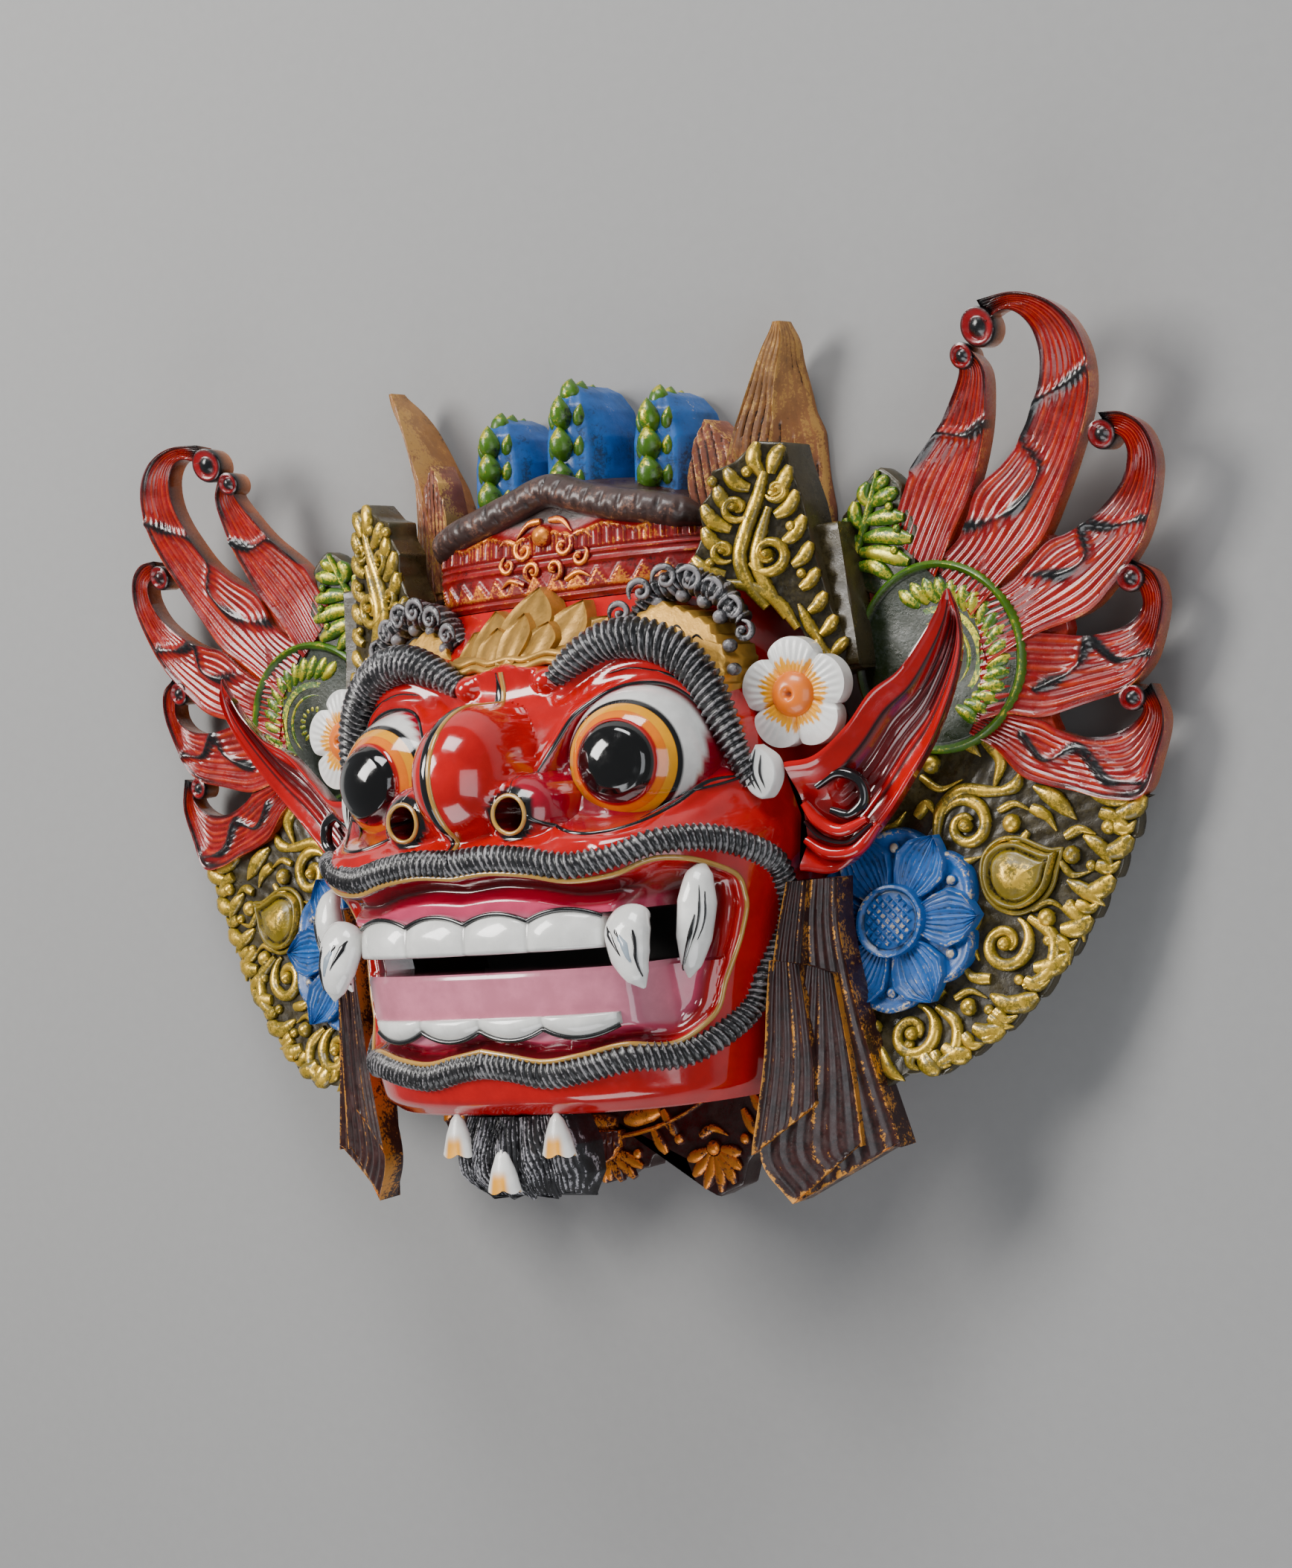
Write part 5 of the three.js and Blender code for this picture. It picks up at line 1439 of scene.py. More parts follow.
def red_field(carving):
    """The flat red board between the feather roots, cut with long shallow grooves."""
    outline = [(110, 40), (131, 64), (157, 58), (180.5, 42.5), (183, 12.5), (174, -15), (183, -38),
               (150, -21), (110, -20.5)]
    paint = bpy.context.scene.mask_paints

    def relief(x, y):
        angle = np.arctan2(y - 8, x - 136)
        r = np.hypot(x - 136, y - 8)
        return 0.3 * np.cos(angle * 34 + 0.05 * r)

    def tinter(x, y):
        angle = np.arctan2(y - 8, x - 136)
        streak = 0.5 + 0.5 * np.sin(angle * 21 + 1)
        return mix(tuple(paint.feather_red), tuple(paint.feather_orange), 0.45 * streak)

    slab(carving, outline, (140, 12), wing_rise, -7, -1.2, paint.feather_red[:], 0.3, rings=50,
         relief=relief, tinter=tinter, rub_and_shade_maker=lambda x, y: 0.34 + 0.3 * relief(x, y), spacing=0.8)


SCALLOPS = [(204, -43), (199, -56), (192.5, -68.5), (185, -81), (177, -92.5), (167, -105),
            (156, -115), (145, -122.5), (134, -128), (122, -127)]
PANEL_INNER = [(112, -133), (104, -128), (84.5, -124), (85.5, -100), (89.5, -76), (95.5, -52),
               (95.5, -20), (150, -18), (163, -33), (181, -39)]


def scalloped_edge():
    """The panel's lower edge: pointed leaves side by side, each a valley and a full belly."""
    points = []
    for (x, y), (u, v) in zip(SCALLOPS[:-1], SCALLOPS[1:]):
        along = np.array([u - x, v - y])
        inward = np.array([along[1], -along[0]]) / np.hypot(*along)
        for t, dip in ((0, 0), (0.1, 2.2), (0.22, 3.4), (0.36, 2.2), (0.52, 0.9), (0.7, 0.2), (0.86, 0.0)):
            points.append(tuple(np.array([x, y]) + along * t + inward * dip))
    return points


def lower_panel(ground, gold):
    """The gilded lower panel: a dark board with a scalloped leaf edge, covered in scrolls,
    beads, crescents and fluted leaves."""
    paint = bpy.context.scene.mask_paints
    olive = tuple(paint.old_gold)
    outline = scalloped_edge() + [(122, -127)] + PANEL_INNER
    slab(ground, outline, (128, -70), wing_rise, -7, -2.4, GROUND, 0.2, rings=26,
         relief=lambda x, y: 0.35 * wobble(x, y, 9), spacing=1.3)
    lift = lambda x, y: wing_rise(x, y) - 1.9

    def leaf(points, width=3.0, height=2.6, shape="leaf", flute=0.4):
        stroke(gold, points, width, height, lift, shape, flute, olive, count=15, sides=10)

    def scroll(centre, radius, start, turn, width=2.3):
        coil(gold, centre, radius, start, turn, width, 2.7, lift, olive, count=44)

    def boss(x, y, r):
        bead(gold, (x, y), r, lift, olive, r * 1.05)

    def crescent(points, width=1.5):
        leaf(points, width, 1.9, "comma", 0.2)

    # edge leaves: a pointed lobe on every scallop with two side folds
    for (x, y), (u, v) in zip(SCALLOPS[:-1], SCALLOPS[1:]):
        along = np.array([u - x, v - y])
        inward = np.array([along[1], -along[0]]) / np.hypot(*along)
        tip = np.array([x, y]) + inward * 1.4 + along * 0.02
        root = np.array([x, y]) + along * 0.62 + inward * 8.0
        mid = np.array([x, y]) + along * 0.40 + inward * 3.6
        leaf([tuple(root), tuple(mid), tuple(tip)], 3.4, 2.8, "finger", 0.45)
        mid2 = np.array([x, y]) + along * 0.86 + inward * 3.2
        end2 = np.array([x, y]) + along * 0.62 + inward * 1.6
        leaf([tuple(root + along * 0.30), tuple(mid2), tuple(end2)], 2.5, 2.4, "comma", 0.35)
        boss(*(np.array([x, y]) + along * 0.98 + inward * 9.6), 1.9)
    # top band
    leaf([(137, -12), (141, -18), (148, -26)], 3.0)
    leaf([(150, -20), (155, -27), (152, -37)], 3.0, shape="comma")
    leaf([(162, -32), (160, -36), (152, -38)], 2.4)
    boss(130, -27, 3.4)
    crescent([(126, -31), (133, -35.5), (141, -33)])
    crescent([(124, -22), (129, -20.5), (134, -22.5)])
    # first scroll and its stem
    scroll((142, -48), 9.2, 150, -470)
    leaf([(131, -52), (133, -42), (140, -36.5), (150, -37.5), (158, -38)], 2.2, 2.6, "even", 0.45)
    leaf([(133, -57), (140, -60), (147, -58.5)], 2.2, 2.3, "comma")
    leaf([(124, -44), (128, -40), (131, -44)], 2.2, 2.3, "comma")
    boss(158, -48.5, 3.3)
    crescent([(153.5, -44), (159, -42.2), (165, -45)])
    crescent([(163.5, -51.5), (161, -54), (156, -54)])
    leaf([(166, -37), (172, -41), (180, -49)], 3.3)
    leaf([(165, -44), (170, -47), (173, -52)], 2.2, shape="comma")
    # outer corner leaves
    leaf([(184, -40), (190, -42.5), (200, -45)], 2.8)
    leaf([(188, -47), (194, -50), (198, -54)], 2.6, shape="comma")
    boss(190.5, -52, 2.6)
    boss(178, -60, 3.2)
    crescent([(174, -62), (178, -66.5), (184.5, -65.5)])
    leaf([(182, -54), (188, -59), (191, -65)], 2.8)
    leaf([(176, -54), (181, -52), (186, -54)], 2.0, shape="comma")
    # second scroll
    scroll((155, -87), 9.0, 60, -470)
    leaf([(163, -79), (171, -86), (169, -97), (161, -101)], 2.3, 2.6, "even", 0.45)
    boss(169, -79.5, 3.2)
    crescent([(164, -76.5), (170, -74.5), (175.5, -78)])
    leaf([(176, -68), (182, -72), (188, -77)], 2.8)
    leaf([(175, -76), (180, -81), (181, -88)], 2.6, shape="comma")
    leaf([(172, -86), (176, -90), (176, -95)], 2.2, shape="comma")
    leaf([(146, -76), (143, -84), (146, -92)], 2.2, shape="comma")
    leaf([(150, -98), (144, -97), (140, -92)], 2.2, shape="comma")
    boss(143, -106.5, 3.1)
    crescent([(138, -103.5), (143, -101.5), (149, -104)])
    leaf([(150, -103), (157, -107), (163, -108)], 3.0)
    leaf([(150, -110), (154, -113), (158, -113.5)], 2.2, shape="comma")
    leaf([(148, -117), (152, -116), (152, -111)], 2.0, shape="comma")
    # third scroll
    scroll((124, -114), 9.0, 80, -470)
    leaf([(132, -106), (139, -112), (138, -121), (131, -125)], 2.2, 2.6, "even", 0.45)
    leaf([(113, -118), (116, -125), (122, -129)], 2.6)
    leaf([(104, -112), (106, -119), (112, -125)], 2.4)
    boss(110.5, -111.5, 2.8)
    leaf([(98, -106), (95, -114), (99, -121)], 2.4)
    leaf([(91, -104), (90, -112), (92, -120)], 2.2, shape="comma")
    leaf([(134, -100), (128, -103), (122, -101.5)], 2.4, shape="comma")
    leaf([(118, -104), (112, -104), (107, -107)], 2.2, shape="comma")
    # inner column beside the head
    leaf([(100, -24), (104, -31), (103, -40)], 2.6)
    leaf([(112, -24), (116, -31), (115, -40)], 2.8)
    leaf([(98, -44), (102, -50), (104, -56)], 2.4)
    boss(108, -44, 2.8)
    crescent([(111, -48), (116, -46), (120, -42)])
    mango(gold, olive)


def mango(carving, tint):
    """A plain swelling boss shaped like a mango, with a double rim and a turned-up tip."""
    outline = [(173.4, -58.6), (170, -58.8), (166, -57.2), (160, -54.6), (154, -55), (149.8, -58.5),
               (148.6, -64), (150, -70), (154, -74.4), (160, -76), (166, -73.6), (170, -69),
               (171.6, -64)]
    ring = through(outline + [outline[0]], 90)[:-1]
    line = [tuple(p) for p in ring]
    lift = lambda x, y: wing_rise(x, y) - 2

    def relief(x, y):
        d = inside(x, y, line)
        rim = np.exp(-(((d - 0.9) / 0.7) ** 2))
        groove = np.exp(-(((d - 2.2) / 0.6) ** 2))
        return 2.2 * smooth(2, 9, d) + 0.8 * rim - 1.1 * groove

    slab(carving, line, (159.5, -65.5), lift, -3, 3.2, tint, 0.5, rings=30, relief=relief,
         rub_and_shade_maker=lambda x, y: 0.45 + 0.28 * relief(x, y), spacing=1.0)
    path = np.column_stack([ring, lift(ring[:, 0], ring[:, 1]) + 1.0])
    grown = (ring - ring.mean(0)) * 1.12 + ring.mean(0)
    path = np.column_stack([grown, lift(grown[:, 0], grown[:, 1]) + 0.8])
    loop_tube(carving, path, 0.9, tint)


def lotus(carving):
    """A blue lotus: a studded disc, six pointed ribbed petals over six round ones."""
    sizes = bpy.context.scene.mask_wing
    blue = tuple(bpy.context.scene.mask_paints.blue)
    cx, cy = 118.0, -77.0
    reach = sizes.lotus_reach
    for k in range(6):
        angle = np.radians(30 + 60 * k)
        d = np.array([np.cos(angle), np.sin(angle)])
        n = np.array([-d[1], d[0]])
        back = [tuple(np.array([cx, cy]) + d * a + n * b) for a, b in
                ((8, -9), (18, -12), (26, -9.5), (29.5, -3), (30, 0), (29.5, 3), (26, 9.5), (18, 12), (8, 9))]
        back = [tuple(p) for p in through(back, 46)]

        def rel(x, y, line=back):
            e = inside(x, y, line)
            return 0.9 * np.exp(-(((e - 1.0) / 0.8) ** 2)) - 0.5 * smooth(1.5, 5, e)

        slab(carving, back, tuple(np.array([cx, cy]) + d * 17), lambda x, y: wing_rise(x, y), -3, 2.4, blue,
             0.45, rings=10, relief=rel, rub_and_shade_maker=lambda x, y, rel=rel: 0.45 + 0.5 * rel(x, y))
        for a, b, r in ((23.5, 0, 2.0), (22.5, 4.6, 1.5), (22.5, -4.6, 1.5)):
            p = np.array([cx, cy]) + d * a + n * b
            bead(carving, tuple(p), r, lambda x, y: wing_rise(x, y) + 1.8, blue, r)
    for k in range(6):
        angle = np.radians(60 * k)
        d = np.array([np.cos(angle), np.sin(angle)])
        t = np.linspace(0, 1, 32)
        width = 9.6 * np.interp(t, [0, 0.25, 0.5, 0.75, 0.9, 1], [0.42, 0.78, 1, 0.78, 0.36, 0.015])
        axis = np.array([cx, cy]) + d * (9 + (reach - 9) * t)[:, None]
        n = np.array([-d[1], d[0]])
        s = np.linspace(-1, 1, 30)[None, :]
        flat = axis[:, None] + n * (width[:, None] * s)[..., None]
        x, y = flat[..., 0], flat[..., 1]
        rib = 0.35 * np.cos(2 * np.pi * s * 4.5) * smooth(0.95, 0.55, np.abs(s)) * smooth(0, 0.2, t)[:, None]
        rim = 0.9 * np.exp(-(((np.abs(s) - 0.93) / 0.08) ** 2))
        cup = -0.9 * (1 - s**2)
        z = wing_rise(x, y) + 4.2 + cup + rib + rim + 0.9 * t[:, None] ** 2
        front = np.stack([x, y, z], -1)
        back = front[:, [-1, 0]].copy()
        back[..., 2] -= 4.6
        rub_and_shade = np.clip(0.42 + 0.9 * rib + 0.45 * rim, 0, 1)
        rub_and_shade = np.concatenate([rub_and_shade, np.full((len(t), 2), 0.35)], axis=1)
        carving.loft(np.concatenate([front, back], axis=1), blue, rub_and_shade)
    r = 12.0
    lift = lambda x, y: wing_rise(x, y) + 4.5
    profile = [(0.05, 1.6), (r * 0.5, 1.6), (r * 0.72, 1.4), (r * 0.78, 0.7), (r * 0.84, 0.9), (r * 0.9, 2.0),
               (r * 0.97, 1.9), (r, 0.8), (r, -4), (0.05, -4)]
    rub_and_shade = np.array([0.4, 0.4, 0.45, 0.05, 0.2, 0.75, 0.7, 0.5, 0.3, 0.3])[:, None]
    rings = turned((cx, cy), profile, lift, 72)
    carving.loft(rings, blue, rub_and_shade + 0 * rings[..., 0])
    for i in range(-3, 4):
        for j in range(-3, 4):
            u, v = (i + j) * 1.75, (i - j) * 1.75
            if np.hypot(u, v) < 8.0:
                stud(carving, (cx + u, cy + v), 1.15, lift, blue)


def stud(carving, centre, half, lift, tint):
    """A small square pyramid with a flat top, set on its corner."""
    x, y = centre
    z = float(lift(np.array(x), np.array(y))) + 1.4
    turn = np.pi / 2 * np.arange(4)
    rings = []
    for r, h in ((1.3, -0.6), (1.25, 0.1), (0.75, 0.9)):
        rings.append(np.stack([x + r * half * np.cos(turn), y + r * half * np.sin(turn), np.full(4, z + h)], -1))
    carving.loft(np.stack(rings), tint, np.array([0.2, 0.5, 0.85])[:, None] + np.zeros((3, 4)))


def fern_disc(carving, leaves):
    """The green disc behind the ear: a rim bead and a fan of rounded finger lobes."""
    green = tuple(bpy.context.scene.mask_paints.leaf_green)
    cx, cy, r = 136.0, 8.0, 32.0
    profile = [(0.05, 0.3), (r * 0.5, 0.3), (r * 0.88, 0.3), (r * 0.90, 0.4), (r * 0.925, 1.6),
               (r * 0.955, 2.1), (r * 0.985, 1.4), (r, 0.0), (r, -7), (0.05, -7)]
    rub_and_shade = np.array([0.15, 0.15, 0.12, 0.1, 0.5, 0.85, 0.6, 0.45, 0.3, 0.3])[:, None]
    tints = np.array([(0.03, 0.04, 0.03)] * 4 + [green] * 6)[:, None]
    rings = turned((cx, cy), profile, wing_rise, 120)
    carving.loft(rings, np.broadcast_to(tints, rings.shape), rub_and_shade + 0 * rings[..., 0])
    lift = lambda x, y: wing_rise(x, y) - 0.8
    for k, a in enumerate(np.linspace(118, -62, 17)):
        angle = np.radians(a)
        d = np.array([np.cos(angle), np.sin(angle)])
        n = np.array([-d[1], d[0]])
        c = np.array([cx, cy])
        points = [tuple(c + d * 17.5 - n * 3.4), tuple(c + d * 21.5 - n * 1.2), tuple(c + d * 26.4 + n * 0.4)]
        stroke(carving, points, 2.7, 2.9, lift, "finger", 0.45, green, count=15, sides=10)
    arc = [(cx + 15.5 * np.cos(np.radians(a)), cy + 15.5 * np.sin(np.radians(a))) for a in np.linspace(125, -65, 40)]
    stroke(carving, arc, 1.7, 2.2, lift, "even", 0.3, green, count=60, sides=8)
    arc = [(cx + 11.5 * np.cos(np.radians(a)), cy + 11.5 * np.sin(np.radians(a))) for a in np.linspace(120, -60, 30)]
    stroke(carving, arc, 1.3, 1.6, lift, "even", 0.0, green, count=48, sides=8)
    for a in np.linspace(105, -45, 8):
        angle = np.radians(a)
        p = [(cx + q * np.cos(angle), cy + q * np.sin(angle)) for q in (3.5, 6.0, 9.5)]
        stroke(carving, p, 1.9, 1.7, lift, "leaf", 0.35, green, count=16, sides=10)
    leaf_green(leaves)


def leaf_green(carving):
    """The green leaf above the disc: a rib from foot to tip and rounded lobes either side."""
    green = tuple(bpy.context.scene.mask_paints.leaf_green)
    outline = [(100, 36), (101.5, 48), (103, 58), (108, 62), (112, 66), (118, 71), (121.5, 72.5), (125, 70),
               (129, 66), (128, 60), (131, 56), (133, 50), (131.5, 45), (130, 38), (116, 30)]
    slab(carving, outline, (116, 52), wing_rise, -7, 0.4, GROUND, 0.15, rings=16)
    lift = lambda x, y: wing_rise(x, y) + 0.6
    stroke(carving, [(101, 36), (108, 46), (114, 57), (120.5, 71.5)], 1.5, 2.2, lift, "even", 0, green, count=50)
    lobes = [
        ([(106, 42), (103, 46), (102.5, 51)], 2.6), ([(109, 47), (105.5, 52), (105.0, 57.5)], 2.8),
        ([(112, 53), (109, 58), (110, 62.5)], 2.8), ([(116, 60), (113.5, 64), (116, 68)], 2.6),
        ([(108, 41), (115, 40), (121, 35.5)], 2.8), ([(110, 45.5), (119, 44), (128.5, 40)], 3.2),
        ([(112, 50), (120, 50), (130.5, 47.5)], 3.2), ([(114, 55.5), (121, 56), (128.5, 55)], 3.1),
        ([(116.5, 61), (121, 62.5), (127, 64)], 2.9), ([(118.5, 65.5), (121.5, 67.5), (124, 69)], 2.3),
    ]
    for points, width in lobes:
        stroke(carving, points, width, 2.9, lift, "finger", 0.45, green, count=15, sides=10)
    for x, y in ((124, 44.5), (126, 51.5), (124, 59)):
        bead(carving, (x, y), 1.5, lambda a, b: lift(a, b) + 1.6, green, 1.4)


def gilt_leaf(ground, gold):
    """The tall gilt leaf beside the crown: a thick board that leans out, bordered by lobes
    round a fluted stalk that opens into a scroll."""
    olive = tuple(bpy.context.scene.mask_paints.old_gold)
    board = lambda x, y: 38 - 0.42 * (x - 94.8)
    outline = [(63, 41), (61, 47), (66, 57), (65, 65), (70, 71), (70, 77), (77, 79), (85, 85.5),
               (94, 84), (95, 77), (98, 64), (100, 48), (102, 37), (104, 26), (108, 16), (112, 7),
               (100, 5), (97, 14), (92, 26), (84, 36), (72, 38)]
    slab(ground, outline, (87, 46), board, -17, -1.6, GROUND, 0.15, rings=30,
         relief=lambda x, y: 0.3 * wobble(x, y, 8))
    foot = [(96, 8), (112, 8), (108, 56), (98, 56)]
    slab(ground, foot, (104, 30), wing_rise, -7, 11, GROUND, 0.2, rings=10)
    lift = lambda x, y: board(x, y) - 1.2

    def leaf(points, width=3.0, height=2.8, shape="finger", flute=0.45):
        stroke(gold, points, width, height, lift, shape, flute, olive, count=15, sides=10)

    # border lobes, left side upward, tip, right side downward
    leaf([(72, 42), (66, 44), (62.5, 49)], 2.9)
    leaf([(73, 50), (69, 53), (66.5, 58.5)], 2.9)
    leaf([(75, 57), (70, 60), (67, 66)], 2.9)
    leaf([(78, 64), (74, 66), (71.5, 72)], 2.9)
    leaf([(82, 70), (78, 72), (75, 77.5)], 2.9)
    leaf([(86, 74), (84, 79), (85.5, 85)], 2.9)
    leaf([(89, 74), (90.5, 79), (93.5, 83)], 2.9)
    leaf([(88, 67), (92, 70), (95, 76)], 2.9)
    leaf([(89, 60), (93, 62), (96.5, 67.5)], 2.9)
    leaf([(91, 51), (94.5, 53), (98, 59)], 2.8)
    leaf([(93, 43), (96.5, 45), (99.5, 50)], 2.7)
    leaf([(95, 35), (98, 37), (101, 41)], 2.6)
    leaf([(97, 27), (100, 29), (102.5, 33)], 2.5)
    leaf([(100, 19), (102.5, 21), (105, 25)], 2.4)
    leaf([(103, 12), (105, 14), (108, 17)], 2.2)
    # stalk and scroll
    leaf([(84, 30), (79, 38), (77, 47), (80, 57), (84, 66), (87, 75)], 2.6, 3.2, "even", 0.5)
    leaf([(90, 26), (85, 36), (82, 45), (84.5, 55), (87.5, 63)], 2.4, 3.0, "even", 0.5)
    coil(gold, (86.5, 47.5), 6.8, 200, 460, 2.0, 3.2, lambda x, y: lift(x, y) + 0.4, olive, count=60)
    coil(gold, (77.5, 64.0), 4.6, 320, -420, 1.5, 2.6, lambda x, y: lift(x, y) + 0.3, olive, count=50)
    coil(gold, (90.5, 68.5), 3.8, 200, 400, 1.4, 2.4, lambda x, y: lift(x, y) + 0.3, olive, count=50)
    coil(gold, (72.5, 50.0), 4.0, 300, -400, 1.4, 2.4, lambda x, y: lift(x, y) + 0.3, olive, count=50)
    leaf([(72, 39.5), (80, 37), (88, 31), (93, 22)], 2.2, 2.6, "even", 0.4)
    leaf([(94, 30), (97, 22), (101, 14)], 2.2, 2.4, "leaf", 0.4)
    leaf([(98, 20), (101, 12), (105, 7)], 2.4, 2.4, "leaf", 0.4)
    for x, y, r in ((71, 73.5, 2.0), (82, 75.5, 2.0), (94, 56, 1.8), (96, 40, 1.7), (68, 46.5, 1.8)):
        bead(gold, (x, y), r, lambda a, b: lift(a, b) + 0.8, olive, r)


# ---- ears, flowers, ribbons ---------------------------------------------------------------
def ear(carving):
    """A long pointed ear dished to the front: stations of inner edge, dish and outer edge
    joined by a smooth cup, the edges rolled and the hollow ribbed."""
    paint = bpy.context.scene.mask_paints
    inner = [(95, -22), (105, -20.5), (116, -12), (126, -2), (137, 4), (146, 13), (152, 21), (155, 26), (156.4, 28.4)]
    outer = [(95, -58), (106, -59), (119, -45), (131, -31), (141, -19), (150.5, -5), (157, 8), (159, 19), (157.2, 27.6)]
    heights = np.array([(56, 48, 52), (53, 43, 45), (50, 40, 38), (50, 40, 37), (50, 41, 38), (50, 43, 41),
                        (49, 45, 44), (49, 47, 47), (48.6, 48.4, 48.4)], float)
    count, across = 110, 36
    l = through(inner, count, True)
    r = through(outer, count, True)
    zz = through(np.column_stack([heights, heights[:, :1] * 0]), count, True)[:, :3]
    t = np.linspace(0, 1, count)[:, None]
    s = np.linspace(0, 1, across)[None, :]
    flat = l[:, None] * (1 - s[..., None]) + r[:, None] * s[..., None]
    x, y = flat[..., 0], flat[..., 1]
    line = zz[:, [0]] * (1 - s) + zz[:, [2]] * s
    deep = (zz[:, [1]] - 0.5 * (zz[:, [0]] + zz[:, [2]]))
    cup = smooth(0.04, 0.40, s) * smooth(0.985, 0.70, s)
    z = line + deep * cup * 1.15
    roll = 1.1 * np.exp(-(((s - 0.03) / 0.05) ** 2)) + 0.9 * np.exp(-(((s - 0.97) / 0.05) ** 2))
    hollow = smooth(0.24, 0.32, s) * smooth(0.72, 0.62, s) * smooth(0.10, 0.2, t) * smooth(0.90, 0.78, t)
    ribs = 0.45 * np.cos(2 * np.pi * s * 10) * hollow
    z = z + roll * smooth(1.0, 0.9, t) + ribs - 1.4 * hollow
    front = np.stack([x, y, z], -1)
    thick = 11 + (1.6 - 11) * t
    back_s = np.array([[0.97, 0.75, 0.5, 0.25, 0.03]])
    bflat = l[:, None] * (1 - back_s[..., None]) + r[:, None] * back_s[..., None]
    bz = zz[:, [0]] * (1 - back_s) + zz[:, [2]] * back_s + deep * np.sin(np.pi * back_s)
    bz = bz - thick * (0.55 + 0.45 * np.sin(np.pi * back_s))
    back = np.concatenate([bflat, bz[..., None]], -1)
    rings = np.concatenate([front, back], axis=1)
    tint = np.broadcast_to(np.array(paint.scarlet), front.shape)
    tint = mix(tint, tuple(paint.dark_red), 0.9 * hollow)
    streak = hollow * smooth(0.2, -0.6, np.cos(2 * np.pi * s * 10)) * smooth(0.3, 0.6, t)
    tint = mix(tint, BLACK, 0.7 * streak)
    edge_line = smooth(0.20, 0.225, s) * smooth(0.275, 0.25, s) * smooth(0.02, 0.1, t) + smooth(0.725, 0.75, s) * smooth(
        0.79, 0.765, s) * smooth(0.1, 0.2, t)
    tint = mix(tint, BLACK, np.clip(edge_line, 0, 1))
    rim = smooth(0.035, 0.0, s) + smooth(0.965, 1.0, s)
    tint = mix(tint, BLACK, np.clip(rim * smooth(0.3, 0.5, t), 0, 1))
    tints = np.concatenate([tint, np.broadcast_to(np.array((0.22, 0.006, 0.008)), back.shape)], axis=1)
    carving.loft(rings, tints, 0.7)
    # lobe curl and root folds
    root = lambda a, b: 53 - 0.28 * (a - 95) + 0 * b
    stroke(carving, [(101, -31), (109, -27), (115, -30), (116, -37), (111, -41), (105, -39)], 2.0, 2.6,
           lambda a, b: root(a, b) - 3.5, "even", 0.2, BLACK, count=60)
    stroke(carving, [(97, -36), (101, -42), (108, -46), (117, -43)], 2.2, 3.0, lambda a, b: root(a, b) - 2.5,
           "even", 0.0, tuple(paint.scarlet), count=50)
    stroke(carving, [(96, -48), (103, -53), (111, -53), (120, -45)], 2.4, 3.0, lambda a, b: root(a, b) - 3.5,
           "even", 0.0, tuple(paint.scarlet), count=50)
    stroke(carving, [(97, -42), (102, -47.5), (110, -50), (119, -44.5)], 0.9, 2.0, lambda a, b: root(a, b) - 2.0,
           "even", 0.0, BLACK, count=50)


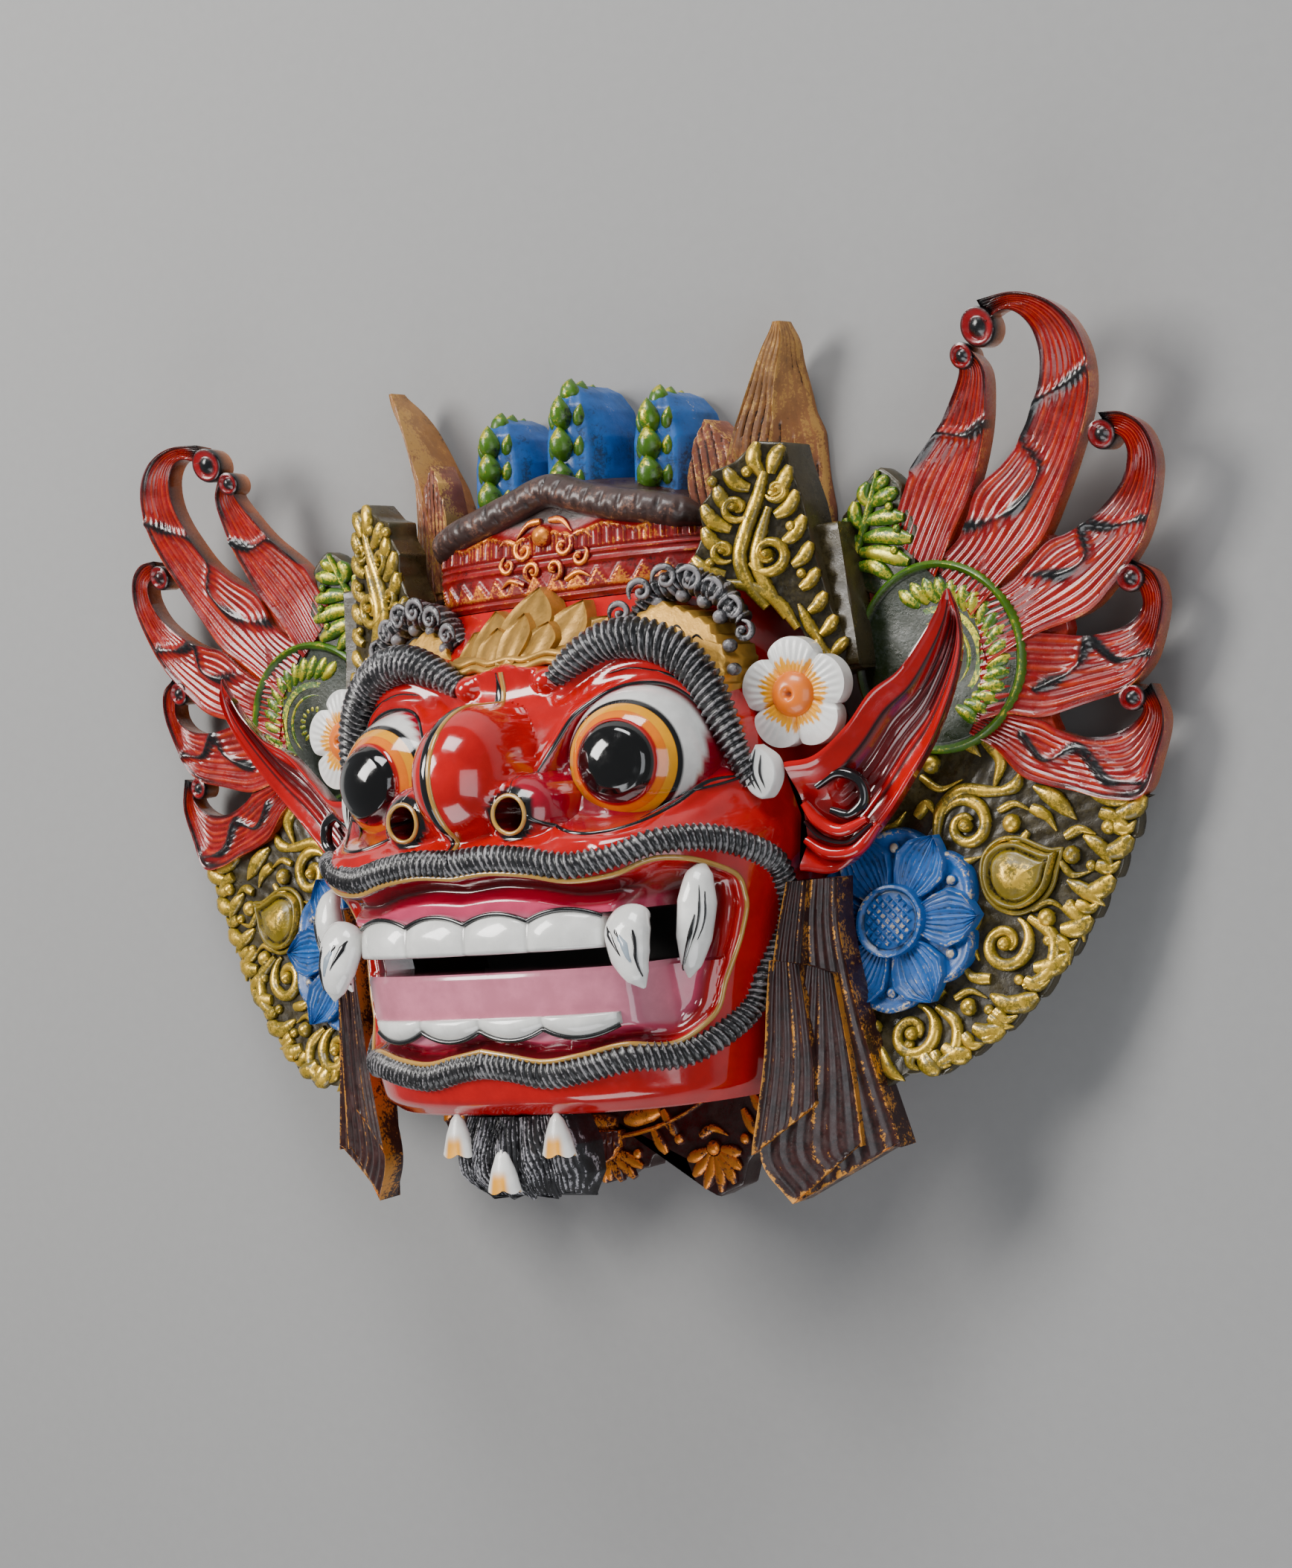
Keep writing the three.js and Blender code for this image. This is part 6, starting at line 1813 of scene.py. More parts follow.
def flower(carving):
    """A white five-petalled blossom with painted rays round a dimpled orange heart."""
    paint = bpy.context.scene.mask_paints
    cx, cy, cz, big = 97.0, 0.0, 48.0, 19.0
    tilt = lambda x, y: cz - 0.10 * (x - cx)
    turn = 2 * np.pi * np.arange(180) / 180
    lobes = np.abs(np.cos(2.5 * (turn - np.pi / 2))) ** 0.6
    edge = big * (0.76 + 0.24 * lobes)
    u = np.linspace(0.02, 1, 40)[:, None]
    r = edge[None, :] * u
    x, y = cx + r * np.cos(turn), cy + r * np.sin(turn)
    groove = np.exp(-((np.cos(2.5 * (turn - np.pi / 2)) / 0.16) ** 2))[None, :] * smooth(0.3, 0.7, u)
    rib = 0.18 * np.cos(turn * 40)[None, :] * smooth(0.35, 0.6, u) * smooth(1.0, 0.85, u)
    z = tilt(x, y) + 1.6 - 1.5 * groove + 1.4 * np.sin(np.pi * np.clip(u, 0, 1)) * 0.8 + rib + 0.7 * u**2
    front = np.stack([x, y, z], -1)
    side = front[-1:].copy()
    side[..., 2] = tilt(side[..., 0], side[..., 1]) - 3.4
    back = np.stack([cx + 0.02 * edge * np.cos(turn), cy + 0.02 * edge * np.sin(turn), np.full(len(turn), cz - 3.4)], -1)[None]
    rings = np.concatenate([front, side, back])
    ray = 9.8 + 3.4 * np.abs(np.sin(turn * 18 + 0.7 * np.sin(turn * 5))) * (0.7 + 0.3 * np.sin(turn * 7 + 1))
    tint = mix(WHITE, tuple(paint.yellow), smooth(ray + 0.35, ray - 0.35, r))
    tint = mix(tint, (0.86, 0.30, 0.004), 0.6 * smooth(9.5, 8.0, r))
    # painted shade: the blossom's side and back take a darker copy of the white
    tints = np.concatenate([tint, np.broadcast_to(np.array(WHITE) * 0.8, (2, len(turn), 3))])
    carving.loft(rings, tints, 0.8)
    rr = np.concatenate([np.linspace(0.1, 2.0, 8), np.linspace(2.3, 7.6, 22)])
    h = 5.2 * np.sqrt(np.maximum(1 - (rr / 7.8) ** 2, 0)) - 2.4 * np.exp(-((rr / 1.5) ** 2))
    profile = np.column_stack([np.concatenate([rr, [7.8, 0.1]]), np.concatenate([h, [-1.5, -1.5]]) + 1.6])
    spun = turned((cx, cy), profile, tilt, 64)
    dent = smooth(1.6, 0.6, profile[:, :1])
    tint = mix((0.80, 0.17, 0.006), (0.30, 0.05, 0.006), dent + 0 * spun[..., 0])
    carving.loft(spun, tint, 0.7)
    # the small white leaf under the blossom
    leaf = [(88, -15.5), (84, -24), (85.5, -31), (89, -33.5), (92.5, -29), (92.5, -20)]
    lift = lambda a, b: 62.0 - 0.5 * (a - 88)
    slab(carving, [tuple(p) for p in through(leaf + [leaf[0]], 50)[:-1]], (88.5, -24), lift, -5, 0.6, WHITE, 0.8, rings=10)
    for points in ([(88, -17), (86.6, -24), (88.8, -31.5)], [(89.5, -19), (88.8, -25), (90, -30)],
                   [(86.6, -20), (85.6, -25), (87, -30)]):
        stroke(carving, points, 0.55, 0.4, lambda a, b: lift(a, b) + 0.65, "leaf", 0, BLACK, count=20, sides=8)


def ribbon(carving):
    """A pleated ribbon beside the jaw: three overlapping blades whose folds open into a
    stepped, cut-off foot, grooved from end to end."""
    maroon = tuple(bpy.context.scene.mask_paints.maroon)
    front = lambda x, y: 67 - 0.5 * (x - 82)

    def pleat(left, right, lift, grooves, thick=9.0):
        def relief(t, s, x, y):
            g = np.cos(2 * np.pi * s * grooves)
            rim = np.exp(-((s / 0.05) ** 2)) + np.exp(-(((1 - s) / 0.05) ** 2))
            return 0.42 * g * smooth(1.0, 0.97, t) + 0.9 * rim

        rings, t, s, x, y = blade(left, right, lambda a, b: front(a, b) + lift, thick, count=72, across=38,
                                  crown=0.3, relief=relief, undercut=0.3)
        g = 0.5 + 0.5 * np.cos(2 * np.pi * s * grooves)
        pick = smooth(0.1, 0.7, np.sin(2 * np.pi * s * grooves / 3.0 + 0.8))
        rub_and_shade = 0.10 + 0.50 * g * pick + 0.14 * g + 0.6 * smooth(0.965, 1, t) + 0.4 * (smooth(0.04, 0.0, s) + smooth(0.96, 1, s))
        rub_and_shade[:, -2:] = 0.5
        carving.loft(rings, maroon, np.clip(rub_and_shade, 0, 1))

    pleat([(95, -61), (92, -76), (89.5, -92), (87.5, -112), (84, -135), (88, -166)],
          [(109, -61), (108.2, -76), (110, -95), (114, -120), (120, -148), (120, -148.4)][:6], -2.2, 7)
    pleat([(97, -88), (93, -104), (88, -122), (80, -149), (88, -166)],
          [(106, -92), (107.5, -108), (109, -126), (110, -147), (109.5, -147.6)], -0.4, 6)
    pleat([(88.5, -86), (86.5, -100), (84, -120), (78, -149)],
          [(97, -88), (98, -104), (98.5, -120), (98, -134)], 1.2, 5)
    pleat([(95, -61), (92.2, -72), (90, -82), (88, -92)], [(101, -61), (99.5, -72), (98, -82), (97, -92)], 0.2, 4)


# ---- collar and beard -------------------------------------------------------------------
def collar(carving):
    """The leafy collar under the chin: a board of lobed leaves, an arc of rounded panels and
    a half-round pendant."""
    paint = bpy.context.scene.mask_paints
    tone = tuple(paint.collar_red)
    board = [(-72, -131.6), (-70, -140), (-66, -149), (-60, -155), (-57, -163), (-50, -165.5), (-47, -167),
             (-43, -165), (-38, -162), (-35, -154), (-28, -151), (-21, -153), (-19, -157), (-12, -157.5),
             (-6, -161), (0, -162.5), (6, -161), (12, -157.5), (19, -157), (21, -153), (28, -151), (35, -154),
             (38, -162), (43, -165), (47, -167), (50, -165.5), (57, -163), (60, -155), (66, -149), (70, -140),
             (72, -131.6)]
    flat = lambda x, y: 46.0 + 0 * x
    slab(carving, board, (0, -138), flat, -9, 0, (0.03, 0.01, 0.008), 0.12, rings=26)
    lift = lambda x, y: 46.2 + 0 * x

    def leaf(points, width, height=2.4, shape="finger", flute=0.4):
        stroke(carving, points, width, height, lift, shape, flute, tone, count=15, sides=10)
        if points[-1][0] != 0 or points[0][0] != 0:
            mirror_points = [(-px, py) for px, py in points]
            stroke(carving, mirror_points, width, height, lift, shape, flute, tone, count=15, sides=10)

    # clusters of leaves: round each low corner and the middle
    for cx, cy in ((47, -150),):
        for a, r in ((200, 12), (225, 13.5), (250, 14.8), (275, 15.2), (300, 14.2), (325, 12.5), (350, 11)):
            d = np.array([np.cos(np.radians(a)), np.sin(np.radians(a))])
            leaf([(cx + 3 * d[0], cy + 3 * d[1]), (cx + 0.55 * r * d[0] - 0.8 * d[1], cy + 0.55 * r * d[1]),
                  (cx + r * d[0], cy + r * d[1])], 2.5)
        bead(carving, (cx, cy), 3.0, lift, tone, 3.0)
        bead(carving, (-cx, cy), 3.0, lift, tone, 3.0)
        leaf([(cx - 5, cy + 4), (cx, cy + 6.5), (cx + 6, cy + 4)], 2.0, shape="comma")
    for a, r in ((205, 18), (222, 17), (240, 14.5), (258, 12.6)):
        d = np.array([np.cos(np.radians(a)), np.sin(np.radians(a))])
        leaf([(-4 * -d[0], -150 + 3 * d[1]), (0.6 * r * d[0], -149 + 0.55 * r * d[1]), (r * d[0], -149 + r * d[1])], 2.4)
    stroke(carving, [(0, -152), (0, -157), (0, -162)], 2.5, 2.4, lift, "finger", 0.4, tone, count=16, sides=10)
    for x, y in ((24, -147), (29, -141), (62, -141), (66, -135)):
        leaf([(x - 2, y + 4), (x, y), (x + 3, y - 5)], 2.3)
    for x, y, r in ((15, -152), (33, -147)) and ((15, -152, 2.0), (33, -147, 2.2), (60, -147, 2.2)):
        bead(carving, (x, y), r, lift, tone, r)
        bead(carving, (-x, y), r, lift, tone, r)
    for a in np.arange(-90, -34, 13.2):
        for side in (1, -1) if a > -89 else (1,):
            angle = np.radians(a)
            c = np.array([81 * np.cos(angle), -60 + 81 * np.sin(angle)])
            d = np.array([-np.sin(angle), np.cos(angle)])
            p = [(side * (c[0] + d[0] * q), c[1] + d[1] * q) for q in (-7.6, -3.5, 3.5, 7.6)]
            if p[0][1] > -132.5 or p[-1][1] > -132.5:
                continue
            stroke(carving, p, 3.6, 4.4, lambda x, y: lift(x, y) - 0.6, "even", 0.35, tone, count=20, sides=10)
    for r in (75.8, 86.2):
        arc = [(r * np.cos(np.radians(a)), -60 + r * np.sin(np.radians(a))) for a in np.linspace(-126, -54, 60)]
        arc = [p for p in arc if p[1] < -132.3]
        stroke(carving, arc, 1.0, 2.6, lift, "even", 0, tone, count=80, sides=8)
    pendant = [(-10.5, -143.5), (-9.5, -149), (-6, -153.5), (0, -156), (6, -153.5), (9.5, -149), (10.5, -143.5)]
    slab(carving, pendant, (0, -148), flat, 0, 4.2, tone, 0.5, rings=12,
         relief=lambda x, y: 0.5 * np.cos(2 * np.pi * x / 2.6), rub_and_shade_maker=lambda x, y: 0.4 + 0.3 * np.cos(2 * np.pi * x / 2.6))


def beard(hair, bells):
    """The short beard: a block of combed locks that flow down and outward, with three white
    bell flowers hung in it."""
    rows = np.linspace(-131.5, -160.5, 80)
    s = np.linspace(-1, 1, 144)[None, :]
    t = ((rows - rows[0]) / (rows[-1] - rows[0]))[:, None]
    half = np.interp(t, [0, 0.35, 0.7, 1.0], [22, 26.5, 27, 22])
    scallop = 2.6 * np.abs(np.sin(np.pi * (s * 2.5 + 0.5)))
    x = half * s
    y = rows[:, None] + (0 * s) - t**3 * 0 + scallop * t**4
    lock = np.cos(np.pi * (s * 5.0))
    strand = np.sin(2 * np.pi * (s * 19 + 0.7 * np.sin(3.2 * t + 3 * s) + 0.22 * np.sin(9 * t + 11 * s)))
    fine = np.sin(2 * np.pi * (s * 41 + 0.9 * np.sin(4 * t + 2 * s)))
    body = np.sqrt(np.maximum(1 - (np.abs(s) ** 3.2), 0))
    z = 86 + (13.5 + 1.4 * lock + 0.55 * strand + 0.25 * fine) * body + 3.0 * np.sin(np.pi * t) - 5.0 * t**4
    front = np.stack([x, y, z], -1)
    back = front[:, [-1, 0]].copy()
    back[..., 2] = 82
    rings = np.concatenate([front, back], axis=1)
    rub_and_shade = 0.42 + 0.30 * strand + 0.16 * fine + 0.10 * lock
    rub_and_shade = np.concatenate([rub_and_shade, np.full((len(rows), 2), 0.3)], axis=1)
    hair.loft(rings, (0.014, 0.014, 0.017), np.clip(rub_and_shade, 0, 1))
    for x0, y0, z0 in ((-21, -137, 99), (21, -137, 99), (0, -148.5, 103)):
        bell(bells, x0, y0, z0)


def bell(carving, x0, y0, z0):
    """A small white bell flower hanging mouth down, with a yellow mouth and torn lip."""
    t = np.linspace(0, 1, 20)
    turn = 2 * np.pi * np.arange(48) / 48
    radius = np.interp(t, [0, 0.15, 0.5, 0.8, 1.0], [0.8, 2.6, 4.6, 5.8, 6.6])
    y = y0 + 6.5 - 13.0 * t
    lip = 1.5 * np.abs(np.sin(2.5 * turn))[None, :] * smooth(0.6, 1, t)[:, None]
    x = x0 + radius[:, None] * np.cos(turn)
    z = z0 + radius[:, None] * 0.62 * np.sin(turn)
    yy = y[:, None] - lip
    outer = np.stack([x, yy, z], -1)
    inner = outer[::-1].copy()
    scale = np.array([0.80, 1.0, 0.80])
    centre = np.stack([np.full(len(t), x0), y[::-1], np.full(len(t), z0)], -1)[:, None]
    inner = centre + (inner - centre) * scale
    inner[..., 1] = np.minimum(inner[..., 1], y0 + 3.5)
    rings = np.concatenate([outer, inner[:12]])
    yellow = tuple(bpy.context.scene.mask_paints.yellow)
    tint_outer = mix(np.broadcast_to(np.array(WHITE), outer.shape), yellow,
                     smooth(0.45, 0.75, t)[:, None] * smooth(0.2, 0.75, np.sin(turn))[None, :] *
                     smooth(0.75, 0.35, np.abs(np.cos(turn)))[None, :])
    # painted shade: the inside of the bell takes a darker copy of the yellow
    tints = np.concatenate([tint_outer, np.broadcast_to(np.array(yellow) * 0.8, (12, len(turn), 3))])
    carving.loft(rings, tints, 0.7)


# ---- settings -----------------------------------------------------------------------------
def hue(name, value):
    """A colour setting with its default."""
    return bpy.props.FloatVectorProperty(
        name=name, description=f"{name} paint", subtype="COLOR", size=3, min=0, max=1, default=value
    )


class MaskPaints(bpy.types.PropertyGroup):
    """Paints and gilding of the mask"""

    scarlet: hue("Scarlet", RED)
    dark_red: hue("Dark red", DEEP_RED)
    crimson: hue("Crimson", CRIMSON)
    pink: hue("Gum pink", PINK)
    pale_pink: hue("Pale pink", PALE_PINK)
    yellow: hue("Yellow", YELLOW)
    blue: hue("Blue", BLUE)
    leaf_green: hue("Leaf green", GREEN)
    old_gold: hue("Old gold", OLIVE)
    maroon: hue("Ribbon maroon", MAROON)
    band_red: hue("Band red", (0.26, 0.004, 0.005))
    collar_red: hue("Collar red", (0.06, 0.006, 0.004))
    feather_red: hue("Feather red", (0.26, 0.002, 0.005))
    feather_orange: hue("Feather orange", (0.55, 0.05, 0.006))


class MaskFace(bpy.types.PropertyGroup):
    """Sizes of the face, in the carving's millimetres"""

    nose_half: bpy.props.FloatProperty(
        name="Nose half width", description="Half width of the nose ball", default=20.0, min=12, max=26
    )
    strand_pitch: bpy.props.FloatProperty(
        name="Strand pitch", description="Distance from one carved hair to the next", default=2.4, min=1, max=4
    )


class MaskWing(bpy.types.PropertyGroup):
    """Sizes of the wings, in the carving's millimetres"""

    grooves: bpy.props.FloatProperty(
        name="Feather grooves", description="Grooves across each feather", default=9.0, min=3, max=16
    )
    lotus_reach: bpy.props.FloatProperty(
        name="Lotus reach", description="Radius of the lotus over its petal tips", default=31.0, min=20, max=34
    )


class MaskStage(bpy.types.PropertyGroup):
    """Camera, light and floor"""

    lens: bpy.props.FloatProperty(
        name="Lens", description="Focal length of the camera in millimetres", default=69.85, min=20, max=200
    )
    floor: bpy.props.FloatProperty(
        name="Floor", description="Half width of the floor", default=1.6, min=0.5, max=6, unit="LENGTH"
    )
    key: bpy.props.FloatProperty(
        name="Key light", description="Power of the key light in watts", default=26.0, min=0, max=500
    )


FINISHES = {}


def finish(kind):
    """The named finish, made the first time that it is asked for."""
    if kind not in FINISHES:
        FINISHES[kind] = {
            "gloss paint": lambda: lacquer("gloss_paint"),
            "eye enamel": lambda: lacquer("eye_enamel", rough=0.08),
            "tooth enamel": lambda: lacquer("tooth_enamel", rough=0.2),
            "satin paint": lambda: lacquer("satin_paint", coat=0.35, rough=0.32),
            "silvered hair": lambda: dry_brushed("silvered_hair", (0.006, 0.006, 0.007), (0.22, 0.21, 0.22),
                                                 amount=0.72, grime=0.2, rough=0.38, coat=0.35),
            "beard hair": lambda: dry_brushed("beard_hair", (0.004, 0.004, 0.005), (0.40, 0.39, 0.42),
                                              amount=0.58, grime=0.25, rough=0.5, coat=0.1),
            "matte gold": lambda: gilding("matte_gold"),
            "gold on red": lambda: dry_brushed("gold_on_red", (0.04, 0.002, 0.002), (0.80, 0.26, 0.03),
                                               metal=0.6, amount=0.72, grime=0.12, rough=0.36),
            "gold on olive": lambda: dry_brushed("gold_on_olive", (0.02, 0.014, 0.004), (0.75, 0.48, 0.06),
                                                 metal=0.75, amount=0.80, grime=0.22, rough=0.33),
            "gold on green": lambda: dry_brushed("gold_on_green", (0.008, 0.016, 0.003), (0.52, 0.46, 0.04),
                                                 metal=0.6, amount=0.84, grime=0.22, rough=0.35),
            "gold on blue": lambda: dry_brushed("gold_on_blue", (0.004, 0.03, 0.09), (0.48, 0.40, 0.30),
                                                metal=0.3, amount=0.78, grime=0.16, rough=0.45),
            "gold on maroon": lambda: dry_brushed("gold_on_maroon", (0.012, 0.004, 0.004), (0.75, 0.32, 0.05),
                                                  metal=0.65, amount=0.66, grime=0.14, rough=0.4),
            "gold on umber": lambda: dry_brushed("gold_on_umber", (0.035, 0.015, 0.010), (0.62, 0.33, 0.09),
                                                 metal=0.5, amount=0.62, grime=0.2, rough=0.42),
            "feather paint": lambda: dry_brushed("feather_paint", (0.06, 0.001, 0.002), (0.62, 0.20, 0.04),
                                                 metal=0.15, amount=0.90, grime=0.06, rough=0.28, coat=0.6),
            "dark umber": lambda: dry_brushed("dark_umber", (0.012, 0.008, 0.008), (0.16, 0.075, 0.05),
                                              amount=0.7, grime=0.2, rough=0.45),
        }[kind]()
    return FINISHES[kind]


# ---- operators ------------------------------------------------------------------------------
class MASK_OT_face(bpy.types.Operator):
    """Carve and paint the head block with its nose, sockets and lips"""

    bl_idname = "mask.face"
    bl_label = "Face"

    def execute(self, context):
        block = Carving()
        face_shell(block)
        block.finish("face_block", "face", finish("gloss paint"), 48)
        lines = Carving()
        face_lines(lines)
        lines.reflect()
        lines.finish("face_lines", "face", finish("gloss paint"))
        nose = Carving()
        nose_line(nose)
        nose.finish("nose_line", "face", finish("gloss paint"))
        return {"FINISHED"}


class MASK_OT_eyes(bpy.types.Operator):
    """Set the bulging painted eyes"""

    bl_idname = "mask.eyes"
    bl_label = "Eyes"

    def execute(self, context):
        balls = Carving()
        eye(balls)
        balls.reflect()
        balls.finish("eyes", "face", finish("eye enamel"))
        return {"FINISHED"}


class MASK_OT_teeth(bpy.types.Operator):
    """Carve the teeth, fangs and tusks"""

    bl_idname = "mask.teeth"
    bl_label = "Teeth"

    def execute(self, context):
        rows = Carving()
        teeth(rows)
        rows.finish("teeth", "face", finish("tooth enamel"), 60)
        return {"FINISHED"}


class MASK_OT_hair(bpy.types.Operator):
    """Carve the hatched moustache and brow ridges"""

    bl_idname = "mask.hair"
    bl_label = "Moustache and brows"

    def execute(self, context):
        bands = Carving()
        hair_bands(bands)
        bands.reflect()
        bands.finish("moustache_and_brows", "face", finish("silvered hair"), 80)
        return {"FINISHED"}


class MASK_OT_diadem(bpy.types.Operator):
    """Carve the gilt lotus badge, the temple plates and their curls"""

    bl_idname = "mask.diadem"
    bl_label = "Diadem and temples"

    def execute(self, context):
        badge = Carving()
        diadem(badge)
        badge.finish("diadem", "face", finish("matte gold"), 40)
        plates, curls = Carving(), Carving()
        temples(plates, curls)
        for carving, name, kind in ((plates, "temple_plates", "matte gold"), (curls, "temple_curls", "silvered hair")):
            carving.reflect()
            carving.finish(name, "face", finish(kind))
        return {"FINISHED"}


class MASK_OT_crown(bpy.types.Operator):
    """Carve the crown band, its notched rim and the curls over the diadem"""

    bl_idname = "mask.crown"
    bl_label = "Crown band"

    def execute(self, context):
        band = Carving()
        crown_shell(band)
        crown_scrolls(band)
        band.finish("crown_band", "crown", finish("gold on red"), 60)
        rim = Carving()
        crown_rim(rim)
        rim.finish("crown_rim", "crown", finish("dark umber"), 70)
        return {"FINISHED"}


class MASK_OT_crest(bpy.types.Operator):
    """Carve the blue crest lobes, their green spikes and the tall horn leaves"""

    bl_idname = "mask.crest"
    bl_label = "Crest and horn leaves"

    def execute(self, context):
        lobes, spikes, horns = Carving(), Carving(), Carving()
        for x0, top, front in ((0, 117.5, 37), (35, 110.5, 33), (-35, 110.5, 33)):
            crest_lobe(lobes, spikes, x0, top, front)
        lobes.finish("crest_lobes", "crown", finish("gold on blue"), 60)
        spikes.finish("crest_spikes", "crown", finish("gold on green"), 60)
        horn_leaf(horns)
        horns.reflect()
        horns.finish("horn_leaves", "crown", finish("gold on umber"), 50)
        return {"FINISHED"}


class MASK_OT_wings(bpy.types.Operator):
    """Carve both wings: feathers, filigree, lotus, fern disc and leaves"""

    bl_idname = "mask.wings"
    bl_label = "Wings"

    def execute(self, context):
        parts = {
            "feathers": (Carving(), "feather paint", 60),
            "panel_ground": (Carving(), "gold on olive", 50),
            "filigree": (Carving(), "gold on olive", 70),
            "lotus": (Carving(), "gold on blue", 55),
            "fern": (Carving(), "gold on green", 60),
        }
        feathers = parts["feathers"][0]
        for blade_of in FEATHERS:
            feather(feathers, **blade_of)
        red_field(feathers)
        lower_panel(parts["panel_ground"][0], parts["filigree"][0])
        gilt_leaf(parts["panel_ground"][0], parts["filigree"][0])
        lotus(parts["lotus"][0])
        fern_disc(parts["fern"][0], parts["fern"][0])
        for name, (carving, kind, angle) in parts.items():
            carving.finish(f"{name}_right", "wing_right", finish(kind), angle)
            carving.mirrored().finish(f"{name}_left", "wing_left", finish(kind), angle)
        return {"FINISHED"}


class MASK_OT_sides(bpy.types.Operator):
    """Carve the ears, the blossoms and the pleated ribbons"""

    bl_idname = "mask.sides"
    bl_label = "Ears, blossoms and ribbons"

    def execute(self, context):
        for name, maker, kind, angle in (
            ("ear", ear, "gloss paint", 50), ("flower", flower, "satin paint", 60),
            ("ribbon", ribbon, "gold on maroon", 60),
        ):
            carving = Carving()
            maker(carving)
            carving.finish(f"carved_{name}_right", f"{name}_right", finish(kind), angle)
            carving.mirrored().finish(f"carved_{name}_left", f"{name}_left", finish(kind), angle)
        return {"FINISHED"}


class MASK_OT_chin(bpy.types.Operator):
    """Carve the collar under the chin and the beard with its bell flowers"""

    bl_idname = "mask.chin"
    bl_label = "Collar and beard"

    def execute(self, context):
        leaves = Carving()
        collar(leaves)
        leaves.finish("carved_collar", "collar", finish("gold on red"), 60)
        hair, bells = Carving(), Carving()
        beard(hair, bells)
        hair.finish("beard_hair", "beard", finish("beard hair"), 80)
        bells.finish("bell_flowers", "beard", finish("satin paint"), 60)
        return {"FINISHED"}


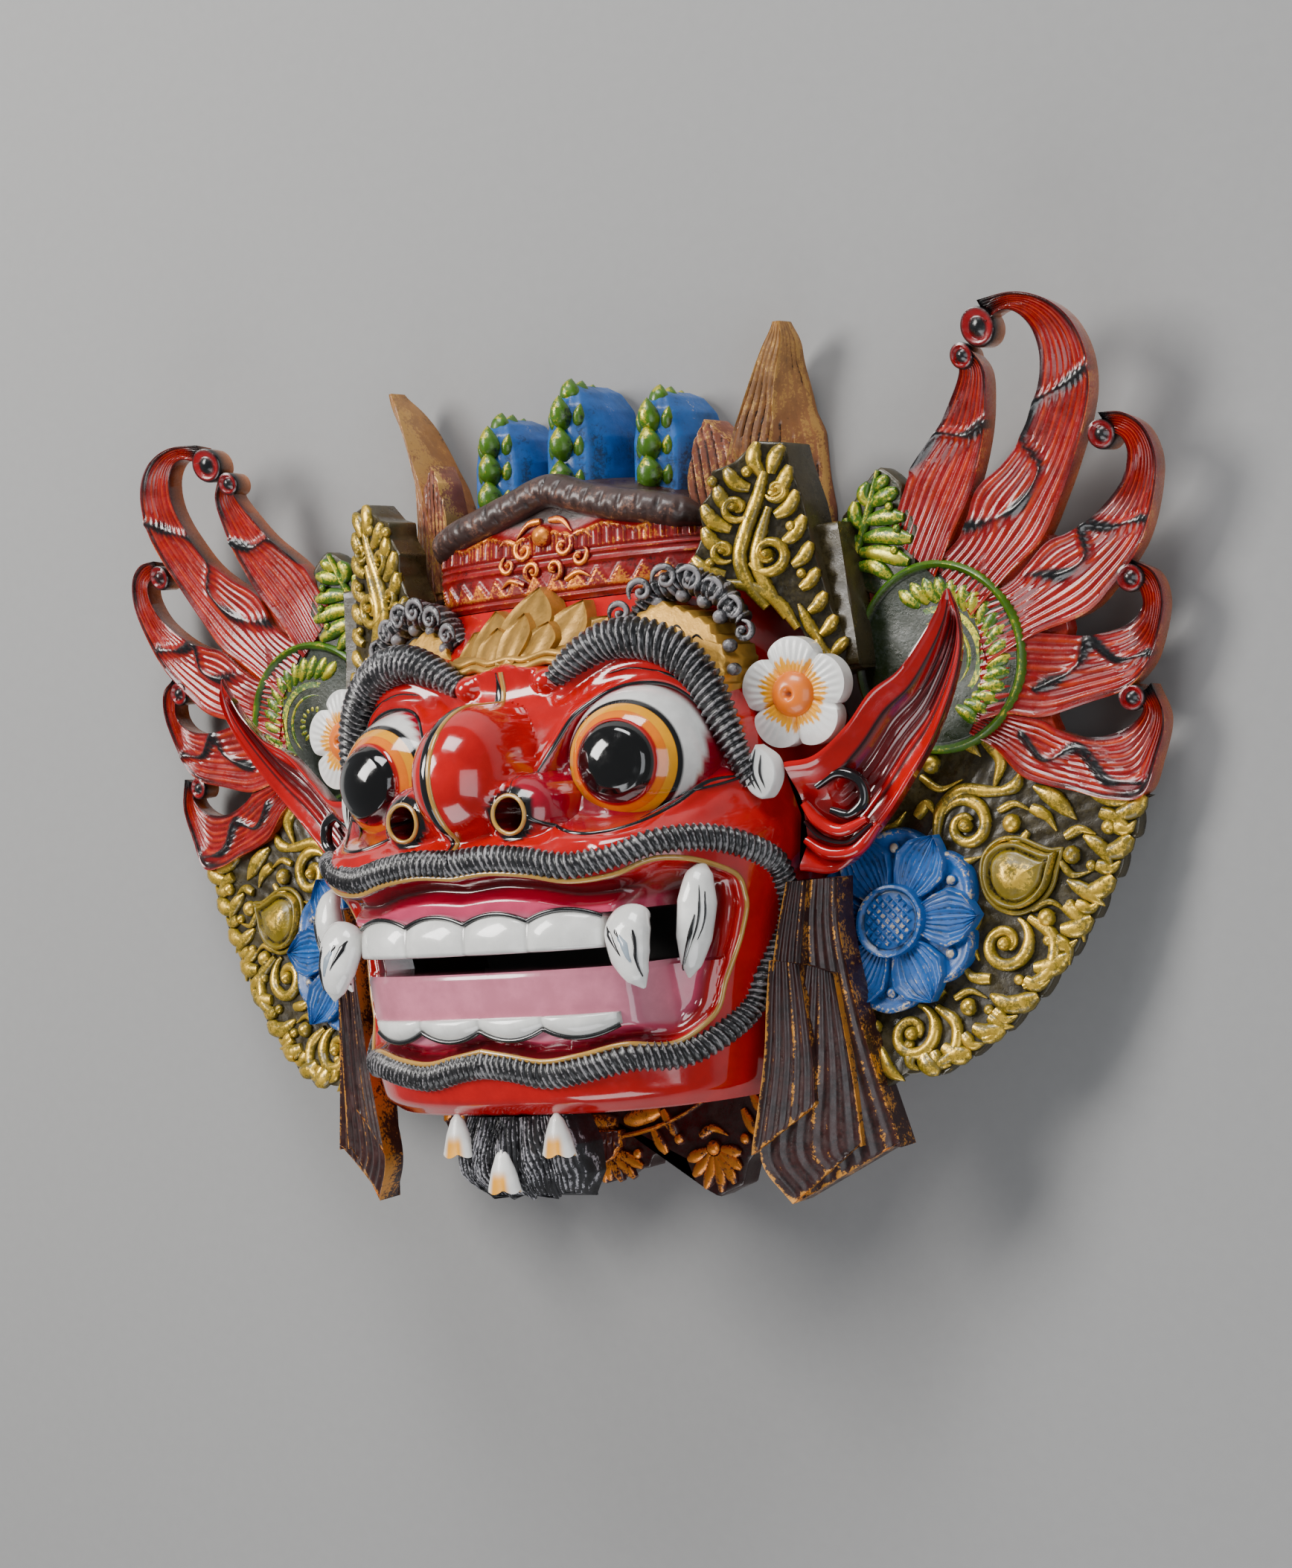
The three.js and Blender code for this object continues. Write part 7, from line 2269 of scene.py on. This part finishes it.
class MASK_OT_stage(bpy.types.Operator):
    """Lay the floor and set the camera and the soft studio lights"""

    bl_idname = "mask.stage"
    bl_label = "Stage"

    def execute(self, context):
        stage = context.scene.mask_stage
        size = stage.floor
        mesh = bpy.data.meshes.new("floor")
        corners = [(-size, -size, -0.0005), (size, -size, -0.0005), (size, size, -0.0005), (-size, size, -0.0005)]
        mesh.from_pydata(corners, [], [(0, 1, 2, 3)])
        material = bpy.data.materials.new("studio_floor")
        material.use_nodes = True
        tree = material.node_tree
        shader = tree.nodes["Principled BSDF"]
        place = tree.nodes.new("ShaderNodeTexCoord")
        noise = tree.nodes.new("ShaderNodeTexNoise")
        noise.inputs["Scale"].default_value = 240
        tree.links.new(place.outputs["Object"], noise.inputs["Vector"])
        tone = tree.nodes.new("ShaderNodeMapRange")
        tone.inputs["To Min"].default_value = 0.27
        tone.inputs["To Max"].default_value = 0.29
        tree.links.new(noise.outputs["Fac"], tone.inputs["Value"])
        tree.links.new(tone.outputs["Result"], shader.inputs["Base Color"])
        shader.inputs["Roughness"].default_value = 0.8
        mesh.materials.append(material)
        floor = bpy.data.objects.new("floor", mesh)
        context.scene.collection.objects.link(floor)
        floor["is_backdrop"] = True
        self.camera(context, stage)
        self.lights(context, stage)
        return {"FINISHED"}

    def camera(self, context, stage):
        back = Vector((0.5738, 0.0024, 0.8190)).normalized()
        right = Vector((0, 1, 0)).cross(back).normalized()
        up = back.cross(right)
        roll = np.radians(-5.15)
        x = np.cos(roll) * right + np.sin(roll) * up
        y = -np.sin(roll) * right + np.cos(roll) * up
        data = bpy.data.cameras.new("camera")
        data.sensor_fit = "VERTICAL"
        data.sensor_height = 36
        data.lens = stage.lens
        data.clip_end = 20
        camera = bpy.data.objects.new("camera", data)
        turn = Matrix((x, y, back)).transposed().to_4x4()
        camera.matrix_world = Matrix.Translation((0.6288, -0.0026, 0.8981)) @ turn
        context.scene.collection.objects.link(camera)
        context.scene.camera = camera

    def lights(self, context, stage):
        world = bpy.data.worlds.new("studio")
        world.use_nodes = True
        background = world.node_tree.nodes["Background"]
        background.inputs["Color"].default_value = (0.75, 0.78, 0.82, 1)
        background.inputs["Strength"].default_value = 0.20
        context.scene.world = world
        for name, place, size, power, tint in (
            ("key", (-0.75, 0.55, 1.15), 0.75, stage.key, (1, 0.97, 0.93)),
            ("fill", (1.30, -0.20, 0.95), 1.2, stage.key * 0.30, (0.93, 0.96, 1)),
            ("top", (0.15, 1.35, 0.75), 0.8, stage.key * 0.75, (1, 1, 1)),
            ("low", (0.1, -1.2, 0.8), 1.0, stage.key * 0.32, (0.97, 0.98, 1)),
        ):
            data = bpy.data.lights.new(name, "AREA")
            data.shape = "RECTANGLE"
            data.size = size
            data.size_y = size * 0.7
            data.energy = power
            data.color = tint
            lamp = bpy.data.objects.new(name, data)
            aim = Vector((0, 0, 0.05)) - Vector(place)
            lamp.matrix_world = Matrix.Translation(place) @ aim.to_track_quat("-Z", "Y").to_matrix().to_4x4()
            context.scene.collection.objects.link(lamp)


class MASK_PT_panel(bpy.types.Panel):
    """The mask's pieces and settings"""

    bl_label = "Mask"
    bl_idname = "MASK_PT_panel"
    bl_space_type = "VIEW_3D"
    bl_region_type = "UI"
    bl_category = "Mask"

    def draw(self, context):
        for operator in OPERATORS:
            self.layout.operator(operator.bl_idname)
        for group in (context.scene.mask_paints, context.scene.mask_face, context.scene.mask_wing,
                      context.scene.mask_stage):
            box = self.layout.box()
            for name in group.__annotations__:
                box.prop(group, name)


SETTINGS = {"mask_paints": MaskPaints, "mask_face": MaskFace, "mask_wing": MaskWing, "mask_stage": MaskStage}
OPERATORS = (
    MASK_OT_face, MASK_OT_eyes, MASK_OT_teeth, MASK_OT_hair, MASK_OT_diadem, MASK_OT_crown,
    MASK_OT_crest, MASK_OT_wings, MASK_OT_sides, MASK_OT_chin, MASK_OT_stage,
)


def register():
    for group in SETTINGS.values():
        bpy.utils.register_class(group)
    for name, group in SETTINGS.items():
        setattr(bpy.types.Scene, name, bpy.props.PointerProperty(type=group))
    for operator in OPERATORS:
        bpy.utils.register_class(operator)
    bpy.utils.register_class(MASK_PT_panel)


def unregister():
    bpy.utils.unregister_class(MASK_PT_panel)
    for operator in reversed(OPERATORS):
        bpy.utils.unregister_class(operator)
    for name, group in SETTINGS.items():
        delattr(bpy.types.Scene, name)
        bpy.utils.unregister_class(group)


def main():
    """Builds every piece in order."""
    register()
    for operator in OPERATORS:
        family, name = operator.bl_idname.split(".")
        getattr(getattr(bpy.ops, family), name)()
    boxes = {"cad": CAD_BOX, "visual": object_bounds()}
    plain = {key: [[float(v) for v in corner] for corner in box] for key, box in boxes.items()}


if __name__ == "__main__":
    main()
